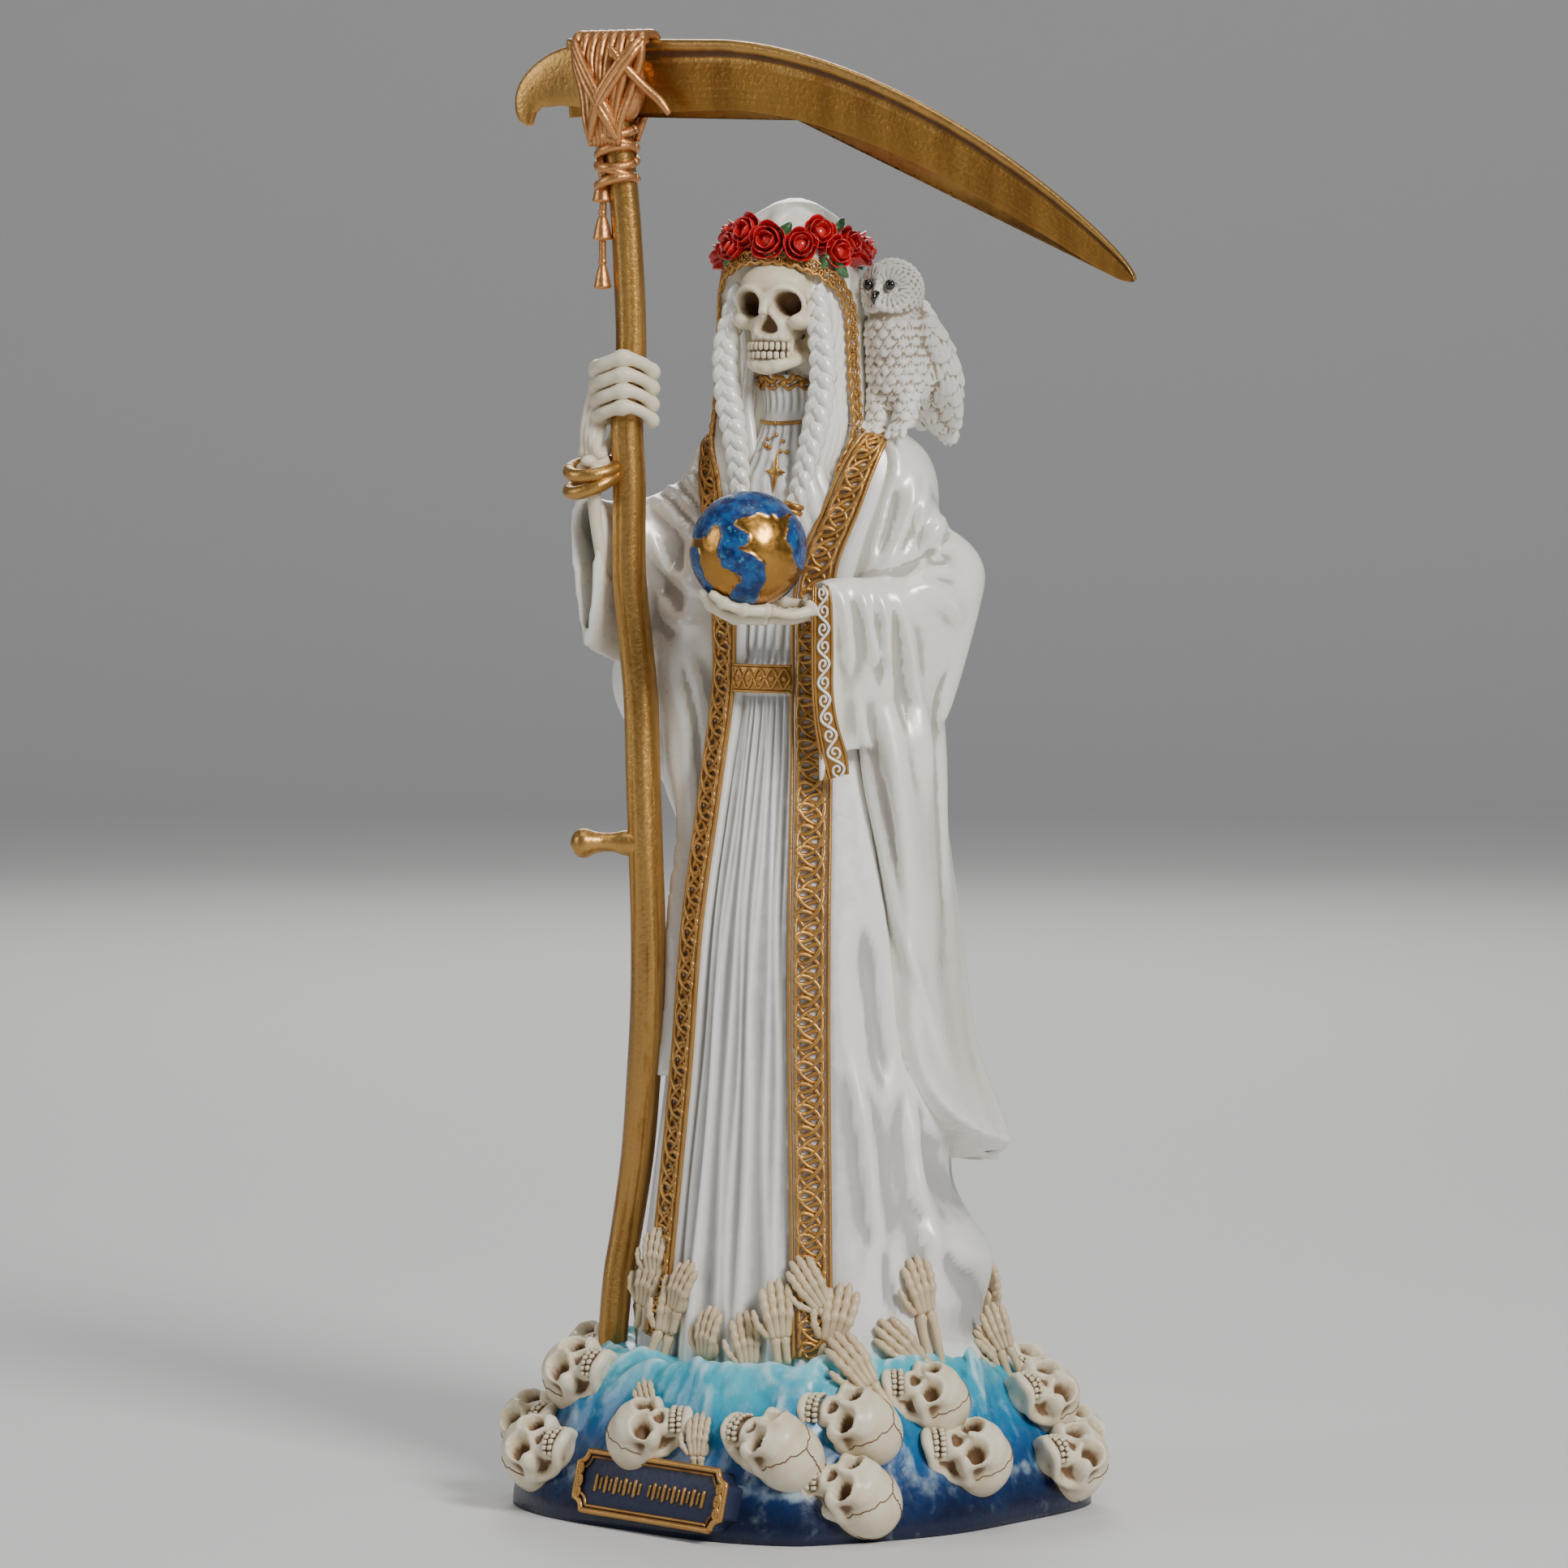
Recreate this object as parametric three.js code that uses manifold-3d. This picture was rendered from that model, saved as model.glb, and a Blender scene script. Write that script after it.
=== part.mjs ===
// A robed skeleton figurine with a scythe, a globe and an owl, on a mound of waves and skulls.
// Millimetres, +Z up. The origin is the centre of the underside; the front of the robe faces -Y.
import * as THREE from "three";
import { mergeVertices } from "three/addons/utils/BufferGeometryUtils.js";
import Module from "manifold-3d";

// Driving dimensions of the whole work.
const STATURE = 265; // underside to the crown of the hood
const BASE_LENGTH = 118;
const BASE_DEPTH = 106;
const BASE_TURN = 30; // degrees from +X to the long side of the base
const BASE_RIM = 6;
const BASE_ROUNDING = 1.45; // 2 makes the plan an oval, 1 a lozenge
const MOUND_HEIGHT = 33;
const HEM_RADIUS = 35.5;
const MANTLE_THICKNESS = 1.8;
const PLAQUE_WIDTH = 42;
const PLAQUE_HEIGHT = 13;
const PLAQUE_THICKNESS = 5;
const PLAQUE_FRAME = 1.1;
const SKULL_DIAMETER = 16.5;
const HEM_HAND_LENGTH = 11;
const GLOBE_DIAMETER = 22.8;
const ROSE_DIAMETER = 6;
const WREATH_DROP = 12; // from the crown of the hood down to the middles of the roses
const BAND_WIDTH = 7.6;
const KNOT_PITCH = 10.2; // from one eye of the knotwork to the next
const KNOT_STRAND = 1.5;
const KNOT_DEPTH = 1;
const BRACELET_DIAMETER = 8.6;
const BRACELET_WIRE = 2;

// The scythe's own sizes.
const SHAFT_DIAMETER = 7;
const BLADE_LENGTH = 127;
const BLADE_WIDTH = 16;
const BLADE_THICKNESS = 2.6;
const PEG_LENGTH = 9;
const PEG_DIAMETER = 4.4;
const LASHING_CORD = 2.4;
const BELL_LENGTH = 4.6;
const GRIP_CLEARANCE = 0.35; // between the scythe and the hand and mound that hold it

const { sin, cos, PI, hypot, min, max, exp, asin, abs } = Math;
const radians = THREE.MathUtils.degToRad;
const lerp = THREE.MathUtils.lerp;
const step = THREE.MathUtils.smoothstep;
const { Vector2, Vector3 } = THREE;

// The pose is written for a figure 265 mm tall and follows its stature.
const pose = STATURE / 265;
const at = (x, y, z) => new Vector3(x, y, z).multiplyScalar(pose);

const wasm = await Module();
wasm.setup();

// A closed geometry as a solid that can be joined and cut.
function solid(geometry) {
  const plain = geometry.clone();
  for (const name of Object.keys(plain.attributes)) {
    if (name !== "position") plain.deleteAttribute(name);
  }
  const merged = mergeVertices(plain, 1e-4);
  const triVerts = new Uint32Array(merged.index.array);
  const vertProperties = merged.attributes.position.array;
  const made = new wasm.Manifold(new wasm.Mesh({ numProp: 3, vertProperties, triVerts }));
  if (made.volume() > 0) return made;
  for (let i = 0; i < triVerts.length; i += 3) {
    [triVerts[i + 1], triVerts[i + 2]] = [triVerts[i + 2], triVerts[i + 1]];
  }
  return new wasm.Manifold(new wasm.Mesh({ numProp: 3, vertProperties, triVerts }));
}

const joined = (solids) => solids.reduce((whole, piece) => whole.add(piece));

// A solid as a named mesh with its own paint.
function namedMesh(made, name, paint) {
  const { vertProperties, triVerts } = made.getMesh();
  const geometry = new THREE.BufferGeometry();
  geometry.setAttribute("position", new THREE.BufferAttribute(vertProperties, 3));
  geometry.setIndex(new THREE.BufferAttribute(triVerts, 1));
  geometry.computeVertexNormals();
  const mesh = new THREE.Mesh(geometry, new THREE.MeshStandardMaterial(paint));
  mesh.name = name;
  return mesh;
}

// A lathe drum whose wall and flat ends are moved by place(turn, height share, radius share).
function loft(segments, rings, place) {
  const profile = [new Vector2(0, 0)];
  for (let i = 0; i <= rings; i++) profile.push(new Vector2(1, i / rings));
  profile.push(new Vector2(0, 1));
  const drum = new THREE.LatheGeometry(profile, segments);
  const position = drum.attributes.position;
  const point = new Vector3();
  for (let i = 0; i < position.count; i++) {
    point.fromBufferAttribute(position, i);
    const spread = hypot(point.x, point.z);
    const turn = spread > 0.5 ? ((i / profile.length) | 0) % segments : 0;
    const placed = place((2 * PI * turn) / segments, point.y, spread > 0.5 ? 1 : 0);
    position.setXYZ(i, placed.x, placed.y, placed.z);
  }
  return solid(drum);
}

// A value read off named stations [z, value...] with a smooth curve through them.
function station(stations, z, column) {
  const last = stations.length - 1;
  let i = 0;
  while (i < last - 1 && z > stations[i + 1][0]) i++;
  const slope = (k) => {
    const a = stations[max(0, k - 1)];
    const b = stations[min(last, k + 1)];
    return (b[column] - a[column]) / (b[0] - a[0]);
  };
  const width = stations[i + 1][0] - stations[i][0];
  const t = min(1, max(0, (z - stations[i][0]) / width));
  const rise = t * t * (3 - 2 * t);
  return stations[i][column] * (1 - rise) + stations[i + 1][column] * rise
    + width * (slope(i) * t * (1 - t) ** 2 - slope(i + 1) * t * t * (1 - t));
}

// A many-sided rod through points, with a half width and a half depth at each.
// "face" is the direction that the half depth lies along.
function rod(points, widths, depths, sides, face = new Vector3(0, 0, 1)) {
  const last = points.length - 1;
  return loft(sides, last, (turn, t, spread) => {
    const i = Math.round(t * last);
    const along = points[min(last, i + 1)].clone().sub(points[max(0, i - 1)]).normalize();
    const across = new Vector3().crossVectors(along, face).normalize();
    const out = new Vector3().crossVectors(across, along);
    return points[i].clone()
      .addScaledVector(across, spread * widths[i] * cos(turn))
      .addScaledVector(out, spread * depths[i] * sin(turn));
  });
}

// An egg of given half sizes, turned so that its own axes follow right, front and up.
function egg(centre, half, across, down, basis = new THREE.Matrix4()) {
  const ball = new THREE.SphereGeometry(1, across, down);
  ball.rotateX(PI / 2).scale(half.x, half.y, half.z);
  ball.applyMatrix4(basis).translate(centre.x, centre.y, centre.z);
  return solid(ball);
}

// The three directions of something that looks along "front" with its crown towards "crown".
function heading(front, crown) {
  const back = front.clone().normalize().negate();
  const right = new Vector3().crossVectors(back, crown).normalize();
  return new THREE.Matrix4().makeBasis(right, back, new Vector3().crossVectors(right, back));
}

// The mound: an oval drum that rises from its rim to the hem of the robe in waves.
const WAVES = 9;
const WAVE_RISE = 1.2;
const SWIRL = 1.7;
function moundTop(turn, reach) {
  const hem = HEM_RADIUS / basePlan(turn, 1).length();
  const fall = min(1, max(0, (reach - hem) / (1 - hem))) ** 1.5;
  const wave = sin(WAVES * turn + SWIRL * PI * reach * 2) * step(reach, 0.5, 0.8);
  return BASE_RIM + (MOUND_HEIGHT - BASE_RIM) * (1 - fall) + WAVE_RISE * wave * (1.1 - reach);
}

// The point of the base's plan at a turn from -Y towards +X and a share of the way to the rim.
function basePlan(turn, reach) {
  const longSide = radians(BASE_TURN);
  const oval = turn - PI / 2 - longSide;
  const corner = (abs(cos(oval)) ** BASE_ROUNDING + abs(sin(oval)) ** BASE_ROUNDING) ** (-1 / BASE_ROUNDING);
  const share = reach * corner * (1 + 0.012 * sin(7 * turn));
  const x = share * (BASE_LENGTH / 2) * cos(oval);
  const y = share * (BASE_DEPTH / 2) * sin(oval);
  return new Vector3(
    x * cos(longSide) - y * sin(longSide),
    x * sin(longSide) + y * cos(longSide),
    0,
  );
}

function onMound(turn, reach, lift = 0) {
  const point = basePlan(turn, reach);
  point.z = moundTop(turn, reach) + lift;
  return point;
}

function mound() {
  const segments = 28;
  const rings = 5;
  return loft(segments, rings, (turn, t, spread) => {
    if (t === 0) return spread ? basePlan(turn, 0.985) : new Vector3();
    const reach = spread ? 1 - 0.62 * (t - 1 / rings) ** 1.3 : 0;
    return onMound(turn, reach);
  });
}

// Stations of the coat: height, centre y, half width x, half depth y.
const COAT = [
  [20, 6, 37.5, 37], [33, 6, 36.5, 36], [48, 6, 35, 35], [74, 6, 31.5, 32.5], [90, 6, 29.5, 31],
  [119, 5.5, 26.5, 28], [145, 5, 23, 23], [168, 4, 19.5, 18.5], [180, 4, 20.5, 18],
  [195, 4.5, 24, 17], [207, 5, 25.5, 15.5], [214, 4.5, 23.5, 13.5], [218, 3, 19, 12], [222, 1, 11.5, 10],
  [226, -1, 7.5, 7.5],
];
// Stations of the coat's front edges: height and half the distance between their middles.
const OPENING = [
  [20, 18.5], [48, 17], [90, 14.4], [119, 13.1], [150, 11], [168, 9.8], [190, 10.5], [203, 14.5],
  [216, 18],
];
// Stations of the mantle: height and the turns of its front edges, on her left and her right.
const MANTLE_EDGES = [
  [70, 128, -44], [78, 92, -44], [86, 76, -45], [96, 70, -47], [119, 68, -50], [163, 56, -56],
  [185, 50, -50], [205, 56, -56], [216, 66, -66],
];

const coatAt = (z, column) => pose * station(COAT, z / pose, column);
const openingAt = (z) => pose * station(OPENING, z / pose, 1);
const edgeAt = (z, column) => radians(station(MANTLE_EDGES, z / pose, column));
const bump = (value, middle, spread) => exp(-(((value - middle) / spread) ** 2));

// How far the mantle covers the coat at a turn: 0 in front of its edges, 1 behind them.
function mantleCover(turn, z) {
  const edge = turn > 0 ? edgeAt(z, 1) : -edgeAt(z, 2);
  return step(abs(turn), edge - radians(5), edge + radians(1));
}

// The mantle's hem: degrees round the figure and height, lower on her left side and behind.
const MANTLE_HEM = [
  [-180, 66], [-125, 78], [-85, 86], [-44, 87], [44, 87], [80, 77], [118, 71], [150, 67], [180, 66],
];
const mantleHem = (turn) => pose * (station(MANTLE_HEM, THREE.MathUtils.radToDeg(turn), 1) + 0.7 * sin(5 * turn));

// Relief of the coat over its plain oval: pleated gown, raised bands and broad folds.
const GOWN_DEPTH = 1.6;
const GOWN_PLEATS = 24; // to a full turn
const FOLD_DEPTH = 0.9;
const COAT_FOLDS = 11;
const UNDER_MANTLE = 2;
const bandTurn = (z) => asin(min(0.95, openingAt(z) / coatAt(z, 2)));
const bandHalf = (z) => BAND_WIDTH / 2 / coatAt(z, 2);
function coatRelief(turn, z) {
  const band = bandTurn(z);
  const half = bandHalf(z);
  const inside = 1 - step(abs(turn), band - half * 1.3, band - half);
  const onBand = (1 - inside) * (1 - step(abs(turn), band + half, band + half * 1.3));
  const shoulder = 1 - step(z, 180 * pose, 210 * pose);
  const hem = mantleHem(turn);
  const hidden = mantleCover(turn, z) * step(z, hem + 3 * pose, hem + 9 * pose);
  const waves = FOLD_DEPTH * sin(turn * COAT_FOLDS + (z / pose) * 0.012);
  const folds = waves * (1 - inside) * (1 - onBand) * (1 - hidden);
  const gown = (GOWN_DEPTH / 2) * cos(turn * GOWN_PLEATS) - GOWN_DEPTH;
  return inside * gown + (GOWN_DEPTH / 2) * onBand + (folds - UNDER_MANTLE * hidden) * shoulder;
}

// A point on the coat at a turn from -Y towards +X, lifted off its surface.
function onCoat(turn, z, lift = 0) {
  const spread = (HEM_RADIUS - 35.5 * pose) * (1 - step(z, MOUND_HEIGHT, MOUND_HEIGHT + 60 * pose));
  const out = coatRelief(turn, z) + lift + spread;
  return new Vector3(
    (coatAt(z, 2) + out) * sin(turn),
    coatAt(z, 1) - (coatAt(z, 3) + out) * cos(turn),
    z,
  );
}

const wrapped = (turn) => (turn > PI ? turn - 2 * PI : turn);

// The coat's facets: narrow over the gown, one across each band, wide at the sides and back.
const GOWN_FACETS = 4; // from the middle to a band
const SIDE_FACETS = 4; // from a band to the edge of the mantle
const BACK_FACETS = 5; // from there to the middle of the back
const COAT_FACETS = 2 * (GOWN_FACETS + 3 + SIDE_FACETS + BACK_FACETS);
function coatTurn(facet, z) {
  const inner = bandTurn(z) - bandHalf(z);
  const outer = bandTurn(z) + bandHalf(z);
  const stops = [inner - 0.3 * bandHalf(z), inner, outer, outer + 0.3 * bandHalf(z)];
  if (facet <= GOWN_FACETS) return (stops[0] * facet) / GOWN_FACETS;
  if (facet <= GOWN_FACETS + 3) return stops[facet - GOWN_FACETS];
  const side = radians(85);
  const past = facet - GOWN_FACETS - 3;
  if (past <= SIDE_FACETS) return lerp(stops[3], side, past / SIDE_FACETS);
  return lerp(side, PI, (past - SIDE_FACETS) / BACK_FACETS);
}

// The knotwork on a band: two strands that cross over and over, with the ground between cut away.
// Eyes run down the middle, and half eyes down both sides where the strands cross.
function knotGround(side, bottom, top) {
  const eyes = max(1, Math.round((top - bottom) / KNOT_PITCH));
  const eye = (top - bottom) / eyes;
  const reach = BAND_WIDTH / 2 - 0.7 * KNOT_STRAND;
  const rise = eye / 2 - 0.7 * KNOT_STRAND;
  const cuts = [];
  for (let i = 0; i <= 2 * eyes; i++) {
    const z = bottom + (i * eye) / 2;
    const inner = onCoat(side * (bandTurn(z) - bandHalf(z)), z);
    const outer = onCoat(side * (bandTurn(z) + bandHalf(z)), z);
    const middle = inner.clone().lerp(outer, 0.5);
    const across = outer.clone().sub(inner).normalize();
    const climb = onCoat(side * bandTurn(z + 2), z + 2).sub(onCoat(side * bandTurn(z - 2), z - 2)).normalize();
    const inward = new Vector3().crossVectors(climb, across).multiplyScalar(side).normalize();
    const pit = (sides, size, inset, way) => {
      const cut = new THREE.ConeGeometry(1, 1.3 * KNOT_DEPTH, sides);
      cut.scale(rise / (sides === 3 ? 0.866 : 1), 1, size);
      const towards = across.clone().multiplyScalar(way);
      cut.applyMatrix4(new THREE.Matrix4().makeBasis(climb, inward, towards));
      const place = middle.clone().addScaledVector(towards, -inset).addScaledVector(inward, 0.35 * KNOT_DEPTH);
      return solid(cut.translate(place.x, place.y, place.z));
    };
    if (i % 2) cuts.push(pit(4, reach, 0, 1));
    else for (const way of [-1, 1]) cuts.push(pit(3, reach / 1.5, BAND_WIDTH / 2 - 0.3 - reach / 3, way));
  }
  return cuts;
}

function coat() {
  const bottom = BASE_RIM / 2;
  const top = 226 * pose;
  const plain = loft(COAT_FACETS, 14, (turn, t, spread) => {
    const z = lerp(bottom, top, t);
    if (!spread) return new Vector3(0, coatAt(z, 1), z);
    const facet = Math.round((turn / (2 * PI)) * COAT_FACETS);
    const left = facet <= COAT_FACETS / 2;
    return onCoat(left ? coatTurn(facet, z) : -coatTurn(COAT_FACETS - facet, z), z);
  });
  const cuts = [
    ...knotGround(1, MOUND_HEIGHT + 6, 145 * pose), ...knotGround(1, 194 * pose, 207 * pose),
    ...knotGround(-1, MOUND_HEIGHT + 10, 176 * pose), ...knotGround(-1, 196 * pose, 209 * pose),
  ];
  return plain.subtract(joined(cuts));
}

// The mantle hangs over the coat from the shoulders, open in front, and flares at its hem.
// In front it runs inside the coat, out of sight.
const MANTLE_FOLDS = 9;
function mantleRadius(turn, z) {
  const covered = mantleCover(turn, z);
  const share = z / pose;
  const side = (middle, spread) => bump(THREE.MathUtils.radToDeg(turn), middle, spread);
  const hemFlare = 5.4 * side(116, 34) * bump(share, 73, 14);
  const sleeveFall = 6 * side(95, 28) * bump(share, 165, 24) + 4.5 * side(62, 18) * bump(share, 158, 28);
  const rightFall = 22 * side(-82, 23) * bump(share, 168, 21);
  const backFall = 3 * (side(180, 50) + side(-180, 50)) * bump(share, 150, 60);
  const folds = 1.1 * sin(turn * MANTLE_FOLDS + share * 0.02) * (1 - step(share, 185, 208));
  return covered * (MANTLE_THICKNESS + pose * (hemFlare + sleeveFall + rightFall + backFall + folds))
    - 4.5 * pose * (1 - covered);
}

function mantle() {
  const top = 219 * pose;
  return loft(30, 10, (turn, t, spread) => {
    const angle = wrapped(turn);
    const hem = mantleHem(angle);
    const z = lerp(hem, top, t);
    if (!spread) return new Vector3(0, coatAt(z, 1), lerp(80 * pose, top, t));
    const out = mantleRadius(angle, z);
    return new Vector3(
      (coatAt(z, 2) + out) * sin(angle),
      coatAt(z, 1) - (coatAt(z, 3) + out) * cos(angle),
      z,
    );
  });
}

// A hanging sleeve: at each station a middle, a half width, and the cloth's rise and fall.
// The mouth is hollowed a little way in.
function sleeve(stations, sides) {
  const centres = stations.map(([x, y, z]) => at(x, y, z));
  const last = stations.length - 1;
  const rings = last;
  const section = (turn, t, spread) => {
    const along = t * last;
    const i = min(last - 1, along | 0);
    const share = along - i;
    const value = (column) => pose * lerp(stations[i][column], stations[i + 1][column], share);
    const centre = centres[i].clone().lerp(centres[i + 1], share);
    const next = centres[min(last, i + 1)].clone().sub(centres[i]);
    const across = new Vector3(-next.y, next.x, 0).normalize();
    const rise = sin(turn) > 0 ? value(4) : value(5);
    const narrow = 1 - 0.35 * max(0, -sin(turn));
    centre.addScaledVector(across, spread * value(3) * cos(turn) * narrow);
    centre.z += spread * rise * sin(turn);
    return centre;
  };
  return loft(sides, rings, section);
}

// x, y, z of the middle, half width, rise above it and fall below it.
const LEFT_SLEEVE = [
  [14, 5, 207, 9, 9, 14], [22, 6, 202, 8.5, 9, 18], [28.5, 10, 188, 8, 9, 21],
  [25, -5, 184, 6.5, 6, 29], [15.5, -19.5, 186, 3.6, 3, 39],
];
const RIGHT_SLEEVE = [
  [-14, 5, 207, 9, 9, 14], [-24, 3, 202, 8.5, 9, 20], [-32, -4, 196, 7, 9, 26],
  [-37, -12, 196, 5.5, 8, 24], [-39.5, -19.5, 199, 4.5, 7, 27],
];

// The hood: height, centre y, half width, half depth.
const HOOD = [
  [208, -1, 14, 14], [216, -1, 15.5, 16], [224, -1.5, 15, 16], [232, -2, 14.4, 15.6],
  [242, -2.5, 14, 15], [250, -2.5, 13.2, 13.6], [256, -2.5, 11, 11.4], [261, -2.5, 8, 8.4],
  [264, -2.5, 4.2, 4.4], [265, -2.5, 1.2, 1.2],
];
const HEAD_TURN = radians(5);
const HEAD = at(0.5, -3, 243);
const lookFrom = (turn) => new Vector3(sin(turn), -cos(turn), 0);

// A point of the hood at a turn and a height, "out" off its surface.
function onHood(turn, z, out = 0, share = 1) {
  const value = (column) => pose * station(HOOD, z / pose, column);
  const x = lerp(-1, 0.5, (z / pose - 208) / 57) * pose + (share * value(2) + out) * sin(turn);
  return new Vector3(x, value(1) - (share * value(3) + out) * cos(turn), z);
}

function hood() {
  const shell = loft(13, 7, (turn, t, spread) => {
    const fold = 1 + 0.03 * sin(8 * turn) * (1 - t);
    return onHood(turn, pose * lerp(208, 265, 1 - (1 - t) ** 1.25), 0, spread * fold);
  });
  const front = lookFrom(HEAD_TURN);
  const face = HEAD.clone().addScaledVector(front, 13 * pose).add(at(0, 0, -3.5));
  const opening = egg(face, at(10.5, 12, 11.4), 9, 6, heading(front, at(0, 0, 1)));
  const throat = egg(at(1, -17, 221), at(8, 8, 13), 7, 4);
  return shell.subtract(opening).subtract(throat);
}

// A small skull from the back of the cranium to the teeth: at each station how far forward,
// the height of the middle, the half width and the half height, as shares of its radius.
const SKULL_STATIONS = [
  [-0.9, 0.25, 0.6, 0.55], [-0.15, 0.2, 0.95, 0.95], [0.66, -0.2, 0.72, 0.86], [0.98, -0.45, 0.42, 0.56],
];
const SOCKET = [0.37, 0.88, -0.04]; // to the side, forward and up
function smallSkull(centre, diameter, front, crown) {
  const r = diameter / 2;
  const basis = heading(front, crown);
  const local = (x, y, z) => new Vector3(x, -y, z).multiplyScalar(r).applyMatrix4(basis).add(centre);
  let whole = loft(6, SKULL_STATIONS.length - 1, (turn, t, spread) => {
    const [forward, middle, wide, high] = SKULL_STATIONS[Math.round(t * (SKULL_STATIONS.length - 1))];
    return local(spread * wide * cos(turn), forward, middle + spread * high * sin(turn));
  });
  for (const side of [-1, 1]) {
    const socket = new THREE.OctahedronGeometry(1).scale(0.3 * r, 0.4 * r, 0.3 * r).applyMatrix4(basis);
    const middle = local(side * SOCKET[0], SOCKET[1], SOCKET[2]);
    whole = whole.subtract(solid(socket.translate(middle.x, middle.y, middle.z)));
  }
  return whole;
}

// The face under the hood: cranium, face and jaw, with sockets, nose and mouth cut in.
const FACE_DIAMETER = 20.5;
function skull(centre, diameter, front, crown) {
  const r = diameter / 2;
  const basis = heading(front, crown);
  const local = (x, y, z) => new Vector3(x, y, z).multiplyScalar(r).applyMatrix4(basis).add(centre);
  const half = (x, y, z) => new Vector3(x, y, z).multiplyScalar(r);
  const cranium = egg(local(0, 0.12, 0.12), half(0.86, 1.05, 0.88), 10, 7, basis);
  const face = rod(
    [local(0, -0.55, 0.1), local(0, -0.64, -0.4), local(0, -0.6, -1.12)],
    [0.72 * r, 0.66 * r, 0.36 * r],
    [0.45 * r, 0.46 * r, 0.36 * r],
    7,
    front,
  );
  let whole = cranium.add(face);
  for (const side of [-1, 1]) {
    whole = whole.subtract(egg(local(0.36 * side, -0.98, -0.12), half(0.27, 0.4, 0.24), 6, 3, basis));
  }
  whole = whole.subtract(egg(local(0, -1.08, -0.44), half(0.14, 0.25, 0.16), 5, 3, basis));
  return whole.subtract(egg(local(0, -1.02, -0.74), half(0.34, 0.2, 0.035), 6, 2, basis));
}

// The middle of the braid on each side of the neck, from the temple down to the chest.
const BRAID_RIGHT = [[-6.8, -12, 244], [-8.2, -14.4, 238], [-7.4, -15.6, 228], [-5, -15.8, 217], [-3.6, -15.2, 206]];
const BRAID_LEFT = [[9.8, -10.5, 244], [12, -12.4, 238], [13.4, -12.4, 228], [12, -14, 217], [8.8, -15.6, 205]];
const BRAID_RADIUS = 2.3;

// A rope of hair through points, lumpy like a braid.
function braid(middles) {
  const curve = new THREE.CatmullRomCurve3(middles.map((point) => at(...point)));
  const count = 6;
  const path = curve.getPoints(count);
  const widths = path.map((_, i) => BRAID_RADIUS * (i % 2 ? 1.08 : 0.82));
  return rod(path, widths, widths, 4, new Vector3(1, 0.2, 0));
}

// The pleated collar: middle, half width and half depth at each station.
const COLLAR = [[1, -5.5, 213, 9.5, 8], [1, -5, 222, 5.6, 5.4], [1, -5.5, 229, 6, 5.8]];
function collar() {
  const widths = COLLAR.map((row) => row[3] * pose);
  const depths = COLLAR.map((row) => row[4] * pose);
  return rod(COLLAR.map(([x, y, z]) => at(x, y, z)), widths, depths, 8, new Vector3(0, 1, 0));
}

// Roses and leaves in a ring round the brow, seated on the hood.
const WREATH_ROSES = 12;
function wreath() {
  const pieces = [];
  const height = STATURE - WREATH_DROP;
  const r = ROSE_DIAMETER / 2;
  const seat = 0.4 * r; // of a rose's middle off the hood
  const ringPoint = (turn, rise) => {
    const point = onHood(turn, height, seat);
    point.z += rise;
    return point;
  };
  for (let i = 0; i < WREATH_ROSES; i++) {
    const turn = (2 * PI * i) / WREATH_ROSES;
    const middle = ringPoint(turn, 0.3 * r * sin(5 * turn));
    const out = lookFrom(turn).add(new Vector3(0, 0, 0.25));
    const basis = heading(out, new Vector3(0, 0, 1));
    pieces.push(egg(middle, new Vector3(r * 1.05, r * 1.3, r), 5, 3, basis));
    if (i % 3 === 1) continue;
    const leafTurn = turn + PI / WREATH_ROSES;
    const leaf = ringPoint(leafTurn, (i % 3 ? 0.87 : -0.87) * r);
    const tilt = heading(lookFrom(leafTurn), new Vector3(0, 0, 1));
    pieces.push(egg(leaf, new Vector3(r * 0.7, r * 0.35, r), 4, 2, tilt));
  }
  return joined(pieces);
}

// The owl that perches on her left shoulder, looking the way she does.
function owl() {
  const front = lookFrom(0);
  const upright = heading(front, new Vector3(0, 0, 1));
  const leaning = heading(front, new Vector3(0, 0.3, 1));
  const head = egg(at(19.5, 3.5, 246.4), at(6.8, 6.6, 6.6), 8, 5, upright);
  const body = egg(at(20, 7.5, 232.5), at(8.4, 8, 13), 7, 5, leaning);
  const widths = [6, 5, 2.6].map((v) => v * pose);
  const depths = [3.4, 2.4, 1.2].map((v) => v * pose);
  const tail = rod([at(20, 12, 231), at(20, 20, 224), at(20, 26, 217.5)], widths, depths, 4);
  const beak = egg(at(20, -3, 244.6), at(1, 1.6, 2), 4, 3, upright);
  const pieces = [head, body, beak, tail];
  for (const side of [-1, 1]) {
    pieces.push(rod(
      [at(20 + 7.4 * side, 5, 240), at(20 + 8 * side, 11, 230), at(20 + 4.5 * side, 23, 219)],
      [3, 4.8, 1.6].map((v) => v * pose), [1.6, 2, 1].map((v) => v * pose), 4, new Vector3(side, 0, 0),
    ));
  }
  return joined(pieces);
}

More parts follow.
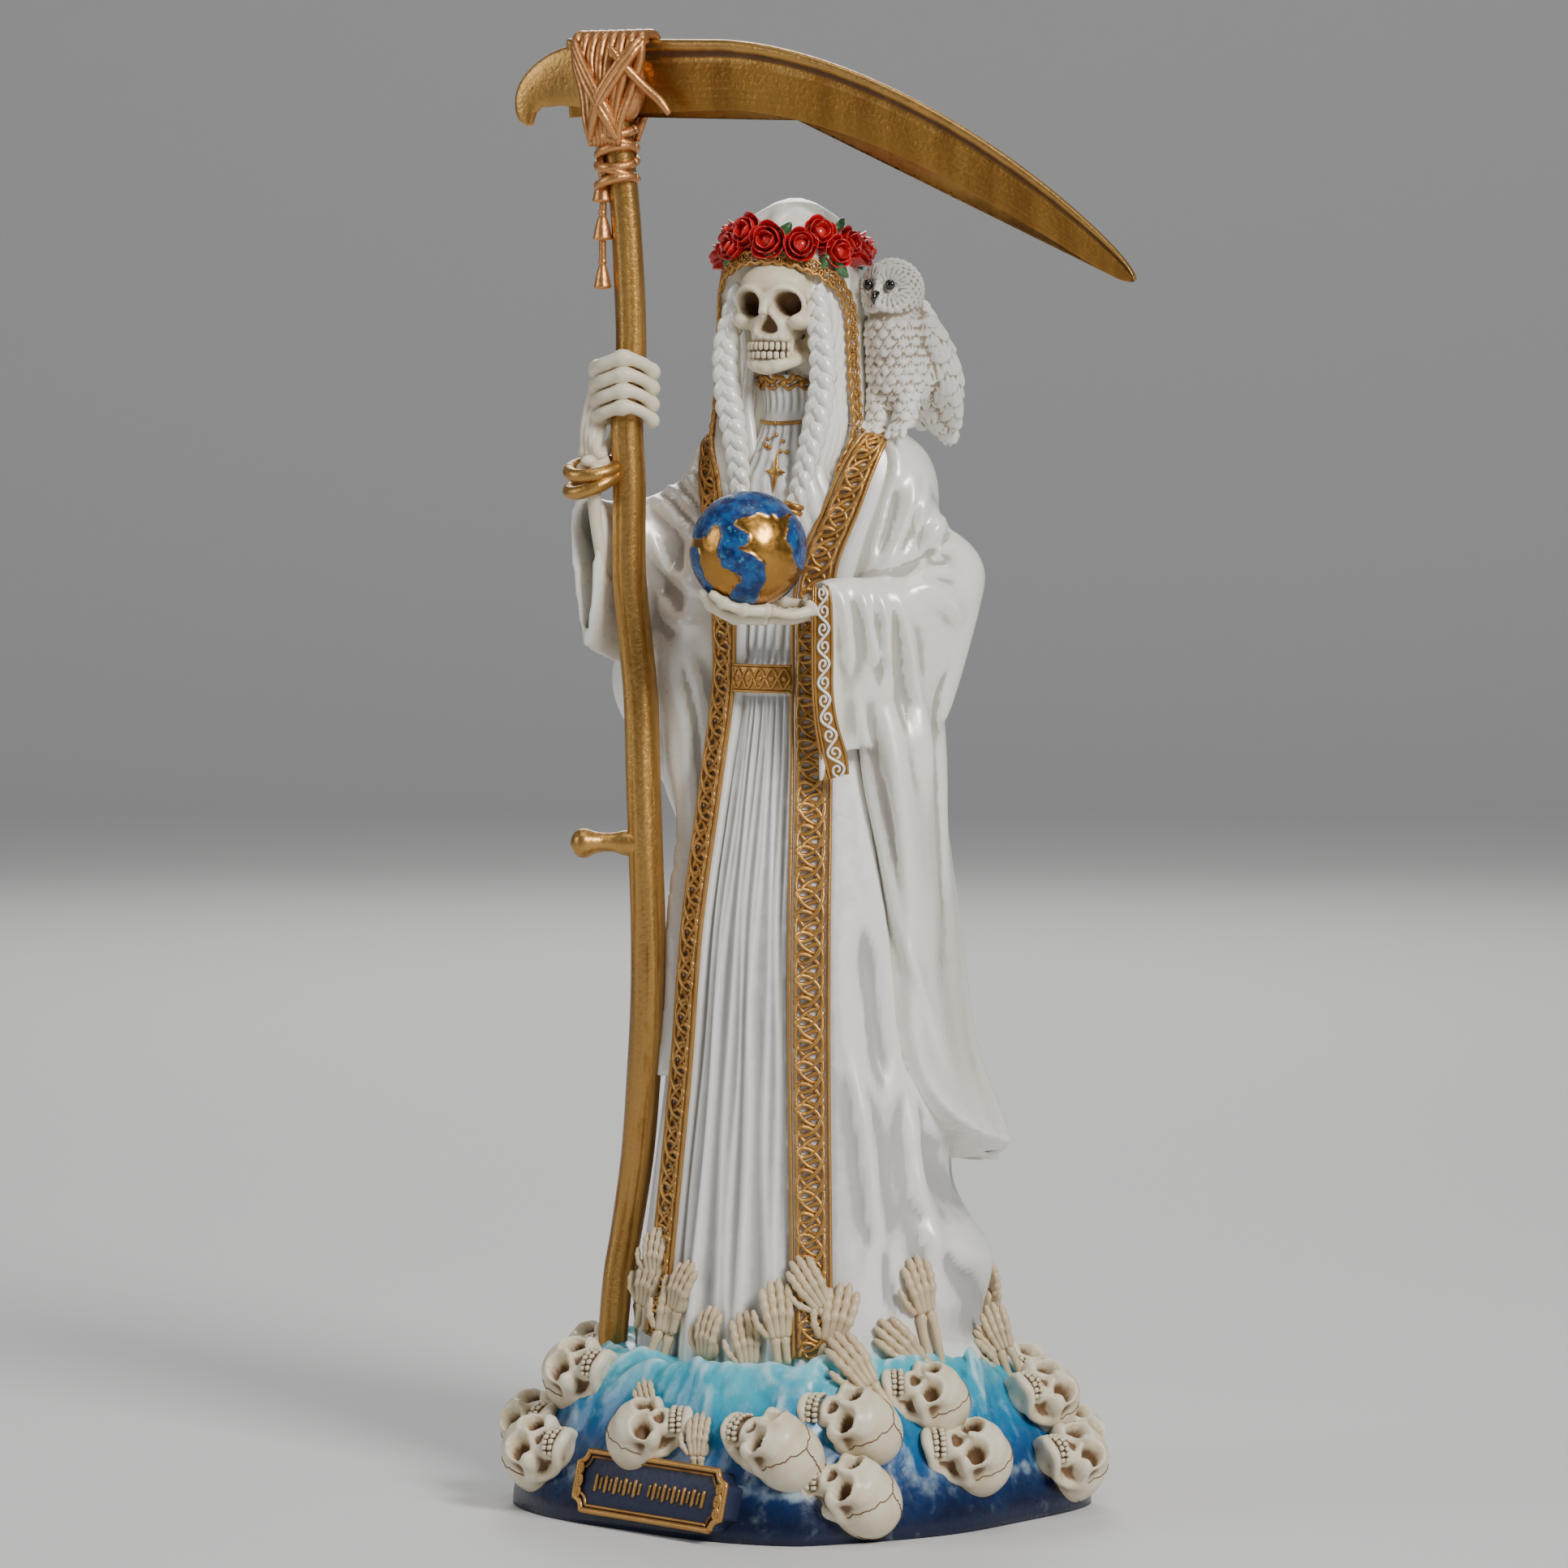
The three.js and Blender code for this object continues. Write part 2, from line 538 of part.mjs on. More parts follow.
// The globe and the open bone hand under it.
const GLOBE_SEAT = at(5, -29, 183.6);
const GLOBE = GLOBE_SEAT.clone().add(new Vector3(0, 0, GLOBE_DIAMETER / 2));
function globeHand() {
  const globe = egg(GLOBE, new Vector3(1, 1, 1).multiplyScalar(GLOBE_DIAMETER / 2), 10, 7);
  const up = new Vector3(0, 0, 1);
  const pieces = [globe];
  pieces.push(rod([at(19, -12, 186), at(14.5, -20, 185.6), at(9.5, -26, 183.6), at(5, -29, 183.2)],
    [2.6 * pose, 2.4 * pose, 4.6 * pose, 4.4 * pose], [2.6, 2, 1.7, 1.5].map((v) => v * pose), 6, up));
  for (let finger = 0; finger < 4; finger++) {
    const spread = radians(-64 + 24 * finger);
    const reach = (distance, z) => GLOBE_SEAT.clone().add(
      new Vector3(distance * sin(spread), -distance * cos(spread), z).multiplyScalar(pose));
    const radii = [1.4, 1.35, 1].map((v) => v * pose);
    const inward = new Vector3(-sin(spread) * 0.4, cos(spread) * 0.4, 1);
    pieces.push(rod([reach(1.5, 0), reach(8, 1), reach(11.4, 6)], radii, radii, 4, inward));
  }
  return joined(pieces);
}

// Points of the shaft's middle from the mound to the head of the scythe.
const SHAFT_PATH = [
  [-34.6, -17.4, 36], [-33.4, -16.4, 44], [-31.8, -15.2, 56], [-29.4, -15, 71], [-27.6, -15.6, 86],
  [-26.4, -16, 100], [-26, -16.3, 116], [-26.3, -16.6, 133], [-27.2, -16.2, 149], [-28, -15.8, 164],
  [-29.4, -15.8, 177], [-30.4, -16.4, 190], [-30.3, -16.4, 207], [-30.7, -16.6, 220],
  [-29.9, -16.1, 235], [-30.3, -16.3, 251], [-31, -16.7, 264], [-32.2, -17.5, 278], [-32.8, -17.8, 289],
].map((point) => at(...point));
const SHAFT_FOOT = SHAFT_PATH[0];
const SHAFT_TOP = SHAFT_PATH[SHAFT_PATH.length - 1];

// The height of the mound under a point, by its share of the way to the rim.
function groundUnder(point) {
  const turn = Math.atan2(point.x, -point.y);
  const reach = hypot(point.x, point.y) / basePlan(turn, 1).length();
  return moundTop(turn, min(1, reach));
}
SHAFT_FOOT.z = groundUnder(SHAFT_FOOT) - 1;

const SHAFT_SHARES = [0.9, 0.92, 0.95, 1, 1.04, 1.06, 1.06, 1.05, 1.05, 1.04, 1.03, 1.02, 1, 0.98, 0.93,
  0.92, 0.9, 0.88, 0.86];

function shaft(extra) {
  const radii = SHAFT_SHARES.map((share) => (share * SHAFT_DIAMETER) / 2 + extra);
  return rod(SHAFT_PATH, radii, radii, 6, new Vector3(0, 1, 0));
}

// The grip: where the hand closes on the shaft, and the directions seen from the finger side.
const GRIP = at(-30.2, -16.3, 227);
const VIEW_TURN = radians(30);
const OUTER = new Vector3(-cos(VIEW_TURN), -sin(VIEW_TURN), 0);
const FACING = new Vector3(sin(VIEW_TURN), -cos(VIEW_TURN), 0);

function gripHand() {
  const pieces = [];
  const finger = 1.65 * pose;
  const ring = SHAFT_DIAMETER / 2 + finger * 0.85;
  const up = new Vector3(0, 0, 1);
  for (let i = 0; i < 4; i++) {
    const level = GRIP.clone().add(new Vector3(0, 0, (4.8 - 3.2 * i) * pose));
    const knuckles = [-35, 30, 95, 160].map((degrees) => {
      const a = radians(degrees);
      return level.clone().addScaledVector(OUTER, ring * cos(a)).addScaledVector(FACING, ring * sin(a));
    });
    const radii = knuckles.map((_, k) => finger * (k === 3 ? 0.7 : 1));
    pieces.push(rod(knuckles, radii, radii, 4, up));
  }
  const wrist = at(-36.2, -20.6, 208);
  const palm = GRIP.clone().addScaledVector(OUTER, ring + 0.2 * pose).addScaledVector(FACING, -1.2 * pose);
  pieces.push(rod(
    [wrist.clone().add(at(-0.8, 4, -7)), wrist, palm.clone().add(at(0, -0.6, -8)), palm, palm.clone().add(at(0, 0, 7))],
    [2.6, 2.5, 3.4, 4.4, 3.2].map((v) => v * pose), [2.4, 2.2, 2.2, 2.4, 1.6].map((v) => v * pose), 6,
    OUTER,
  ));
  const thumb = [-50, -100, -150].map((degrees) => {
    const a = radians(degrees);
    return GRIP.clone().add(at(0, 0, 4)).addScaledVector(OUTER, ring * cos(a)).addScaledVector(FACING, ring * sin(a));
  });
  pieces.push(rod([palm, ...thumb], [1.7, 1.7, 1.6, 1.2].map((v) => v * pose),
    [1.7, 1.7, 1.6, 1.2].map((v) => v * pose), 4, up));
  return joined(pieces);
}

function bracelet() {
  const middle = at(-36.2, -20.8, 209.4);
  const ring = new THREE.TorusGeometry((BRACELET_DIAMETER - BRACELET_WIRE) / 2, BRACELET_WIRE / 2, 4, 9);
  ring.scale(1, 1, 2).rotateY(radians(-12)).rotateX(radians(8));
  return solid(ring.translate(middle.x, middle.y, middle.z));
}

// Skulls on the mound: turn round the base, share of the way to the rim, and side they look to.
const MOUND_SKULLS = [
  [-78, 0.79, 1], [-50, 0.79, 1], [-64, 0.93, 1], [-46, 0.96, 1], [-11, 0.92, 1], [26, 0.91, -1],
  [44, 0.88, -1], [42, 1, -1], [66, 0.85, -1], [74, 0.95, -1], [134, 0.84, -1], [113, 0.85, -1],
  [125, 0.95, -1], [109, 0.98, -1], [165, 0.9, -1], [-146, 0.92, 1],
];
const SKULL_SINK = 0.08; // share of the diameter by which a skull's middle is over the mound
const SKULL_CLEAR = 0.56; // least height of a skull's middle over the underside, as such a share

function moundSkulls() {
  return MOUND_SKULLS.map(([degrees, reach, side], i) => {
    const turn = radians(degrees);
    const out = basePlan(turn, 1).normalize();
    const around = new Vector3(-out.y, out.x, 0).multiplyScalar(side);
    // They lie on their backs in the water, crowns away from the side they look to.
    const front = around.clone().addScaledVector(out, 1.3).add(new Vector3(0, 0, 1.6 + 0.2 * (i % 3)));
    const crown = out.clone().addScaledVector(around, -1.3);
    const middle = onMound(turn, reach, SKULL_DIAMETER * SKULL_SINK);
    middle.z = max(middle.z, SKULL_DIAMETER * SKULL_CLEAR);
    return smallSkull(middle, SKULL_DIAMETER * (i % 4 === 0 ? 0.92 : 1), front, crown);
  });
}

// Bone hands that reach up the hem: turn, height over the mound, lean in degrees, forearm or not.
const HEM_HANDS = [
  [-32, 23, 0, 0], [-19, 15, 24, 0], [-9, 8, 12, 0], [5, 8, 8, 0], [17, 12, -8, 1], [29, 16, -28, 0],
  [39, 9, 14, 1], [57, 4, -40, 1], [67, 14, -12, 0], [112, 8, -18, 1],
];

// The outline of a flat bone hand with four fingers up +Y, its wrist at the bottom.
function handOutline(length, forearm) {
  const wide = length * 0.56;
  const pitch = wide / 4;
  const outline = new THREE.Shape();
  const bottom = forearm ? -1.2 * length : -0.45 * length;
  outline.moveTo(-0.3 * wide, bottom).lineTo(0.3 * wide, bottom).lineTo(wide / 2, 0.05 * length);
  for (let i = 3; i >= 0; i--) {
    const x = (i - 1.5) * pitch;
    outline.lineTo(x * 1.3, length * (0.58 - 0.06 * abs(i - 1.6)));
    if (i > 0) outline.lineTo(x - pitch / 2, 0.14 * length);
  }
  outline.lineTo(-wide / 2, 0.05 * length);
  outline.closePath();
  return outline;
}

// A flat hand laid on a surface at "middle", its back facing "out" and its fingers along "tip".
const HAND_RELIEF = 1.4;
function reachingHand(middle, out, tip, forearm) {
  const hand = new THREE.ExtrudeGeometry(handOutline(HEM_HAND_LENGTH, forearm), {
    depth: 2 * HAND_RELIEF, bevelEnabled: false,
  });
  const across = new Vector3().crossVectors(tip, out).normalize();
  const basis = new THREE.Matrix4().makeBasis(across, tip, new Vector3().crossVectors(across, tip));
  hand.translate(0, 0, -HAND_RELIEF).applyMatrix4(basis.setPosition(middle));
  return solid(hand);
}

function hemHands() {
  return HEM_HANDS.map(([degrees, height, lean, forearm]) => {
    const turn = radians(degrees);
    const z = MOUND_HEIGHT + height;
    const middle = onCoat(turn, z);
    const out = lookFrom(turn);
    const side = new Vector3(cos(turn), sin(turn), 0);
    const climb = onCoat(turn, z + 4).sub(onCoat(turn, z - 4)).normalize();
    const tip = climb.multiplyScalar(cos(radians(lean))).addScaledVector(side, sin(radians(lean)));
    return reachingHand(middle, out, tip, forearm);
  });
}

// The plaque leans on the rim in front: a block with a raised frame and generic strokes.
const PLAQUE_PLACE = radians(-5); // where its middle is on the rim
const PLAQUE_LIFT = 1.4; // of its lower edge over the ground
const PLAQUE_TURN = radians(-14);
const PLAQUE_LEAN = radians(14);
const PLAQUE_STROKES = 6;
function plaque() {
  const block = (width, height, depth) => {
    const corner = height * 0.22;
    const outline = new THREE.Shape();
    const [w, h] = [width / 2, height / 2];
    outline.moveTo(-w + corner, -h).lineTo(w - corner, -h).lineTo(w, -h + corner);
    outline.lineTo(w, h - corner).lineTo(w - corner, h).lineTo(-w + corner, h);
    outline.lineTo(-w, h - corner).lineTo(-w, -h + corner);
    outline.closePath();
    return new THREE.ExtrudeGeometry(outline, { depth, bevelEnabled: false });
  };
  const relief = 0.64 * PLAQUE_FRAME;
  const body = solid(block(PLAQUE_WIDTH, PLAQUE_HEIGHT, PLAQUE_THICKNESS));
  const field = block(PLAQUE_WIDTH - 4 * PLAQUE_FRAME, PLAQUE_HEIGHT - 2 * PLAQUE_FRAME, relief * 2);
  let made = body.subtract(solid(field.translate(0, 0, PLAQUE_THICKNESS - relief)));
  const pitch = (PLAQUE_WIDTH * 0.72) / PLAQUE_STROKES;
  for (let i = 0; i < PLAQUE_STROKES; i++) {
    const stroke = new THREE.BoxGeometry(pitch * 0.55, PLAQUE_HEIGHT * 0.16, relief * 2);
    const x = (i - (PLAQUE_STROKES - 1) / 2) * pitch;
    stroke.translate(x, (i % 2 ? 0.03 : -0.03) * PLAQUE_HEIGHT, PLAQUE_THICKNESS - relief);
    made = made.add(solid(stroke));
  }
  const front = lookFrom(PLAQUE_TURN);
  const normal = front.clone().multiplyScalar(cos(PLAQUE_LEAN)).add(new Vector3(0, 0, sin(PLAQUE_LEAN)));
  const right = new Vector3().crossVectors(new Vector3(0, 0, 1), front).normalize();
  const basis = new THREE.Matrix4().makeBasis(right, new Vector3().crossVectors(normal, right), normal);
  const seat = basePlan(PLAQUE_PLACE, 1).addScaledVector(front, -0.8 * PLAQUE_THICKNESS);
  basis.setPosition(seat.x, seat.y, (PLAQUE_HEIGHT / 2) * cos(PLAQUE_LEAN) + PLAQUE_LIFT);
  const { vertProperties, triVerts } = made.getMesh();
  const geometry = new THREE.BufferGeometry();
  geometry.setAttribute("position", new THREE.BufferAttribute(vertProperties, 3));
  geometry.setIndex(new THREE.BufferAttribute(triVerts, 1));
  return solid(geometry.applyMatrix4(basis));
}

// The blade: an arc whose spine and edge close towards the tip, thick at the spine.
const BLADE_STATIONS = 9;
const DROP_SHARE = 0.327; // how far the tip hangs under the head, as a share of the length
const BEND_SHARE = 0.27; // where the bend starts, as a share of the length
function blade() {
  const start = SHAFT_TOP.clone().add(at(-12, 2.4, 0.5));
  return loft(6, BLADE_STATIONS, (turn, t, spread) => {
    const bend = max(0, (t - BEND_SHARE) / (1 - BEND_SHARE));
    const drop = DROP_SHARE * BLADE_LENGTH;
    const lean = Math.atan2((1.7 * drop * bend ** 0.7) / (1 - BEND_SHARE), BLADE_LENGTH);
    const width = BLADE_WIDTH * (1 - 0.42 * t) * (1 - 0.9 * t ** 6) ** 0.5;
    const across = spread * (width / 2) * sin(turn);
    const thick = BLADE_THICKNESS * (sin(turn) > -0.2 ? 0.5 : 0.2) * (1 - 0.5 * t);
    return new Vector3(
      start.x + t * BLADE_LENGTH + across * sin(lean),
      start.y + 3 * t * pose + spread * thick * cos(turn),
      start.z - drop * bend ** 1.7 + across * cos(lean),
    );
  });
}

// The back of the blade ends in a hook over the lashing.
function bladeHook() {
  const root = SHAFT_TOP.clone().add(at(-6, 2.4, 0.6));
  const half = BLADE_THICKNESS / 2;
  const bend = [[0, 0], [-5, 0.2], [-10, -0.8], [-14.4, -3.4], [-15, -7.6]];
  return rod(
    bend.map(([x, z]) => root.clone().add(at(x, x * 0.06, z))),
    [6.4, 6, 4.6, 3.4, 1.6].map((v) => v * pose), bend.map((_, i) => half * (1 - 0.1 * i)),
    6, new Vector3(0, 1, 0),
  );
}

// Turns of cord that bind the blade to the shaft.
const LASHING_STRANDS = 3;
const LASHING_RINGS = 2;
function lashing() {
  const cord = LASHING_CORD / 2;
  const knot = SHAFT_TOP.clone();
  const pieces = [egg(knot.clone().add(at(0.5, -0.4, -1.6)), at(8, 5, 8.6), 6, 4)];
  for (let i = 0; i < LASHING_STRANDS; i++) {
    const x = (i - (LASHING_STRANDS - 1) / 2) * 3.8;
    const slant = (i % 2 ? 1 : -1) * 1.2;
    const front = -5 * (1 - ((x + slant) / 8) ** 2) ** 0.5;
    const bends = [[x * 0.5, -3.8, -12.5], [x + slant, front, -2], [x, -1.2, 8.2]];
    const radii = bends.map(() => cord);
    pieces.push(rod(bends.map((bend) => knot.clone().add(at(...bend))), radii, radii, 4, at(0, 1, 0.3)));
  }
  for (let i = 0; i < LASHING_RINGS; i++) {
    const ring = new THREE.TorusGeometry(SHAFT_DIAMETER * 0.43, cord, 3, 7);
    const middle = knot.clone().add(at(0.6, 0, -11 - 3 * i));
    ring.rotateY(radians(i % 2 ? 10 : -8));
    pieces.push(solid(ring.translate(middle.x, middle.y, middle.z)));
  }
  return joined(pieces);
}

// A short cord down the shaft with three bells on it.
const BELL_HEIGHTS = [267, 259.5, 250];
const BELL_TURN = -150; // degrees round the shaft
function bells() {
  const beside = new Vector3(cos(radians(BELL_TURN)), sin(radians(BELL_TURN)), 0);
  const cord = LASHING_CORD / 2;
  const middleAt = (height) => at(-31.4, -16.8, height).addScaledVector(beside, SHAFT_DIAMETER / 2 + cord / 2);
  const pieces = [rod([middleAt(277), middleAt(250)], [cord, cord], [cord, cord], 4, new Vector3(0, 1, 0))];
  for (const height of BELL_HEIGHTS) {
    const bell = new THREE.ConeGeometry(BELL_LENGTH * 0.46, BELL_LENGTH, 5);
    const middle = middleAt(height);
    pieces.push(solid(bell.rotateX(PI / 2).translate(middle.x, middle.y, middle.z)));
  }
  return joined(pieces);
}

function peg() {
  const root = at(-26.2, -16.5, 134.5);
  const end = root.clone().addScaledVector(OUTER, SHAFT_DIAMETER / 2 + PEG_LENGTH);
  const r = PEG_DIAMETER / 2;
  const stem = rod([root, end], [r, r], [r, r], 6, new Vector3(0, 0, 1));
  return stem.add(egg(end, new Vector3(r * 1.35, r * 1.35, r * 1.35), 7, 4));
}

// The two castings.
function scythe(extra) {
  return joined([shaft(extra), blade(), bladeHook(), lashing(), bells(), peg()]);
}

function figure() {
  const look = lookFrom(HEAD_TURN);
  const up = new Vector3(0, 0, 1);
  const face = HEAD.clone().add(at(0.9, -5.8, 0.8));
  return joined([
    mound(), coat(), mantle(), sleeve(LEFT_SLEEVE, 12), sleeve(RIGHT_SLEEVE, 12), hood(), collar(),
    skull(face, FACE_DIAMETER, look, up), braid(BRAID_RIGHT), braid(BRAID_LEFT),
    wreath(), owl(), globeHand(), gripHand(), bracelet(),
    plaque(), ...moundSkulls(), ...hemHands(),
  ]);
}

const work = new THREE.Group();
const held = figure().subtract(shaft(GRIP_CLEARANCE)).subtract(scythe(0));
// Air pockets under a hand that lies over a pleat are filled: a casting has none.
const casting = joined(held.decompose().filter((shell) => shell.volume() > 0));
work.add(namedMesh(casting, "figure", { color: 0xeeebe4, roughness: 0.4, metalness: 0 }));
work.add(namedMesh(scythe(0), "scythe", { color: 0xa9722c, roughness: 0.38, metalness: 0.8 }));

export default work;
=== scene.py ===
"""The painted santa muerte figure, dressed round its solids.

Shapes are worked out in millimetres and brought to metres when a piece is put on the figure.
Turns are measured round the figure from its front (-Y) towards its own left (+X).
Left and right are the figure's own, unless the viewer is named.
"""
import math
import random
import bmesh
import bpy
import numpy as np
from mathutils import Matrix, Vector, noise
from mathutils.bvhtree import BVHTree


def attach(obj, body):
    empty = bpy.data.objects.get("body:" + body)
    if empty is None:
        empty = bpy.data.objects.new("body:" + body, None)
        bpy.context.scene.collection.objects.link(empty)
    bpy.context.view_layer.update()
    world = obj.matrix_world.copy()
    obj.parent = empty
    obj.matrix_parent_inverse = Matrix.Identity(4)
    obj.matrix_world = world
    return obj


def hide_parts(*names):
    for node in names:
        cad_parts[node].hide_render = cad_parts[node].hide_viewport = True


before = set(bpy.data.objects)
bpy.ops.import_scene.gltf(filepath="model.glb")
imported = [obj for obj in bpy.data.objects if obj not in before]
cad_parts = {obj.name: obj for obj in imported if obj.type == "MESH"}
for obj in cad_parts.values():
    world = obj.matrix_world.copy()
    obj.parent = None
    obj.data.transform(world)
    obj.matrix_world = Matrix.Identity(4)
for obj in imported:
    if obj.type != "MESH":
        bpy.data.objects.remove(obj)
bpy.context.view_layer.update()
MM = 0.001
PI = math.pi
rad = math.radians
sin, cos = np.sin, np.cos
UP = np.array([0, 0, 1.0])

# ------------ the viewer, the light, the floor

VIEWER_TURN = rad(30)
EYE = np.array([697.32, -1213.95, 235.0])
ACROSS = np.array([cos(VIEWER_TURN), sin(VIEWER_TURN), 0.0])
TOWARDS = np.array([sin(VIEWER_TURN), -cos(VIEWER_TURN), 0.0])
OUTER = -ACROSS
LENS, SENSOR, CAMERA_TILT = 158.95, 36, rad(86.393)
# Where the axis and the ground are in the picture, in its pixels, and how many go to a millimetre.
AXIS_PIXEL, GROUND_PIXEL, PIXELS_PER_MM = 984.7, 1850.75, 6.07
# A line of sight is followed from this far off, for this far.
SIGHT_START, SIGHT_LENGTH = 1000, 800
# Each softbox: place, size, power and colour.
SOFTBOXES = {
    "key_box": ((1.5, -0.7, 1.2), (0.5, 0.7), 38, (1, 0.985, 0.96)),
    "fill_box": ((-1.1, -1.0, 0.75), (0.7, 0.9), 6.5, (0.97, 0.985, 1)),
    "top_box": ((0.1, -0.1, 1.7), (0.8, 0.8), 5.5, (1, 1, 1)),
    "rim_box": ((-0.7, 1.2, 0.9), (0.6, 0.9), 9, (1, 0.98, 0.95)),
}
LIGHT_AIM = (0, 0, 0.15)
SKY_COLOUR, SKY_STRENGTH = (0.72, 0.73, 0.75, 1), 0.16
FLOOR_GREY, FLOOR_ROUGH = 0.66, 0.75


def stand_camera():
    lens = bpy.data.cameras.new("viewer")
    lens.lens = LENS
    lens.sensor_width = SENSOR
    camera = bpy.data.objects.new("viewer", lens)
    camera.location = EYE * MM
    camera.rotation_euler = (CAMERA_TILT, 0, VIEWER_TURN)
    bpy.context.scene.collection.objects.link(camera)
    bpy.context.scene.camera = camera


def light_studio():
    for name, (place, size, power, colour) in SOFTBOXES.items():
        lamp = bpy.data.lights.new(name, "AREA")
        lamp.shape = "RECTANGLE"
        lamp.size, lamp.size_y = size
        lamp.energy = power
        lamp.color = colour
        box = bpy.data.objects.new(name, lamp)
        box.location = place
        aim = Vector(LIGHT_AIM) - Vector(place)
        box.rotation_euler = aim.to_track_quat("-Z", "Y").to_euler()
        bpy.context.scene.collection.objects.link(box)
    world = bpy.data.worlds.new("studio")
    world.use_nodes = True
    sky = world.node_tree.nodes["Background"]
    sky.inputs["Color"].default_value = SKY_COLOUR
    sky.inputs["Strength"].default_value = SKY_STRENGTH
    bpy.context.scene.world = world


def lay_floor():
    """A sheet of paper that runs flat behind the figure and then sweeps up."""
    start, length, flat_end, bend, width = -4.0, 9.0, 1.7, 0.9, 5.0

    def place(a, b):
        run = length * b + start
        turn = np.clip((run - flat_end) / bend, 0, PI / 2)
        back = np.minimum(run, flat_end) + bend * sin(turn)
        rise = bend * (1 - cos(turn)) + np.maximum(0, run - flat_end - bend * PI / 2)
        side = width * (2 * a - 1)
        return ACROSS * side[:, None] - TOWARDS * back[:, None] + UP * rise[:, None]

    mesh = sheet(2, 150, place, closed=False)
    mesh.polygons.foreach_set("use_smooth", [True] * len(mesh.polygons))
    floor = bpy.data.objects.new("floor", mesh)
    bpy.context.scene.collection.objects.link(floor)
    paper = bpy.data.materials.new("paper_floor")
    paper.use_nodes = True
    shade = paper.node_tree.nodes["Principled BSDF"]
    shade.inputs["Base Color"].default_value = (*[FLOOR_GREY] * 3, 1)
    shade.inputs["Roughness"].default_value = FLOOR_ROUGH
    mesh.materials.append(paper)


# ------------ numbers and lines

def soft(value, low, high):
    t = np.clip((value - low) / (high - low), 0, 1)
    return t * t * (3 - 2 * t)


def bump(value, middle, spread):
    return np.exp(-(((value - middle) / spread) ** 2))


def within(value, a, b, c, d):
    """1 from b to c, and 0 before a and after d."""
    return soft(value, a, b) * (1 - soft(value, c, d))


def circle(count):
    return np.linspace(0, 2 * PI, count)


def station(rows, at, column):
    """A value read off rows of (place, value...) with a smooth curve through them."""
    rows = np.asarray(rows, float)
    at = np.asarray(at, float)
    knots = rows[:, 0]
    last = len(rows) - 1
    i = np.clip(np.searchsorted(knots, at, side="right") - 1, 0, last - 1)
    low = np.maximum(np.arange(last + 1) - 1, 0)
    high = np.minimum(np.arange(last + 1) + 1, last)
    slope = (rows[high, column] - rows[low, column]) / (knots[high] - knots[low])
    width = knots[i + 1] - knots[i]
    t = np.clip((at - knots[i]) / width, 0, 1)
    rise = t * t * (3 - 2 * t)
    return (rows[i, column] * (1 - rise) + rows[i + 1, column] * rise
            + width * (slope[i] * t * (1 - t) ** 2 - slope[i + 1] * t * t * (1 - t)))


def unit(rows):
    rows = np.asarray(rows, float)
    return rows / np.maximum(np.linalg.norm(rows, axis=-1, keepdims=True), 1e-9)


def ray(turn, rise=0.0):
    """The way out from the figure's axis at a turn."""
    return np.array([sin(turn), -cos(turn), rise])


def run_along(line):
    """How far along a line each of its points is."""
    return np.concatenate([[0], np.cumsum(np.linalg.norm(np.diff(line, axis=0), axis=1))])


def index_at(share, last):
    return np.rint(share * last).astype(int)


def spread_evenly(points, count):
    """The same line with its points evenly apart."""
    length = run_along(points)
    at = np.linspace(0, length[-1], count)
    return np.stack([np.interp(at, length, points[:, c]) for c in range(points.shape[1])], axis=1)


def line_through(points, count):
    points = np.asarray(points, float)
    rows = np.column_stack([np.arange(len(points)), points])
    at = np.linspace(0, len(points) - 1, count * 6)
    line = np.stack([station(rows, at, c + 1) for c in range(points.shape[1])], axis=1)
    return spread_evenly(line, count)


def from_line(points, line):
    """How far each point is from a line of straight pieces, and how far along it, 0 to 1."""
    best = np.full(len(points), 1e9)
    share = np.zeros(len(points))
    lengths = np.linalg.norm(np.diff(line, axis=0), axis=1)
    whole = lengths.sum()
    run = 0.0
    for a, b, length in zip(line[:-1], line[1:], lengths):
        t = np.clip(((points - a) @ (b - a)) / max(length * length, 1e-9), 0, 1)
        gap = np.linalg.norm(points - a - t[:, None] * (b - a), axis=1)
        nearer = gap < best
        best[nearer] = gap[nearer]
        share[nearer] = (run + t[nearer] * length) / whole
        run += length
    return best, share


def on_board(points):
    """Where the viewer sees a point: across and up on a board that stands on the figure's axis."""
    depth = EYE @ TOWARDS
    scale = depth / (depth - points @ TOWARDS)
    side = EYE @ ACROSS
    up = (points[:, 2] - EYE[2]) * scale + EYE[2]
    return np.stack([(points @ ACROSS - side) * scale + side, up], axis=1)


def from_picture(px, py):
    """Across and up on the board for a place in the picture."""
    return (px - AXIS_PIXEL) / PIXELS_PER_MM, (GROUND_PIXEL - py) / PIXELS_PER_MM


def seen_on(tree, across, up, lift):
    """The point of a surface that the viewer sees at a place on the board, lifted off it."""
    aim = Vector(ACROSS * across + UP * up)
    eye = Vector(EYE)
    way = (aim - eye).normalized()
    hit, normal, _, _ = tree.ray_cast(eye + way * SIGHT_START, way, SIGHT_LENGTH)
    if hit is None:
        return None, None
    if normal.dot(way) > 0:
        normal.negate()
    return np.array(hit + normal * lift), np.array(normal)


# ------------ meshes

SEAM_GAP = 1e-4


def verts_of(mesh):
    flat = np.empty(len(mesh.vertices) * 3, np.float32)
    mesh.vertices.foreach_get("co", flat)
    return flat.reshape(-1, 3).astype(float)


def move_verts(mesh, points):
    mesh.vertices.foreach_set("co", np.asarray(points, np.float32).ravel())
    mesh.update()


def normals_of(mesh):
    flat = np.empty(len(mesh.vertices) * 3, np.float32)
    mesh.vertex_normals.foreach_get("vector", flat)
    return flat.reshape(-1, 3).astype(float)


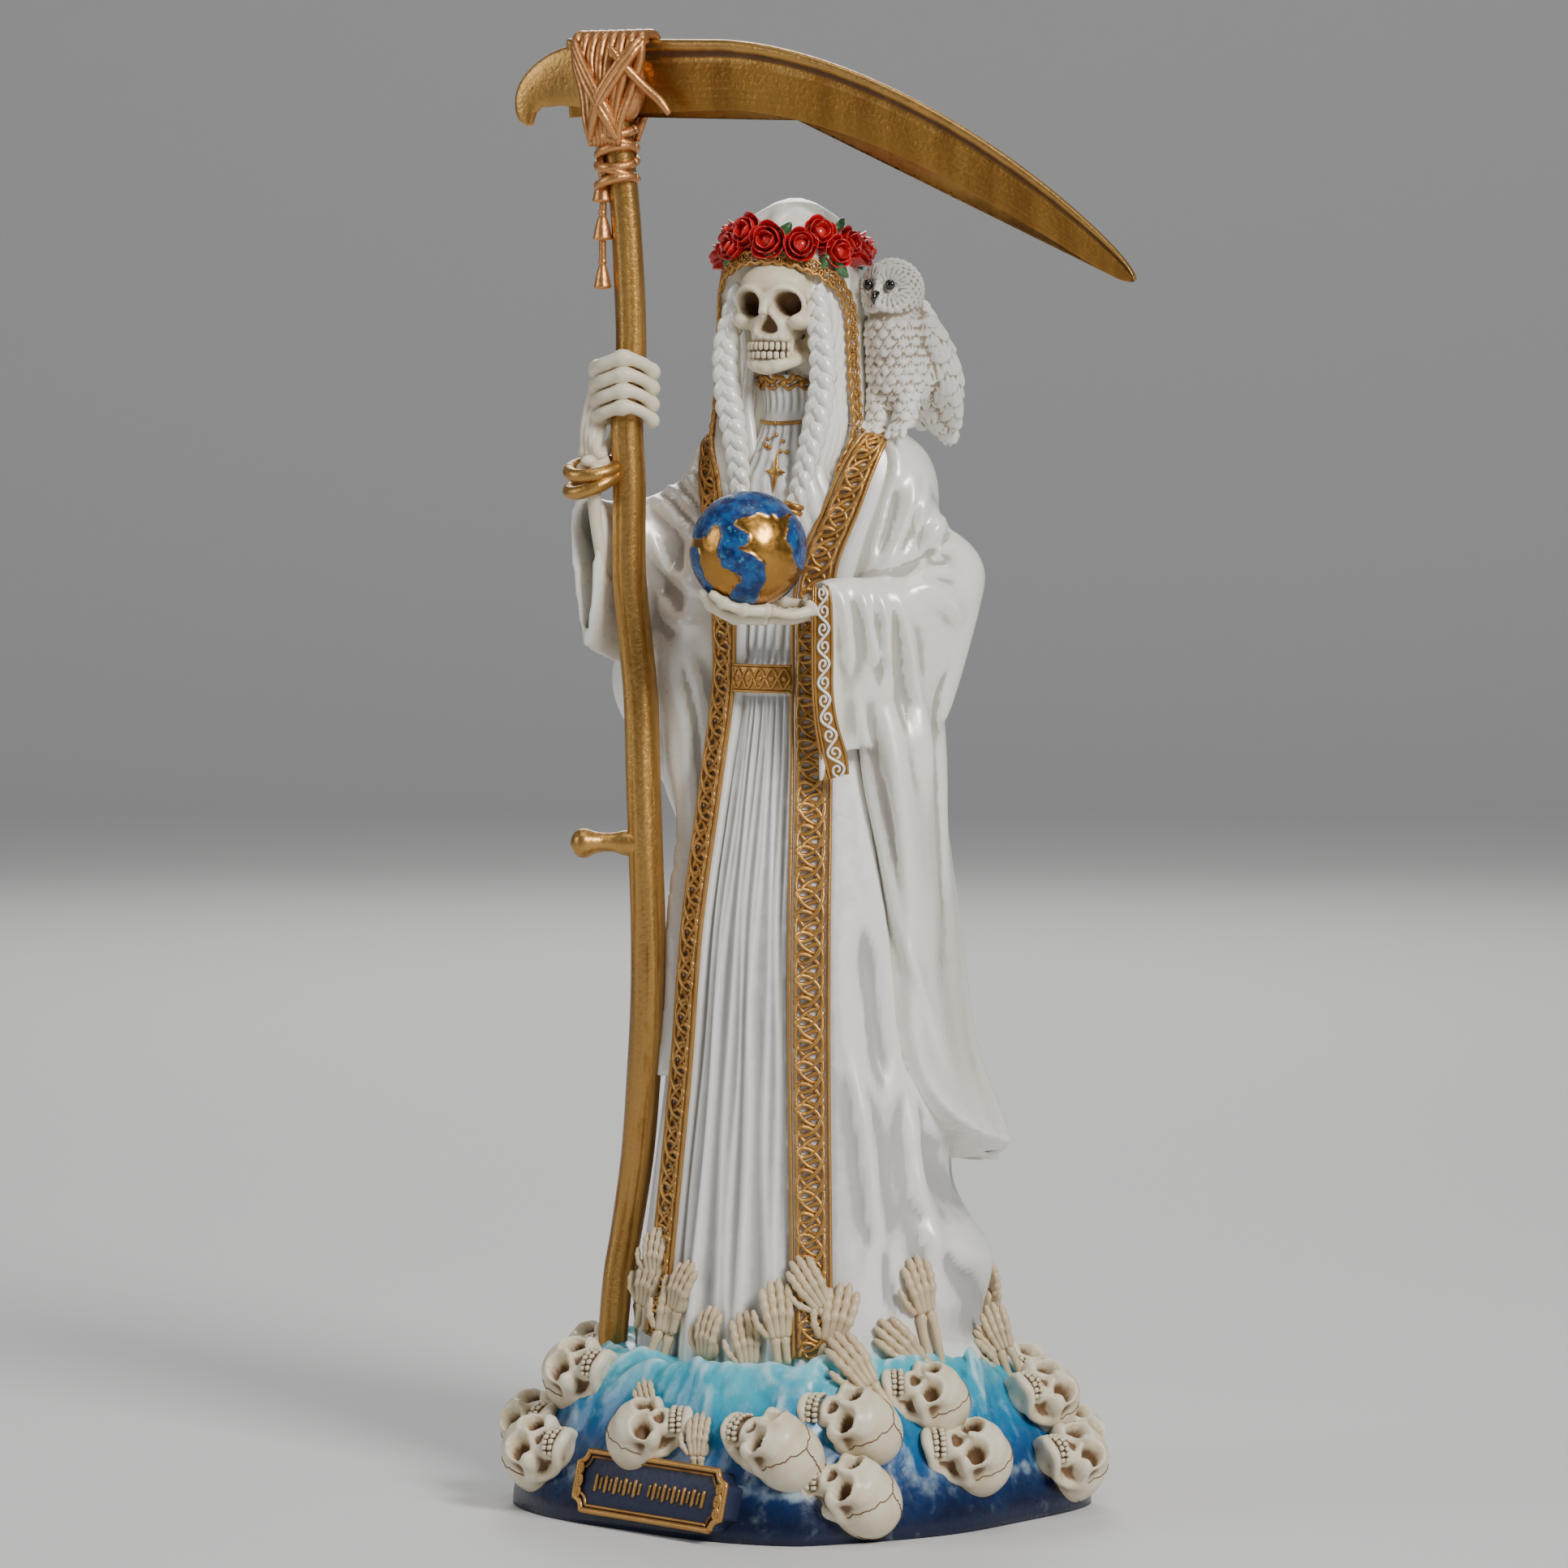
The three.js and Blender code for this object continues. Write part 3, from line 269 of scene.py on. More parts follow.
def closed_up(bm):
    """Seams merged, open ends filled and faces turned outwards."""
    bmesh.ops.remove_doubles(bm, verts=bm.verts, dist=SEAM_GAP)
    rims = [e for e in bm.edges if e.is_boundary]
    if rims:
        bmesh.ops.holes_fill(bm, edges=rims, sides=0)
    bmesh.ops.recalc_face_normals(bm, faces=bm.faces)


def sheet(across, along, place, closed=True):
    """A grid laid out by place(a, b), where a and b run from 0 to 1; its seam and ends are closed."""
    bm = bmesh.new()
    bmesh.ops.create_grid(bm, x_segments=across, y_segments=along, size=0.5)
    mesh = bpy.data.meshes.new("sheet")
    bm.to_mesh(mesh)
    bm.free()
    grid = verts_of(mesh) + 0.5
    move_verts(mesh, place(grid[:, 0], grid[:, 1]))
    bm = bmesh.new()
    bm.from_mesh(mesh)
    if closed:
        closed_up(bm)
    bm.to_mesh(mesh)
    bm.free()
    return mesh


def turned_frames(path, up=None):
    """Directions across and out of a line at each point, without twist."""
    along = unit(np.gradient(path, axis=0))
    start = np.array(UP if up is None else up, float)
    if abs(start @ along[0]) > 0.9:
        start = np.array([1.0, 0, 0]) if abs(along[0][0]) < 0.9 else np.array([0, 1.0, 0])
    out = start - (start @ along[0]) * along[0]
    outs = np.empty_like(path)
    for i, way in enumerate(along):
        out = out - (out @ way) * way
        out = out / max(np.linalg.norm(out), 1e-9)
        outs[i] = out
    return np.cross(along, outs), outs, along


def tube(path, radius, sides, up=None, ribs=0, rib=0.0, twist=0.0):
    """A rod along a line; radius is a number or one for each point; ribs run along it."""
    path = np.asarray(path, float)
    radius = np.broadcast_to(np.asarray(radius, float), (len(path),))
    across, out, _ = turned_frames(path, up)
    last = len(path) - 1

    def place(a, b):
        i = index_at(b, last)
        turn = 2 * PI * a
        swell = 1 + rib * cos(ribs * turn + twist * b)
        reach = (radius[i] * swell)[:, None]
        return path[i] + reach * (cos(turn)[:, None] * across[i] + sin(turn)[:, None] * out[i])

    return sheet(sides, last, place)


def ball(centre=(0, 0, 0), half=(1, 1, 1), basis=None, rings=3):
    """An egg of given half sizes; basis holds its right, back and up directions as columns."""
    bm = bmesh.new()
    bmesh.ops.create_icosphere(bm, subdivisions=rings, radius=1)
    mesh = bpy.data.meshes.new("ball")
    bm.to_mesh(mesh)
    bm.free()
    points = verts_of(mesh) * np.asarray(half, float)
    if basis is not None:
        points = points @ np.asarray(basis, float).T
    move_verts(mesh, points + np.asarray(centre, float))
    return mesh


def gathered(meshes):
    bm = bmesh.new()
    for mesh in meshes:
        bm.from_mesh(mesh)
    whole = bpy.data.meshes.new("gathered")
    bm.to_mesh(whole)
    bm.free()
    for mesh in meshes:
        bpy.data.meshes.remove(mesh)
    return whole


def ring_sums(mesh):
    """A function that gives each vertex the mean of its neighbours' values."""
    pairs = np.empty(len(mesh.edges) * 2, np.int32)
    mesh.edges.foreach_get("vertices", pairs)
    a, b = pairs.reshape(-1, 2).T
    count = len(mesh.vertices)
    degree = np.maximum(np.bincount(a, minlength=count) + np.bincount(b, minlength=count), 1)

    def mean(values):
        columns = [np.bincount(a, values[b, c], count) + np.bincount(b, values[a, c], count)
                   for c in range(values.shape[1])]
        return np.stack(columns, axis=1) / degree[:, None]

    return mean


def relaxed(mesh, rounds, share=0.5):
    mean = ring_sums(mesh)
    points = verts_of(mesh)
    for _ in range(rounds):
        points = points + share * (mean(points) - points)
    move_verts(mesh, points)
    return mesh


def fused(mesh, voxel, rounds):
    """Overlapping closed bodies as one skin."""
    body = bpy.data.objects.new("fused", mesh)
    bpy.context.scene.collection.objects.link(body)
    skin = body.modifiers.new("skin", "REMESH")
    skin.mode = "VOXEL"
    skin.voxel_size = voxel
    skin.adaptivity = 0
    graph = bpy.context.evaluated_depsgraph_get()
    made = bpy.data.meshes.new_from_object(body.evaluated_get(graph))
    bpy.data.objects.remove(body)
    bpy.data.meshes.remove(mesh)
    return relaxed(made, rounds)


def tree_of(mesh):
    bm = bmesh.new()
    bm.from_mesh(mesh)
    tree = BVHTree.FromBMesh(bm)
    bm.free()
    return tree


def keep(mesh, name, values):
    layer = mesh.attributes.get(name) or mesh.attributes.new(name, "FLOAT", "POINT")
    layer.data.foreach_set("value", np.asarray(values, np.float32))


def hollows_of(mesh):
    marks = np.empty(len(mesh.vertices), np.float32)
    mesh.attributes["hollow"].data.foreach_get("value", marks)
    return marks


def wash_and_shade_marked(mesh, rounds, depth):
    """Marks hollows (towards 1) and ridges (towards 0) for the wash, partly painted shade, and the dry
    brush, partly painted highlight.
    """
    mean = ring_sums(mesh)
    points = verts_of(mesh)
    calm = points
    for _ in range(rounds):
        calm = mean(calm)
    sink = ((calm - points) * normals_of(mesh)).sum(axis=1) / depth
    keep(mesh, "hollow", np.clip(0.5 + 0.5 * sink, 0, 1))
    return mesh


def carve(mesh, strokes):
    """Raises (or sinks) long strokes of the gouge, drawn on the board as the viewer sees them."""
    points = verts_of(mesh)
    normals = normals_of(mesh)
    board = on_board(points)
    push = np.zeros(len(points))
    for line, width, height in strokes:
        gap, share = from_line(board, line_through(line, 14))
        taper = within(share, -0.02, 0.3, 0.7, 1.02)
        push += 1.4 * height * np.exp(-(gap / (width * (0.55 + 0.45 * taper))) ** 2) * taper
    shown = soft(normals @ TOWARDS, 0.0, 0.35)
    move_verts(mesh, points + (push * shown)[:, None] * normals)
    return mesh


def put(name, mesh, paint, node="figure"):
    """A finished piece: to metres, painted, and fixed to the figure."""
    mesh.name = name
    mesh.transform(Matrix.Scale(MM, 4))
    mesh.materials.clear()
    mesh.materials.append(paint)
    mesh.polygons.foreach_set("use_smooth", [True] * len(mesh.polygons))
    body = bpy.data.objects.new(name, mesh)
    bpy.context.scene.collection.objects.link(body)
    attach(body, "root")
    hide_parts(node)


# ------------ paints

def node_group(name, inputs, outputs):
    group = bpy.data.node_groups.new(name, "ShaderNodeTree")
    for label, kind, value in inputs:
        socket = group.interface.new_socket(label, in_out="INPUT", socket_type=kind)
        socket.default_value = value
    for label, kind in outputs:
        group.interface.new_socket(label, in_out="OUTPUT", socket_type=kind)
    start = group.nodes.new("NodeGroupInput")
    end = group.nodes.new("NodeGroupOutput")
    return group, start, end


class Bench:
    """Adds nodes to a tree and joins them."""

    def __init__(self, tree):
        self.tree = tree

    def node(self, kind, feeds=(), **settings):
        """A node with its settings; feeds are (socket, value or link) pairs."""
        made = self.tree.nodes.new(kind)
        for key, value in settings.items():
            setattr(made, key, value)
        for label, value in feeds:
            if hasattr(value, "is_linked"):
                self.join(value, made.inputs[label])
            else:
                made.inputs[label].default_value = value
        return made

    def join(self, source, target):
        self.tree.links.new(source, target)

    def coords(self):
        return self.node("ShaderNodeTexCoord").outputs["Object"]

    def marks(self, name):
        return self.node("ShaderNodeAttribute", attribute_name=name).outputs["Fac"]

    def noise(self, coords, scale, detail, rough):
        feeds = [("Vector", coords), ("Scale", scale), ("Detail", detail), ("Roughness", rough)]
        return self.node("ShaderNodeTexNoise", feeds).outputs["Fac"]

    def ramp(self, value, low, high, kind="SMOOTHSTEP"):
        feeds = [("Value", value), ("From Min", low), ("From Max", high)]
        return self.node("ShaderNodeMapRange", feeds, interpolation_type=kind).outputs["Result"]

    def maths(self, operation, *values):
        return self.node("ShaderNodeMath", enumerate(values), operation=operation).outputs[0]

    def mix(self, share, a, b):
        a, b = (value if hasattr(value, "is_linked") else (*value, 1) for value in (a, b))
        return self.node("ShaderNodeMix", [(0, share), (6, a), (7, b)], data_type="RGBA").outputs[2]


def make_wash_shade_and_highlight_group():
    """Paint with a thin wash of a deeper colour left in the hollows, partly painted shade, and a
    lighter brush over the ridges, partly painted highlight.
    """
    group, start, end = node_group("wash_shade_and_highlight",
                                   [("Paint", "NodeSocketColor", (0.8, 0.8, 0.8, 1)),
                                    ("Wash And Shade", "NodeSocketColor", (0.1, 0.06, 0.03, 1)),
                                    ("Brush", "NodeSocketColor", (1, 1, 1, 1)),
                                    ("Hollow", "NodeSocketFloat", 0.5),
                                    ("Wash Amount", "NodeSocketFloat", 0.8),
                                    ("Brush Amount", "NodeSocketFloat", 0.3),
                                    ("Patch Size", "NodeSocketFloat", 300.0)],
                                   [("Color", "NodeSocketColor"), ("Hollow Mask", "NodeSocketFloat")])
    b = Bench(group)
    given = start.outputs
    patch = b.noise(b.coords(), given["Patch Size"], 4, 0.5)
    shifted = b.maths("ADD", given["Hollow"], b.maths("MULTIPLY_ADD", patch, 0.5, -0.25))
    hollow = b.maths("MULTIPLY", b.ramp(shifted, 0.52, 0.98), given["Wash Amount"])
    ridge = b.maths("MULTIPLY", b.ramp(shifted, 0.46, 0.12), given["Brush Amount"])
    brushed = b.mix(ridge, given["Paint"], given["Brush"])
    b.join(b.mix(hollow, brushed, given["Wash And Shade"]), end.inputs["Color"])
    b.join(hollow, end.inputs["Hollow Mask"])
    return group


def make_blotch_group():
    """A slow drift between two close colours, as in hand-brushed paint."""
    group, start, end = node_group("brushed_blotches",
                                   [("First", "NodeSocketColor", (0.8, 0.8, 0.8, 1)),
                                    ("Second", "NodeSocketColor", (0.7, 0.7, 0.7, 1)),
                                    ("Size", "NodeSocketFloat", 60.0),
                                    ("Stretch", "NodeSocketVector", (1, 1, 0.3))],
                                   [("Color", "NodeSocketColor"), ("Height", "NodeSocketFloat")])
    b = Bench(group)
    given = start.outputs
    stretched = b.node("ShaderNodeVectorMath", [(0, b.coords()), (1, given["Stretch"])],
                       operation="MULTIPLY")
    broad = b.noise(stretched.outputs[0], given["Size"], 5, 0.5)
    b.join(b.mix(b.ramp(broad, 0.3, 0.7), given["First"], given["Second"]), end.inputs["Color"])
    b.join(broad, end.inputs["Height"])
    return group


WASH_SHADE_AND_HIGHLIGHT = make_wash_shade_and_highlight_group()
BLOTCH = make_blotch_group()


def paint(name, first, second, wash, brush, wash_and_shade_amount=0.8, brushed=0.3, rough=0.35, metal=0.0, coat=0.0,
          grain=0.15, grain_size=900.0, size=60.0, stretch=(1, 1, 0.3), patch=300.0, tint=None,
          shine=0.5):
    """A cast-resin paint: blotchy colour, wash in the hollows that is partly painted shade, dry brush
    on the ridges that is partly painted highlight, fine grain.
    """
    made = bpy.data.materials.new(name)
    made.use_nodes = True
    b = Bench(made.node_tree)
    shade = made.node_tree.nodes["Principled BSDF"]
    blotch = b.node("ShaderNodeGroup",
                    [("First", (*first, 1)), ("Second", (*second, 1)), ("Size", size),
                     ("Stretch", stretch)], node_tree=BLOTCH)
    colour = tint(b, blotch.outputs["Color"]) if tint else blotch.outputs["Color"]
    # The wash in the hollows is partly painted shade; the dry brush on the ridges is partly painted
    # highlight.
    wash_and_shade_node = b.node("ShaderNodeGroup", [
        ("Paint", colour), ("Wash And Shade", (*wash, 1)), ("Brush", (*brush, 1)), ("Hollow", b.marks("hollow")),
        ("Wash Amount", wash_and_shade_amount), ("Brush Amount", brushed), ("Patch Size", patch),
    ], node_tree=WASH_SHADE_AND_HIGHLIGHT)
    b.join(wash_and_shade_node.outputs["Color"], shade.inputs["Base Color"])
    grit = b.noise(b.coords(), grain_size, 4, 0.55)
    drift = b.maths("MULTIPLY_ADD", b.ramp(grit, 0.2, 0.8), 0.16, rough - 0.08)
    b.join(b.maths("MULTIPLY_ADD", wash_and_shade_node.outputs["Hollow Mask"], 0.25, drift), shade.inputs["Roughness"])
    if metal > 0:
        worn = b.maths("MULTIPLY_ADD", wash_and_shade_node.outputs["Hollow Mask"], -0.6 * metal, metal)
        b.join(worn, shade.inputs["Metallic"])
    shade.inputs["Specular IOR Level"].default_value = shine
    shade.inputs["Coat Weight"].default_value = coat
    shade.inputs["Coat Roughness"].default_value = 0.12
    height = b.maths("MULTIPLY_ADD", blotch.outputs["Height"], 0.6, grit)
    relief = b.node("ShaderNodeBump", [("Strength", grain), ("Distance", 0.0004), ("Height", height)])
    b.join(relief.outputs["Normal"], shade.inputs["Normal"])
    return made


# In each paint the third colour is a wash for the hollows, partly painted shade, and the fourth a dry
# brush for the ridges, partly painted highlight.
PEARL = paint("pearl_white", (0.88, 0.85, 0.755), (0.82, 0.785, 0.685), (0.36, 0.33, 0.29),
              (0.96, 0.945, 0.89), brushed=0.6, rough=0.31, metal=0.12, coat=0.35, grain=0.1,
              grain_size=500)
GOWN_WHITE = paint("gown_white", (0.77, 0.76, 0.725), (0.7, 0.69, 0.655), (0.33, 0.325, 0.32),
                   (0.95, 0.945, 0.92), wash_and_shade_amount=0.7, brushed=0.7, rough=0.36, metal=0.1, coat=0.25,
                   grain=0.12, grain_size=500)
GOLD = paint("old_gold", (0.4, 0.2, 0.042), (0.25, 0.11, 0.02), (0.07, 0.026, 0.007),
             (0.74, 0.45, 0.15), wash_and_shade_amount=0.9, brushed=0.4, rough=0.34, metal=0.85, grain=0.3,
             grain_size=1200, stretch=(1, 1, 0.12), size=150)
TRIM_GOLD = paint("trim_gold", (0.42, 0.205, 0.045), (0.3, 0.13, 0.025), (0.08, 0.03, 0.01),
                  (0.78, 0.48, 0.17), wash_and_shade_amount=0.9, rough=0.36, metal=0.75, grain=0.3, grain_size=1500,
                  stretch=(1, 1, 1), size=200)
COPPER = paint("lashing_copper", (0.46, 0.185, 0.05), (0.35, 0.12, 0.03), (0.08, 0.02, 0.007),
               (0.85, 0.45, 0.19), wash_and_shade_amount=0.9, brushed=0.4, rough=0.33, metal=0.8, grain=0.3,
               grain_size=1500)
BONE = paint("bone_cream", (0.76, 0.68, 0.5), (0.66, 0.555, 0.37), (0.15, 0.07, 0.026),
             (0.93, 0.89, 0.78), wash_and_shade_amount=0.95, brushed=0.25, rough=0.38, coat=0.08, grain=0.2,
             stretch=(1, 1, 1), size=140, shine=0.35)


stand_camera()
light_studio()
lay_floor()

# ------------ the coat, gown and mantle

COAT = [
    (20, 6, 37.5, 37), (33, 6, 36.5, 36), (48, 6, 35, 35), (74, 6, 31.5, 32.5), (90, 6, 29.5, 31),
    (119, 5.5, 26.5, 28), (145, 5, 23, 23), (168, 4, 19.5, 18.5), (180, 4, 20.5, 18),
    (195, 4.5, 24, 17), (207, 5, 25.5, 15.5), (214, 4.5, 23.5, 13.5), (218, 3, 19, 12),
    (222, 1, 11.5, 10), (226, -1, 7.5, 7.5),
]
OPENING = [(20, 18.5), (48, 17), (90, 14.4), (119, 13.1), (150, 11), (168, 9.8), (190, 10.5),
           (203, 14.5), (216, 18)]
MANTLE_EDGES = [
    (70, 128, -44), (78, 92, -44), (86, 76, -45), (96, 70, -47), (119, 68, -50), (163, 56, -56),
    (185, 50, -50), (205, 56, -56), (216, 66, -66),
]
MANTLE_HEM = [(-180, 66), (-125, 78), (-85, 86), (-44, 87), (44, 87), (80, 77), (118, 71), (150, 67),
              (180, 66)]
FLAP_EDGE = [(60, 64), (78, 61), (84, 53), (112, 47.5), (128, 43), (160, 41), (200, 40)]
BAND_WIDTH = 7.6
MANTLE_WALL = 1.7


def band_turn(z):
    return np.arcsin(np.minimum(0.95, station(OPENING, z, 1) / station(COAT, z, 2)))


def band_half(z):
    return BAND_WIDTH / 2 / station(COAT, z, 2)


def mantle_edge(turn, z):
    """The angle from the front to the mantle's front edge, on the side of a turn."""
    degrees = np.where(turn > 0, station(MANTLE_EDGES, z, 1), station(MANTLE_EDGES, z, 2))
    return np.radians(np.abs(degrees))


def mantle_cover(turn, z):
    edge = mantle_edge(turn, z)
    return soft(np.abs(turn), edge - rad(3.2), edge + rad(0.6))


def mantle_hem(turn):
    return station(MANTLE_HEM, np.degrees(turn), 1) + 0.7 * sin(5 * turn)


# Pleats of the gown: places at the belt and at the hem (-1 and 1 are the bands), top, width, height.
GOWN_PLEATS = [
    (-0.86, -0.8, 170, 0.07, 0.9), (-0.66, -0.5, 168, 0.06, 1.0), (-0.44, -0.6, 166, 0.045, 0.6),
    (-0.3, -0.16, 169, 0.06, 1.15), (-0.1, 0.02, 167, 0.045, 0.7), (0.08, 0.3, 169, 0.06, 1.1),
    (0.28, 0.16, 166, 0.04, 0.5), (0.44, 0.62, 168, 0.055, 0.9), (0.66, 0.78, 168, 0.05, 0.8),
    (0.86, 0.9, 166, 0.05, 0.6),
]


def gown_relief(share, z):
    """Pleats that fan out under the belt and gathers above it; share is -1 to 1 between the bands."""
    down = 1 - soft(z, 40, 168)
    sum_up = np.zeros_like(z)
    for top_place, low_place, top, width, height in GOWN_PLEATS:
        place = top_place + (low_place - top_place) * (1 - np.clip((z - 33) / 134, 0, 1)) ** 0.8
        place = place + 0.03 * sin(z * 0.09 + 9 * top_place)
        spread = width * (1.15 + 1.3 * down)
        crest = np.exp(-np.abs((share - place) / spread) ** 1.5)
        sum_up += 1.3 * height * (0.55 + 0.8 * down) * crest * (1 - soft(z, top - 4, top + 1))
    gathers = 0.42 * sin(share * 17 + 1.5 * sin(z * 0.12)) * within(z, 173, 176, 182, 186)
    tight = 0.25 * cos(share * 26) * bump(z, 160, 12)
    belt = 0.9 * within(z, 165.2, 165.9, 171.6, 172.3)
    chest = 0.25 * cos(share * 9 + 0.02 * z) * within(z, 188, 196, 212, 216)
    return sum_up + gathers + tight + belt + chest


def coat_relief(turn, z):
    band = band_turn(z)
    half = band_half(z)
    inside = 1 - soft(np.abs(turn), band - half * 1.12, band - half * 0.98)
    on_band = (1 - inside) * (1 - soft(np.abs(turn), band + half * 0.98, band + half * 1.12))
    gown = gown_relief(np.clip(turn / np.maximum(band - half, 0.05), -1, 1), z)
    shoulder = 1 - soft(z, 190, 212)
    degrees = np.degrees(turn)
    edge = station(FLAP_EDGE, np.clip(degrees, 60, 200), 1)
    pocket = -5 * bump(degrees, 118, 40) * within(z, 56, 63, 63, 96)
    under = 1 - soft(z, edge - 7.0, edge + 1.0)
    flap = 3.4 * bump(degrees, 108, 34) * bump(z, edge + 2.5, 6)
    below = -4.2 * bump(degrees, 112, 30) * under * soft(z, 30, 40)
    folds = 0.8 * sin(turn * 11 + z * 0.012) * soft(np.abs(degrees), 95, 130)
    hidden = mantle_cover(turn, z) * soft(z, mantle_hem(turn) + 6, mantle_hem(turn) + 14)
    outside = (pocket + flap + below + folds) * (1 - inside) * (1 - on_band)
    return inside * (gown - 1.6) + 0.5 * on_band + outside * shoulder - 2 * hidden * shoulder


def on_robe(turn, z, out):
    """A place round the robed body, out from the coat's plain section."""
    return np.stack([
        (station(COAT, z, 2) + out) * sin(turn),
        station(COAT, z, 1) - (station(COAT, z, 3) + out) * cos(turn),
        z,
    ], axis=-1)


def on_coat(turn, z, lift=0.0, plain=False):
    turn, z = np.broadcast_arrays(np.asarray(turn, float), np.asarray(z, float))
    return on_robe(turn, z, lift + (0.5 if plain else coat_relief(turn, z)))


def coat_turns(share, z):
    """Facet places round the coat: close over the gown and the bands, wide behind."""
    inner = band_turn(z) - band_half(z)
    outer = band_turn(z) + band_half(z)
    lip = 0.12 * band_half(z)
    stops = [np.zeros_like(z), inner - lip, inner, outer, outer + lip, np.full_like(z, rad(150)),
             np.full_like(z, PI)]
    marks = [0, 0.3, 0.315, 0.375, 0.39, 0.9, 1.0]
    size = np.abs(share)
    turn = np.zeros_like(z)
    for low, high, a, b in zip(marks[:-1], marks[1:], stops[:-1], stops[1:]):
        on = (size >= low) & (size <= high)
        f = (size - low) / (high - low)
        turn = np.where(on, a + (b - a) * f, turn)
    return turn * np.sign(share)


COAT_STROKES = [
    ([(10.5, 93), (14, 70), (17, 38)], 1.5, 1.3),
    ([(13, 120), (15.5, 100), (17.5, 82)], 2.6, -1.7),
    ([(22.1, 88), (22.8, 73), (24.1, 63.4), (25.6, 59.6), (27.9, 44), (31.7, 36)], 1.6, 1.7),
    ([(26, 58), (28.4, 54.4), (32.7, 50.7), (38.6, 47.4)], 2.5, 1.5),
    ([(27, 53), (31, 48.4), (37.5, 43.6)], 2.6, -1.5),
    ([(26, 78), (28.5, 68), (33, 62)], 3, -0.9),
    ([(22, 60), (27.5, 50), (33, 38)], 1.4, 0.9),
    ([(13.5, 60), (17.5, 46), (20.5, 36)], 1.6, -0.9),
    ([(-27.5, 84), (-28.5, 60), (-30, 40)], 1.2, 0.7),
]


def build_coat():
    foot, top = 14, 226

    def place(a, b):
        z = foot + (top - foot) * (b * 0.9 + 0.1 * b * b)
        return on_coat(coat_turns(2 * a - 1, z), z)

    mesh = sheet(264, 190, place)
    # the lobe under the mantle's tip is smoothed before and after its strokes
    across, up = on_board(verts_of(mesh)).T
    lobe = soft(across, 24, 28) * within(up, 32, 36, 66, 74)
    share = 0.5 * lobe[:, None]
    return relaxed(carve(relaxed(mesh, 26, share), COAT_STROKES), 12, share)


def mantle_radius(turn, z):
    covered = mantle_cover(turn, z)
    degrees = np.degrees(turn)

    def side(middle, spread):
        return bump(degrees, middle, spread)

    flare = 5.4 * side(116, 34) * bump(z, 73, 14)
    sleeve_fall = 6 * side(95, 28) * bump(z, 165, 24) + 6.5 * side(62, 19) * bump(z, 156, 30)
    right_fall = 22 * side(-82, 23) * bump(z, 168, 21)
    back = 3 * (side(180, 50) + side(-180, 50)) * bump(z, 150, 60)
    behind = soft(np.abs(degrees), 95, 135)
    folds = 1.1 * sin(turn * 9 + z * 0.02) * (1 - soft(z, 185, 208)) * (0.35 + 0.65 * behind)
    folds = folds + 0.7 * behind * sin(turn * 17 - z * 0.03) * (1 - soft(z, 165, 200))
    roll = 0.6 * bump(np.abs(turn) - mantle_edge(turn, z), rad(2.2), rad(2.4))
    out = 1.8 + flare + sleeve_fall + right_fall + back + folds + roll
    under = -4.5 - 11 * bump(z, 78, 22) * (turn > 0)
    return covered * out + under * (1 - covered)


def on_mantle(turn, z):
    return on_robe(turn, z, mantle_radius(turn, z))


def mantle_body():
    def place(a, b):
        turn = PI * (2 * a - 1)
        hem = mantle_hem(turn)
        inside = np.clip((0.16 - b) / 0.16, 0, 1)
        up = np.clip((b - 0.18) / 0.82, 0, 1)
        z = hem + 24 * inside + (219 - hem) * up
        side = on_mantle(turn + 0.008, z) - on_mantle(turn - 0.008, z)
        rise = on_mantle(turn, z + 0.3) - on_mantle(turn, z - 0.3)
        wall = np.where(b < 0.17, MANTLE_WALL, 0.0)
        return on_mantle(turn, z) - wall[:, None] * unit(np.cross(side, rise))

    return sheet(260, 170, place)


LEFT_SLEEVE = [
    (14, 5, 207, 9, 9, 14), (22, 6, 202, 8.5, 9, 18), (28.5, 10, 188, 8, 9, 27),
    (25, -5, 184, 6.5, 6, 28), (18.5, -15, 185.4, 4.4, 4, 32), (15.5, -19.5, 186, 3.6, 3, 39),
]
RIGHT_SLEEVE = [(-14, 5, 207, 9, 9, 14), (-24, 3, 202, 8.5, 9, 20), (-32, -4, 196, 7, 9, 26),
                (-37, -12, 196, 5.5, 8, 25), (-39.5, -19.5, 199, 4.5, 7, 24.5)]


def sleeve_body(stations, wall, open_from):
    """A hanging sleeve with a mouth that is open from a share of its length to its end."""
    rows = [(i, *row) for i, row in enumerate(stations)]
    last = len(stations) - 1

    def place(a, b):
        outer = 0.6
        inside = b > outer
        t = np.where(inside, 1 - (1 - open_from) * (b - outer) / (1 - outer), b / outer)
        along = t * last
        value = [station(rows, along, c) for c in range(1, 7)]
        ahead = np.minimum(along + 0.05, last)
        before = np.maximum(along - 0.05, 0)
        dx = station(rows, ahead, 1) - station(rows, before, 1)
        dy = station(rows, ahead, 2) - station(rows, before, 2)
        length = np.maximum(np.hypot(dx, dy), 1e-6)
        turn = 2 * PI * a
        rise = np.where(sin(turn) > 0, value[4], value[5])
        narrow = 1 - (0.62 - 0.27 * soft(t, 0.78, 0.95)) * np.maximum(0, -sin(turn))
        thin = np.where(inside, wall, 0.0)
        wide = np.maximum(value[3] * narrow - thin, 0.3) * cos(turn)
        return np.stack([value[0] - wide * dy / length, value[1] + wide * dx / length,
                         value[2] + (rise - thin) * sin(turn)], axis=-1)

    return sheet(72, 110, place)


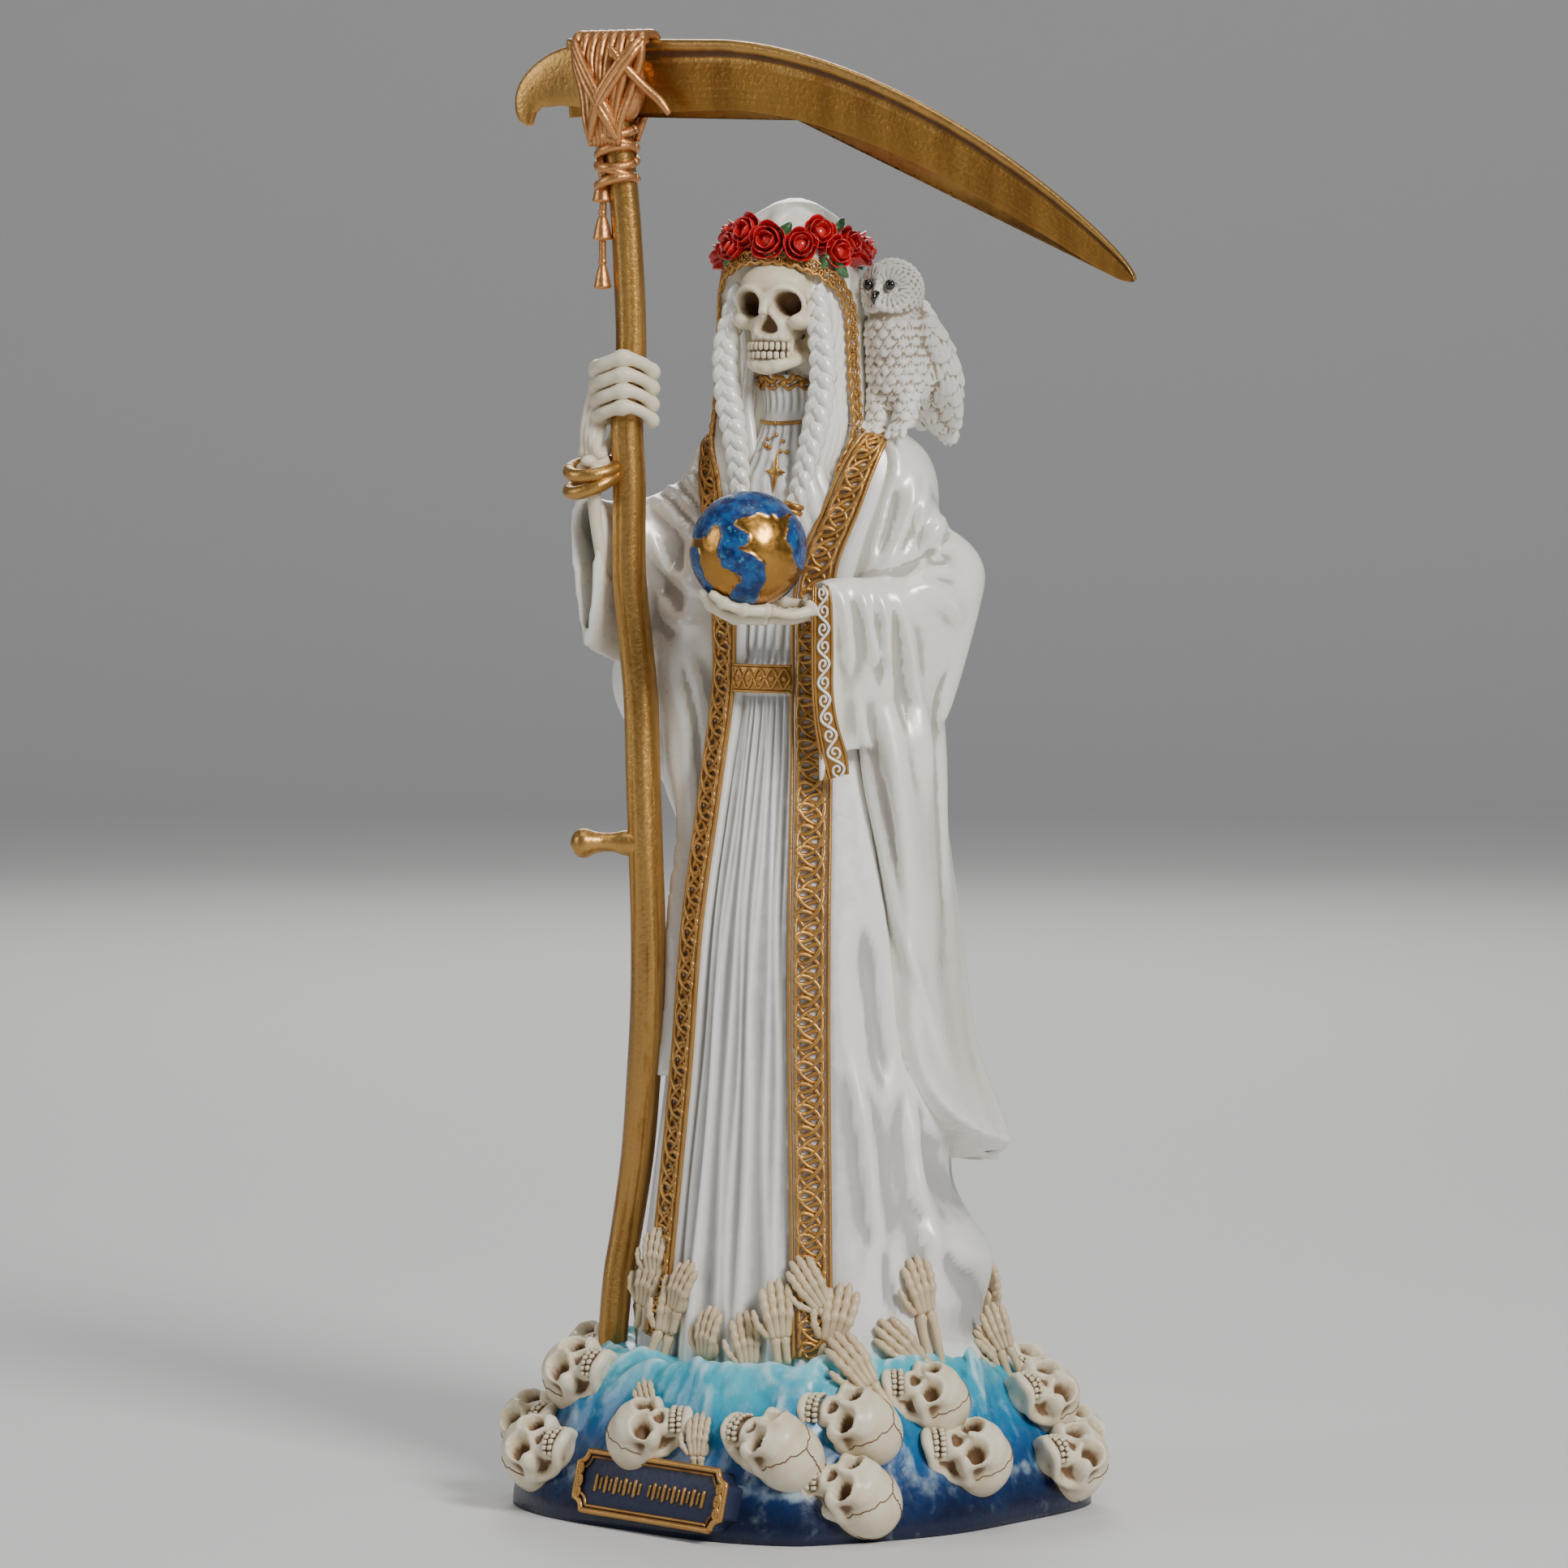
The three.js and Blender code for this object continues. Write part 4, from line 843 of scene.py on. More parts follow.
CLOAK_STROKES = [
    # folds that run up from the bend of the left arm
    ([(14.8, 187.5), (19.1, 195.1), (22.2, 203.1), (23.8, 211.2)], 1.3, 1.2),
    ([(16.4, 187.5), (21.8, 195.1), (24.9, 203.9), (25.8, 209.5)], 1.2, 1.2),
    ([(15.9, 191), (18.7, 200.5), (19.5, 209.5)], 1.5, -1.1),
    ([(18.5, 190.5), (22.4, 198), (24.2, 205)], 0.9, -0.8),
    ([(20.5, 189.3), (25, 195.1), (28.1, 199), (30.6, 203.1)], 1.5, 1.2),
    ([(22.7, 189.7), (26.8, 192.8), (29.9, 195.1), (32.4, 196)], 1.2, 1),
    ([(21.4, 188.4), (25.8, 189.3), (29.9, 189.7), (33.5, 189.3)], 1, 0.9),
    ([(23.5, 191.2), (27.5, 194.2), (31, 197.5)], 0.8, -0.7),
    ([(21.5, 187), (26.6, 186.4), (30.7, 183.4), (32.6, 178.6)], 1.6, 0.9),
    # folds that hang from the forearm
    ([(7.6, 187.4), (9.4, 180), (10.4, 168)], 1.1, 1),
    ([(11.5, 187), (14.3, 180), (16.3, 168)], 1.1, 1.3),
    ([(15.3, 186.6), (17.4, 180), (17.9, 168)], 1, 1.1),
    ([(19.1, 186.6), (21.2, 180), (23.9, 158), (25.5, 140)], 1.2, 1.3),
    ([(11.6, 168), (14.3, 148.4), (17, 135), (21, 115), (28, 93)], 1.1, 1.2),
    ([(13.3, 184.5), (15.7, 176), (16.5, 165)], 1.2, -0.8),
    ([(19.4, 183), (20.4, 172), (21.8, 156)], 1.6, -1),
    ([(31, 172.5), (28.4, 164.4), (27.8, 155), (28.4, 141.1), (28.9, 120)], 1, -1.3),
    ([(26, 176), (25, 160), (26, 135), (27, 105)], 2, 0.8),
    ([(20, 160), (22.5, 130), (27, 100), (33, 82)], 2.4, 0.8),
    ([(16.5, 150), (19.5, 128), (22, 104)], 1.5, -0.7),
    # folds over the right shoulder and upper arm
    ([(-30.3, 205.6), (-25.4, 200.6), (-19.5, 195.1)], 1.1, 1.2),
    ([(-28.4, 208), (-23.4, 204), (-18, 197.7)], 1, 1.2),
    ([(-25.2, 211), (-21.3, 206.9), (-17.2, 200)], 0.9, 1.1),
    ([(-21.8, 214.3), (-19.2, 210.2), (-16.4, 203.3)], 0.9, 0.9),
    ([(-30.5, 198), (-26.4, 190.1), (-18.6, 184.8)], 1.3, 1.2),
    ([(-29.5, 188), (-25, 180), (-17.6, 178.8)], 1.4, 1),
    ([(-27.5, 176), (-23.5, 160), (-21.6, 135)], 1.5, 1.1),
    ([(-24, 178), (-19.5, 160), (-17.6, 140)], 1.2, 0.9),
    ([(-26, 170), (-25.5, 140), (-26.6, 100)], 1.5, 0.8),
]


def build_cloak():
    parts = [mantle_body(), sleeve_body(LEFT_SLEEVE, 1.5, 0.45), sleeve_body(RIGHT_SLEEVE, 1.5, 0.5)]
    return relaxed(carve(fused(gathered(parts), 0.86, 4), CLOAK_STROKES), 1, 0.4)


coat_mesh = build_coat()
cloak_mesh = build_cloak()
COAT_TREE = tree_of(coat_mesh)
CLOAK_TREE = tree_of(cloak_mesh)
put("coat", wash_and_shade_marked(coat_mesh, 9, 0.13), GOWN_WHITE)
put("cloak", wash_and_shade_marked(cloak_mesh, 14, 0.18), PEARL)

# ------------ the scythe

SHAFT_PATH = [
    (-34.6, -17.4, 23.5), (-33.4, -16.4, 44), (-31.8, -15.2, 56), (-29.4, -15, 71), (-27.6, -15.6, 86),
    (-26.4, -16, 100), (-26, -16.3, 116), (-26.3, -16.6, 133), (-27.2, -16.2, 149), (-28, -15.8, 164),
    (-29.4, -15.8, 177), (-30.4, -16.4, 190), (-30.3, -16.4, 207), (-30.7, -16.6, 220),
    (-29.9, -16.1, 235), (-30.3, -16.3, 251), (-31, -16.7, 264), (-32.2, -17.5, 278),
    (-32.8, -17.8, 289),
]
SHAFT_SHARES = [0.9, 0.92, 0.95, 1, 1.04, 1.06, 1.06, 1.05, 1.05, 1.04, 1.03, 1.02, 1, 0.98, 0.93, 0.92,
                0.9, 0.88, 0.86]
SHAFT_RADIUS = 3.5
SHAFT_TOP = np.array(SHAFT_PATH[-1])


def shaft():
    path = line_through(SHAFT_PATH, 260)
    shares = [(row[2], share) for row, share in zip(SHAFT_PATH, SHAFT_SHARES)]
    radius = SHAFT_RADIUS * station(shares, path[:, 2], 1)
    across, out, _ = turned_frames(path, (0, 1, 0))
    last = len(path) - 1
    rng = random.Random(3)
    cuts = [[rng.uniform(*limits) for limits in ((0, 2 * PI), (0.12, 0.3), (20, 60), (0, 6))]
            for _ in range(16)]

    def place(a, b):
        i = index_at(b, last)
        turn = 2 * PI * a
        z = path[i][:, 2]
        bend = 0.25 * sin(z * 0.031) + 0.15 * sin(z * 0.083)
        facets = 1 - 0.055 * np.abs(sin(2.5 * (turn + bend))) ** 0.8
        grain = np.zeros_like(turn)
        for middle, width, length, phase in cuts:
            apart = (turn - middle - 0.5 * sin(z / length + phase) + PI) % (2 * PI) - PI
            grain -= bump(apart, 0, width * 0.5) * (0.014 + 0.014 * sin(z / length * 3 + phase))
        grain += 0.012 * sin(turn * 19 + 0.6 * sin(z * 0.3)) * (0.5 + 0.5 * sin(z * 0.05 + turn))
        reach = (radius[i] * (facets + grain))[:, None]
        return path[i] + reach * (cos(turn)[:, None] * across[i] + sin(turn)[:, None] * out[i])

    return sheet(48, last, place)


BLADE_LENGTH = 127
BLADE_WIDTH = 16
BLADE_START = SHAFT_TOP + np.array([-12, 2.4, 0.5])
# The blade's section: place from the edge (-1) to the back (1), and half thickness.
BLADE_SECTION = [(-1, 0.12), (-0.85, 0.3), (-0.4, 0.55), (0.1, 0.7), (0.44, 0.78), (0.54, 0.5),
                 (0.62, 0.55), (0.74, 1.15), (0.88, 1.3), (0.97, 0.8), (1, 0.25)]


def blade():
    drop = 0.327 * BLADE_LENGTH

    def place(a, t):
        bend = np.maximum(0, (t - 0.27) / 0.73)
        lean = np.arctan2(1.7 * drop * bend ** 0.7 / 0.73, BLADE_LENGTH)
        taper = np.sqrt(np.maximum(1 - 0.9 * t ** 6 - 0.1 * t ** 40, 0.004))
        width = BLADE_WIDTH * (1 - 0.42 * t) * taper
        front = a < 0.5
        v = np.where(front, -1 + 4 * a, 3 - 4 * a)
        v = np.sign(v) * (1 - (1 - np.abs(v)) ** 1.3)
        thick = station(BLADE_SECTION, v, 1) * (1 - 0.45 * t) * np.where(front, 1, -1)
        ridge = 0.05 * front * sin(v * 31 + 2 * sin(t * 9)) * within(v, -0.9, -0.7, 0.3, 0.5)
        across = v * width / 2
        return np.stack([
            BLADE_START[0] + t * BLADE_LENGTH + across * sin(lean),
            BLADE_START[1] + 3 * t - thick - ridge * 0.6,
            BLADE_START[2] - drop * bend ** 1.7 + across * cos(lean),
        ], axis=-1)

    return sheet(64, 190, place)


def blade_hook():
    """The beak at the back of the blade, over the lashing."""
    root = SHAFT_TOP + np.array([-6, 2.4, 0.6])
    spine = [(2, 0.0), (-5, 0.2), (-10, -0.8), (-14.2, -3.2), (-15.6, -6.6), (-14.8, -9.6)]
    line = line_through([(x, 0.06 * x, z) for x, z in spine], 60) + root
    rows = [(0, 6.4), (0.3, 6.2), (0.55, 5.0), (0.75, 3.6), (0.92, 2.1), (1, 0.5)]
    last = len(line) - 1
    share = np.linspace(0, 1, len(line))
    wide = station(rows, share, 1)
    across, out, _ = turned_frames(line, (0, 1, 0))

    def place(a, b):
        i = index_at(b, last)
        turn = 2 * PI * a
        flat = (1.3 * (1 - 0.3 * share[i]))[:, None]
        side = np.sign(cos(turn)) * np.abs(cos(turn)) ** 0.8
        return line[i] + (wide[i] * side)[:, None] * across[i] + flat * sin(turn)[:, None] * out[i]

    return sheet(32, last, place)


def peg():
    """The grip that stands out from the shaft, swollen at its end."""
    share = np.linspace(0, 1, 50)
    line = np.array([-26.2, -16.5, 134.5]) + share[:, None] * OUTER * (SHAFT_RADIUS + 11.9)
    line[:, 2] += 0.5 * sin(share * 3)
    rows = [(0, 2.9), (0.3, 2.5), (0.42, 2.0), (0.58, 1.95), (0.68, 2.3), (0.8, 2.95), (0.9, 2.7),
            (0.97, 1.6), (1, 0.3)]
    return tube(line, station(rows, share, 1), 20, up=UP, ribs=7, rib=0.03)


def cord(points, radius, count):
    """A strand that thins towards both ends."""
    ends = 6 * np.minimum(np.linspace(0, 1, count), np.linspace(1, 0, count))
    return tube(line_through(points, count), radius * (0.6 + 0.4 * np.minimum(1, ends)), 8)


def lashing():
    parts = [ball(SHAFT_TOP + (0.5, 0.2, -1.6), (6.6, 3.6, 8.2))]
    rng = random.Random(11)

    def loop(x_low, x_high, lean):
        """One strand from the neck, up the front, over the blade's back and down behind."""
        front = -4.4 * (1 - ((x_high + lean) / 9.5) ** 2) ** 0.5
        return [(x_low, -3.4, -13.5), (x_low * 1.2 + 0.3 * lean, -4.2, -9),
                (0.5 * (x_low + x_high) + lean, front, -3), (x_high, front * 0.85, 3.5),
                (x_high, -1.8, 8.1), (x_high, 1.2, 8.9), (x_high, 4.2, 8.0), (x_high * 0.9, 5.6, 2),
                (0.6 * x_high, 5.0, -6), (x_low, 3.6, -12.5)]

    for k in range(8):
        x = -7.6 + 2.15 * k
        parts.append(cord(SHAFT_TOP + loop(x * 0.42, x, rng.uniform(-0.7, 0.7)), 1.05, 46))
    for side in (-1, 1):
        for shift in (0, 2.1):
            across = [(-side * 3.2, -4.0, -12.4 + shift), (-side * 0.5, -6.1, -6.5 + shift),
                      (side * 3.4, -5.7, -0.5 + shift), (side * 7.0, -3.5, 5.4 + 0.6 * shift),
                      (side * 8.1, -0.4, 7.6 + 0.4 * shift)]
            parts.append(cord(SHAFT_TOP + across, 1.0, 36))
    loose_end = [(2.5, -5.9, 6.2), (5.0, -4.6, 2.6), (8.2, -2.6, -1.4), (11.5, -1.4, -4.6),
                 (13.4, -0.8, -7.2)]
    parts.append(cord(SHAFT_TOP + loose_end, 1.0, 30))
    for k, height in enumerate((-10.4, -12.5, -14.6, -16.8, -18.9, -20.8)):
        turn = circle(33)
        reach = 3.75 + 0.15 * sin(3 * k)
        ring = np.stack([0.5 + 0.03 * k + reach * cos(turn), 0.1 + reach * sin(turn),
                         height + 1.1 * (-1) ** k * sin(turn + k)], axis=1)
        parts.append(tube(SHAFT_TOP + ring, 1.0, 8))
    return gathered(parts)


def bells():
    """A short cord that hangs down the shaft with three cones on it."""
    middle = np.array([-31.4, -16.8, 0]) + ray(rad(-60)) * 4.1
    hang = [(0.3, -0.4, 283), (-0.5, -0.3, 276), (0.2, 0, 268), (0, 0, 258), (0.1, 0, 247.4)]
    parts = [cord(middle + hang, 0.75, 40)]
    rows = [(0, 0.5), (0.15, 1.0), (0.5, 1.6), (0.8, 1.95), (0.93, 2.1), (1, 1.2)]
    share = np.linspace(0, 1, 16)
    for height, size in ((266.8, 1.0), (259.2, 0.95), (249.4, 0.85)):
        line = middle + UP * (height + np.linspace(2.7, -2.7, 16))[:, None]
        parts.append(tube(line, size * station(rows, share, 1), 14, up=(0, 1, 0)))
        parts.append(ball(middle + UP * (height + 2.9), 0.9, rings=2))
    return gathered(parts)


gold_parts = gathered([shaft(), blade(), blade_hook(), peg()])
put("scythe_shaft_and_blade", wash_and_shade_marked(gold_parts, 8, 0.14), GOLD, node="scythe")
put("scythe_lashing", wash_and_shade_marked(gathered([lashing(), bells()]), 4, 0.25), COPPER,
    node="scythe")

# ------------ the mound of waves

MOUND_WIDE, MOUND_DEEP, MOUND_CORNER = 59, 53, 1.45


def base_plan(turn, reach):
    """The mound's rounded outline, which stands square to the viewer; reach 1 is its edge."""
    oval = turn - PI / 2 - VIEWER_TURN
    corner = sum(np.abs(wave(oval)) ** MOUND_CORNER for wave in (cos, sin)) ** (-1 / MOUND_CORNER)
    share = reach * corner * (1 + 0.012 * sin(7 * turn))
    x = share * MOUND_WIDE * cos(oval)
    y = share * MOUND_DEEP * sin(oval)
    return x * ACROSS[0] - y * ACROSS[1], x * ACROSS[1] + y * ACROSS[0]


def mound_top(turn, reach):
    hem = 35.5 / np.hypot(*base_plan(turn, 1.0))
    fall = np.clip((reach - hem) / (1 - hem), 0, 1) ** 1.5
    wave = sin(9 * turn + 1.7 * PI * reach * 2) * soft(reach, 0.5, 0.8)
    return 6 + 27 * (1 - fall) + 1.2 * wave * (1.1 - reach)


def on_mound(turn, reach, lift=0.0):
    x, y = base_plan(turn, reach)
    return np.array([float(x), float(y), float(mound_top(turn, reach)) + lift])


def make_crests():
    """Long curled crests of water: three places each from top to foot, then width and height."""
    rng = random.Random(29)
    crests = []
    for k in range(52):
        turn = -180 + 360 * k / 52 + rng.uniform(-2, 2)
        swing = rng.uniform(12, 42) * (1 if math.sin(rad(3 * turn + 40)) > 0 else -1)
        top = rng.uniform(0.6, 0.74)
        low = rng.uniform(0.86, 1.0)
        ways = ((turn, top), (turn + 0.7 * swing, 0.5 * (top + low) + 0.02), (turn + swing, low))
        stops = np.array([base_plan(rad(t), r) for t, r in ways])
        crests.append((stops, rng.uniform(1.1, 2.4), rng.uniform(0.8, 1.7)))
    return crests


def mound():
    crests = make_crests()

    def place(a, b):
        turn = PI * (2 * a - 1)
        lean = np.clip(b / 0.1, 0, 1) * PI / 2
        reach = np.where(b < 0.1, 1 - 0.045 * (1 - cos(lean)),
                         0.955 - 0.575 * np.clip((b - 0.1) / 0.9, 0, 1) ** 1.05)
        x, y = base_plan(turn, reach)
        z = mound_top(turn, reach) * sin(lean) ** 0.8
        flat = np.stack([x, y], axis=-1)
        lift = np.zeros_like(turn)
        for stops, width, height in crests:
            near = np.hypot(*(flat - stops[1]).T) < 24
            gap, share = from_line(flat[near], line_through(stops, 10))
            taper = within(share, -0.05, 0.25, 0.75, 1.03)
            lift[near] += height * np.exp(-(gap / (width * (0.5 + 0.6 * taper))) ** 2) * taper
        fine = 0.16 * sin(turn * 61 + 30 * reach + 2.5 * sin(7 * turn)) * soft(reach, 0.55, 0.7)
        shown = within(b, 0.05, 0.14, 0.8, 0.95)
        z = z + (np.clip(1.4 * lift, 0, 2.8) - 0.7 + fine) * shown
        return np.stack([x, y, np.maximum(z, 0.0)], axis=-1)

    return sheet(400, 84, place)


def water_tint(b, _):
    """Pale turquoise at the hem through blue to navy at the rim, by height."""
    coords = b.coords()
    up = b.node("ShaderNodeSeparateXYZ", [(0, coords)]).outputs["Z"]
    stretched = b.node("ShaderNodeMapping",
                       [("Vector", coords), ("Scale", (1, 1, 0.5))]).outputs["Vector"]
    drift = b.maths("MULTIPLY_ADD", b.noise(stretched, 70, 5, 0.6), 0.018, -0.009)
    scaled = b.ramp(b.maths("ADD", up, drift), 0.004, 0.036, "LINEAR")
    ramp = b.node("ShaderNodeValToRGB", [("Fac", scaled)])
    stops = [(0.0, (0.003, 0.008, 0.035)), (0.2, (0.004, 0.025, 0.1)), (0.4, (0.006, 0.08, 0.24)),
             (0.6, (0.01, 0.2, 0.4)), (0.8, (0.03, 0.38, 0.52)), (1.0, (0.13, 0.56, 0.66))]
    while len(ramp.color_ramp.elements) < len(stops):
        ramp.color_ramp.elements.new(0.5)
    for element, (at, tint) in zip(ramp.color_ramp.elements, stops):
        element.position = at
        element.color = (*tint, 1)
    streaks = b.ramp(b.noise(stretched, 330, 4, 0.65), 0.52, 0.72)
    streaks = b.maths("MULTIPLY", streaks, scaled)
    return b.mix(b.maths("MULTIPLY", streaks, 0.4), ramp.outputs["Color"], (0.34, 0.72, 0.82))


# The third colour is the wash in the hollows, partly painted shade; the fourth is the froth brushed on
# the crests, partly painted highlight.
WATER = paint("water_blue", (0.1, 0.3, 0.5), (0.1, 0.3, 0.5), (0.003, 0.012, 0.045), (0.7, 0.9, 0.95),
              wash_and_shade_amount=0.85, brushed=0.55, rough=0.3, coat=0.25, grain=0.2, grain_size=700,
              tint=water_tint, shine=0.35)
water_mesh = wash_and_shade_marked(mound(), 7, 0.45)
WATER_TREE = tree_of(water_mesh)
above_rim = soft(verts_of(water_mesh)[:, 2], 7.0, 10.0)
keep(water_mesh, "hollow", 0.5 + (np.maximum(hollows_of(water_mesh), 0.14) - 0.5) * above_rim)
put("water", water_mesh, WATER)

# ------------ skulls

def heading(front, crown):
    """Right, back and up of something that looks along front with its crown towards crown."""
    back = -unit(front)
    right = unit(np.cross(back, crown))
    return np.stack([right, back, np.cross(right, back)], axis=1)


def pebble(centre, half, basis=None, rings=2, power=0.7):
    """A rounded block, such as a tooth."""
    made = ball(rings=rings)
    points = verts_of(made)
    points = np.sign(points) * np.abs(points) ** power * np.asarray(half, float)
    if basis is not None:
        points = points @ np.asarray(basis, float).T
    move_verts(made, points + np.asarray(centre, float))
    return made


def limb(points, radii, sides=10, count=14):
    line = line_through(points, count)
    rows = np.column_stack([np.linspace(0, 1, len(radii)), radii])
    return tube(line, station(rows, np.linspace(0, 1, count), 1), sides)


def skull_form(voxel, teeth_rings, teeth):
    """A skull of unit radius at the origin, looking along -y, with its teeth."""
    parts = [
        ball((0, 0.15, 0.14), (0.85, 1.04, 0.9)),
        ball((0, -0.52, 0.26), (0.7, 0.42, 0.52)),
        ball((0, -0.55, -0.5), (0.44, 0.36, 0.46)),
        ball((0, -0.6, -0.66), (0.43, 0.29, 0.19)),
        ball((0, -0.64, -1.12), (0.36, 0.28, 0.18)),
        ball((0, -0.8, -1.24), (0.22, 0.17, 0.15)),
        # A filler behind the jaw closes the see-through gap, and the cheek and hollow marks give it
        # painted shade.
        ball((0, -0.26, -0.8), (0.5, 0.36, 0.46)),
    ]
    for side in (-1, 1):
        parts.append(ball((0.58 * side, -0.52, -0.34), (0.25, 0.34, 0.19)))
        parts.append(limb([(0.56 * side, -0.66, -0.3), (0.74 * side, -0.35, -0.24),
                           (0.8 * side, 0.05, -0.18)], [0.15, 0.12, 0.1]))
        parts.append(limb([(0.12 * side, -0.84, -1.22), (0.34 * side, -0.66, -1.14),
                           (0.54 * side, -0.22, -0.98), (0.65 * side, -0.02, -0.55),
                           (0.7 * side, 0.0, -0.25)], [0.16, 0.15, 0.14, 0.13, 0.11]))
        parts.append(limb([(0.1 * side, -0.93, 0.12), (0.36 * side, -0.9, 0.25),
                           (0.64 * side, -0.7, 0.1), (0.7 * side, -0.58, -0.12)],
                          [0.1, 0.11, 0.11, 0.1]))
    parts.append(limb([(0, -0.88, 0.1), (0, -0.97, -0.08), (0, -1.04, -0.26)], [0.13, 0.1, 0.09]))
    form = fused(gathered(parts), voxel, 3)
    points = verts_of(form)
    x, y, z = points.T
    ahead = soft(-y, 0.2, 0.5)
    # The deeper colour marked in the eye sockets, the nose, the gums and under the cheeks is partly a
    # brown wash and partly painted shade in these pits.
    pit_wash_and_shade = np.zeros(len(points))
    for side in (-1, 1):
        q = ((x - 0.385 * side - 0.05 * side * (z + 0.03)) / 0.27) ** 2 + ((z + 0.03) / 0.245) ** 2
        pit = (1 - soft(q, 0.62, 1.12)) * ahead
        y = y + 0.44 * pit
        pit_wash_and_shade = np.maximum(pit_wash_and_shade, 1 - soft(q, 0.8, 1.25)) * ahead
        temple = bump(np.hypot((y + 0.35) / 0.35, (z - 0.05) / 0.3), 0, 1) * soft(side * x, 0.5, 0.8)
        x = x - 0.09 * side * temple
    width = 0.055 + 0.26 * np.clip((-0.26 - z) / 0.34, 0, 1)
    q = (x / width) ** 2 + ((z + 0.42) / 0.2) ** 2
    pit = (1 - soft(q, 0.6, 1.15)) * soft(-y, 0.5, 0.8)
    y = y + 0.26 * pit
    pit_wash_and_shade = np.maximum(pit_wash_and_shade, 0.85 * pit)
    gums = bump(z, -0.92, 0.15) * soft(-y, 0.45, 0.7)
    y = y + 0.07 * gums - 0.022 * cos(x * 42) * bump(z, -0.68, 0.09) * soft(-y, 0.5, 0.8)
    pit_wash_and_shade = np.maximum(pit_wash_and_shade, 0.9 * gums)
    cheek = bump(np.hypot((y + 0.35) / 0.3, (z + 0.78) / 0.3), 0, 1) * soft(np.abs(x), 0.38, 0.48)
    x = x - 0.1 * np.sign(x) * cheek
    pit_wash_and_shade = np.maximum(pit_wash_and_shade, 0.75 * cheek)
    move_verts(form, np.stack([x, y, z], axis=1))
    relaxed(form, 2, 0.5)
    mean = ring_sums(form)
    for _ in range(2):
        pit_wash_and_shade = mean(pit_wash_and_shade[:, None])[:, 0]
    rows = []
    jaws = ((-0.835, 0.088, 0.0), (-1.005, 0.08, 0.012))
    for row, (height, half_height, forward) in enumerate(jaws):
        count = teeth - row
        for k in range(count):
            turn = rad(-68 + 136 * (k + 0.5) / count)
            lean = 1 + 0.25 * cos(turn) ** 2
            at = (0.43 * sin(turn), -0.48 - 0.44 * cos(turn) + forward, height)
            half = (0.37 * rad(136) / count / 2 * lean, 0.08, half_height)
            rows.append(pebble(at, half, heading(ray(turn), UP), teeth_rings))
    row = gathered(rows)
    # Painted shade on the teeth: their sides and backs, which turn away from the outside of the row,
    # are marked as hollow and take the wash.
    outward = unit(verts_of(row) * np.array([1, 1, 0]) + np.array([0, 0.48, 0]))
    keep(row, "hollow", 0.98 - 0.62 * soft((normals_of(row) * outward).sum(axis=1), 0.15, 0.8))
    return form, row, pit_wash_and_shade


def suture(tree, stops, seed):
    """A thin jagged seam between the plates of a cranium."""
    rng = random.Random(seed)
    line = line_through(stops, 34)
    line = line + np.array([[rng.uniform(-SUTURE_JAG, SUTURE_JAG) for _ in range(3)] for _ in line])
    return tube(np.array([tree.find_nearest(Vector(point))[0] for point in line]), 0.02, 4)


def placed(mesh, basis, centre, size=1):
    move_verts(mesh, verts_of(mesh) * size @ basis.T + centre)
    return mesh


SUTURES = [
    [(-0.86, -0.2, 0.0), (-0.6, -0.35, 0.7), (0, -0.3, 1.05), (0.6, -0.35, 0.7), (0.86, -0.2, 0.0)],
    [(0, -0.3, 1.05), (0.02, 0.3, 1.1), (0, 0.9, 0.8)],
    [(-0.7, 0.5, 0.1), (-0.4, 0.95, 0.5), (0, 1.1, 0.75), (0.4, 0.95, 0.5), (0.7, 0.5, 0.1)],
]
SUTURE_JAG = 0.035
# Each skull on the mound: turn, reach, and the side it rolls to.
MOUND_SKULLS = [
    (-78, 0.79, 1), (-50, 0.79, 1), (-64, 0.93, 1), (-46, 0.96, 1), (-11, 0.92, 1), (26, 0.91, -1),
    (44, 0.88, -1), (42, 1, -1), (66, 0.85, -1), (74, 0.95, -1), (134, 0.84, -1), (113, 0.85, -1),
    (125, 0.95, -1), (109, 0.98, -1), (165, 0.9, -1), (-146, 0.92, 1),
]
SKULL_DIAMETER = 16.5


def build_mound_skulls():
    form, teeth, pit_wash_and_shade = skull_form(0.074, 1, 8)
    wash_and_shade_marked(form, 5, 0.026)
    # The pits take the deeper colour as well: partly a brown wash, partly painted shade.
    keep(form, "hollow", np.maximum(hollows_of(form), pit_wash_and_shade))
    tree = tree_of(form)
    seams = gathered([suture(tree, stops, 5 + k) for k, stops in enumerate(SUTURES)])
    keep(seams, "hollow", np.full(len(seams.vertices), 1.0))
    bones = []
    for i, (degrees, reach, side) in enumerate(MOUND_SKULLS):
        turn = rad(degrees)
        out = unit([*base_plan(turn, 1.0), 0.0])
        around = np.array([-out[1], out[0], 0]) * side
        basis = heading(around + 1.3 * out + UP * (1.6 + 0.2 * (i % 3)), out - 1.3 * around)
        radius = SKULL_DIAMETER / 2 * (0.92 if i % 4 == 0 else 1)
        centre = on_mound(turn, reach, SKULL_DIAMETER * 0.08)
        centre[2] = max(centre[2], SKULL_DIAMETER * 0.56)
        for source in (form, teeth, seams):
            bones.append(placed(source.copy(), basis, centre, radius))
    for source in (form, teeth, seams):
        bpy.data.meshes.remove(source)
    return gathered(bones)


put("mound_skulls", build_mound_skulls(), BONE)

# ------------ the plaque

PLAQUE_WIDE, PLAQUE_TALL, PLAQUE_DEEP = 42, 13, 5
PLAQUE_TURN, PLAQUE_LEAN = rad(-14), rad(14)
STROKES, STROKE_GAP, STROKE_PITCH = 23, 10, 1.36


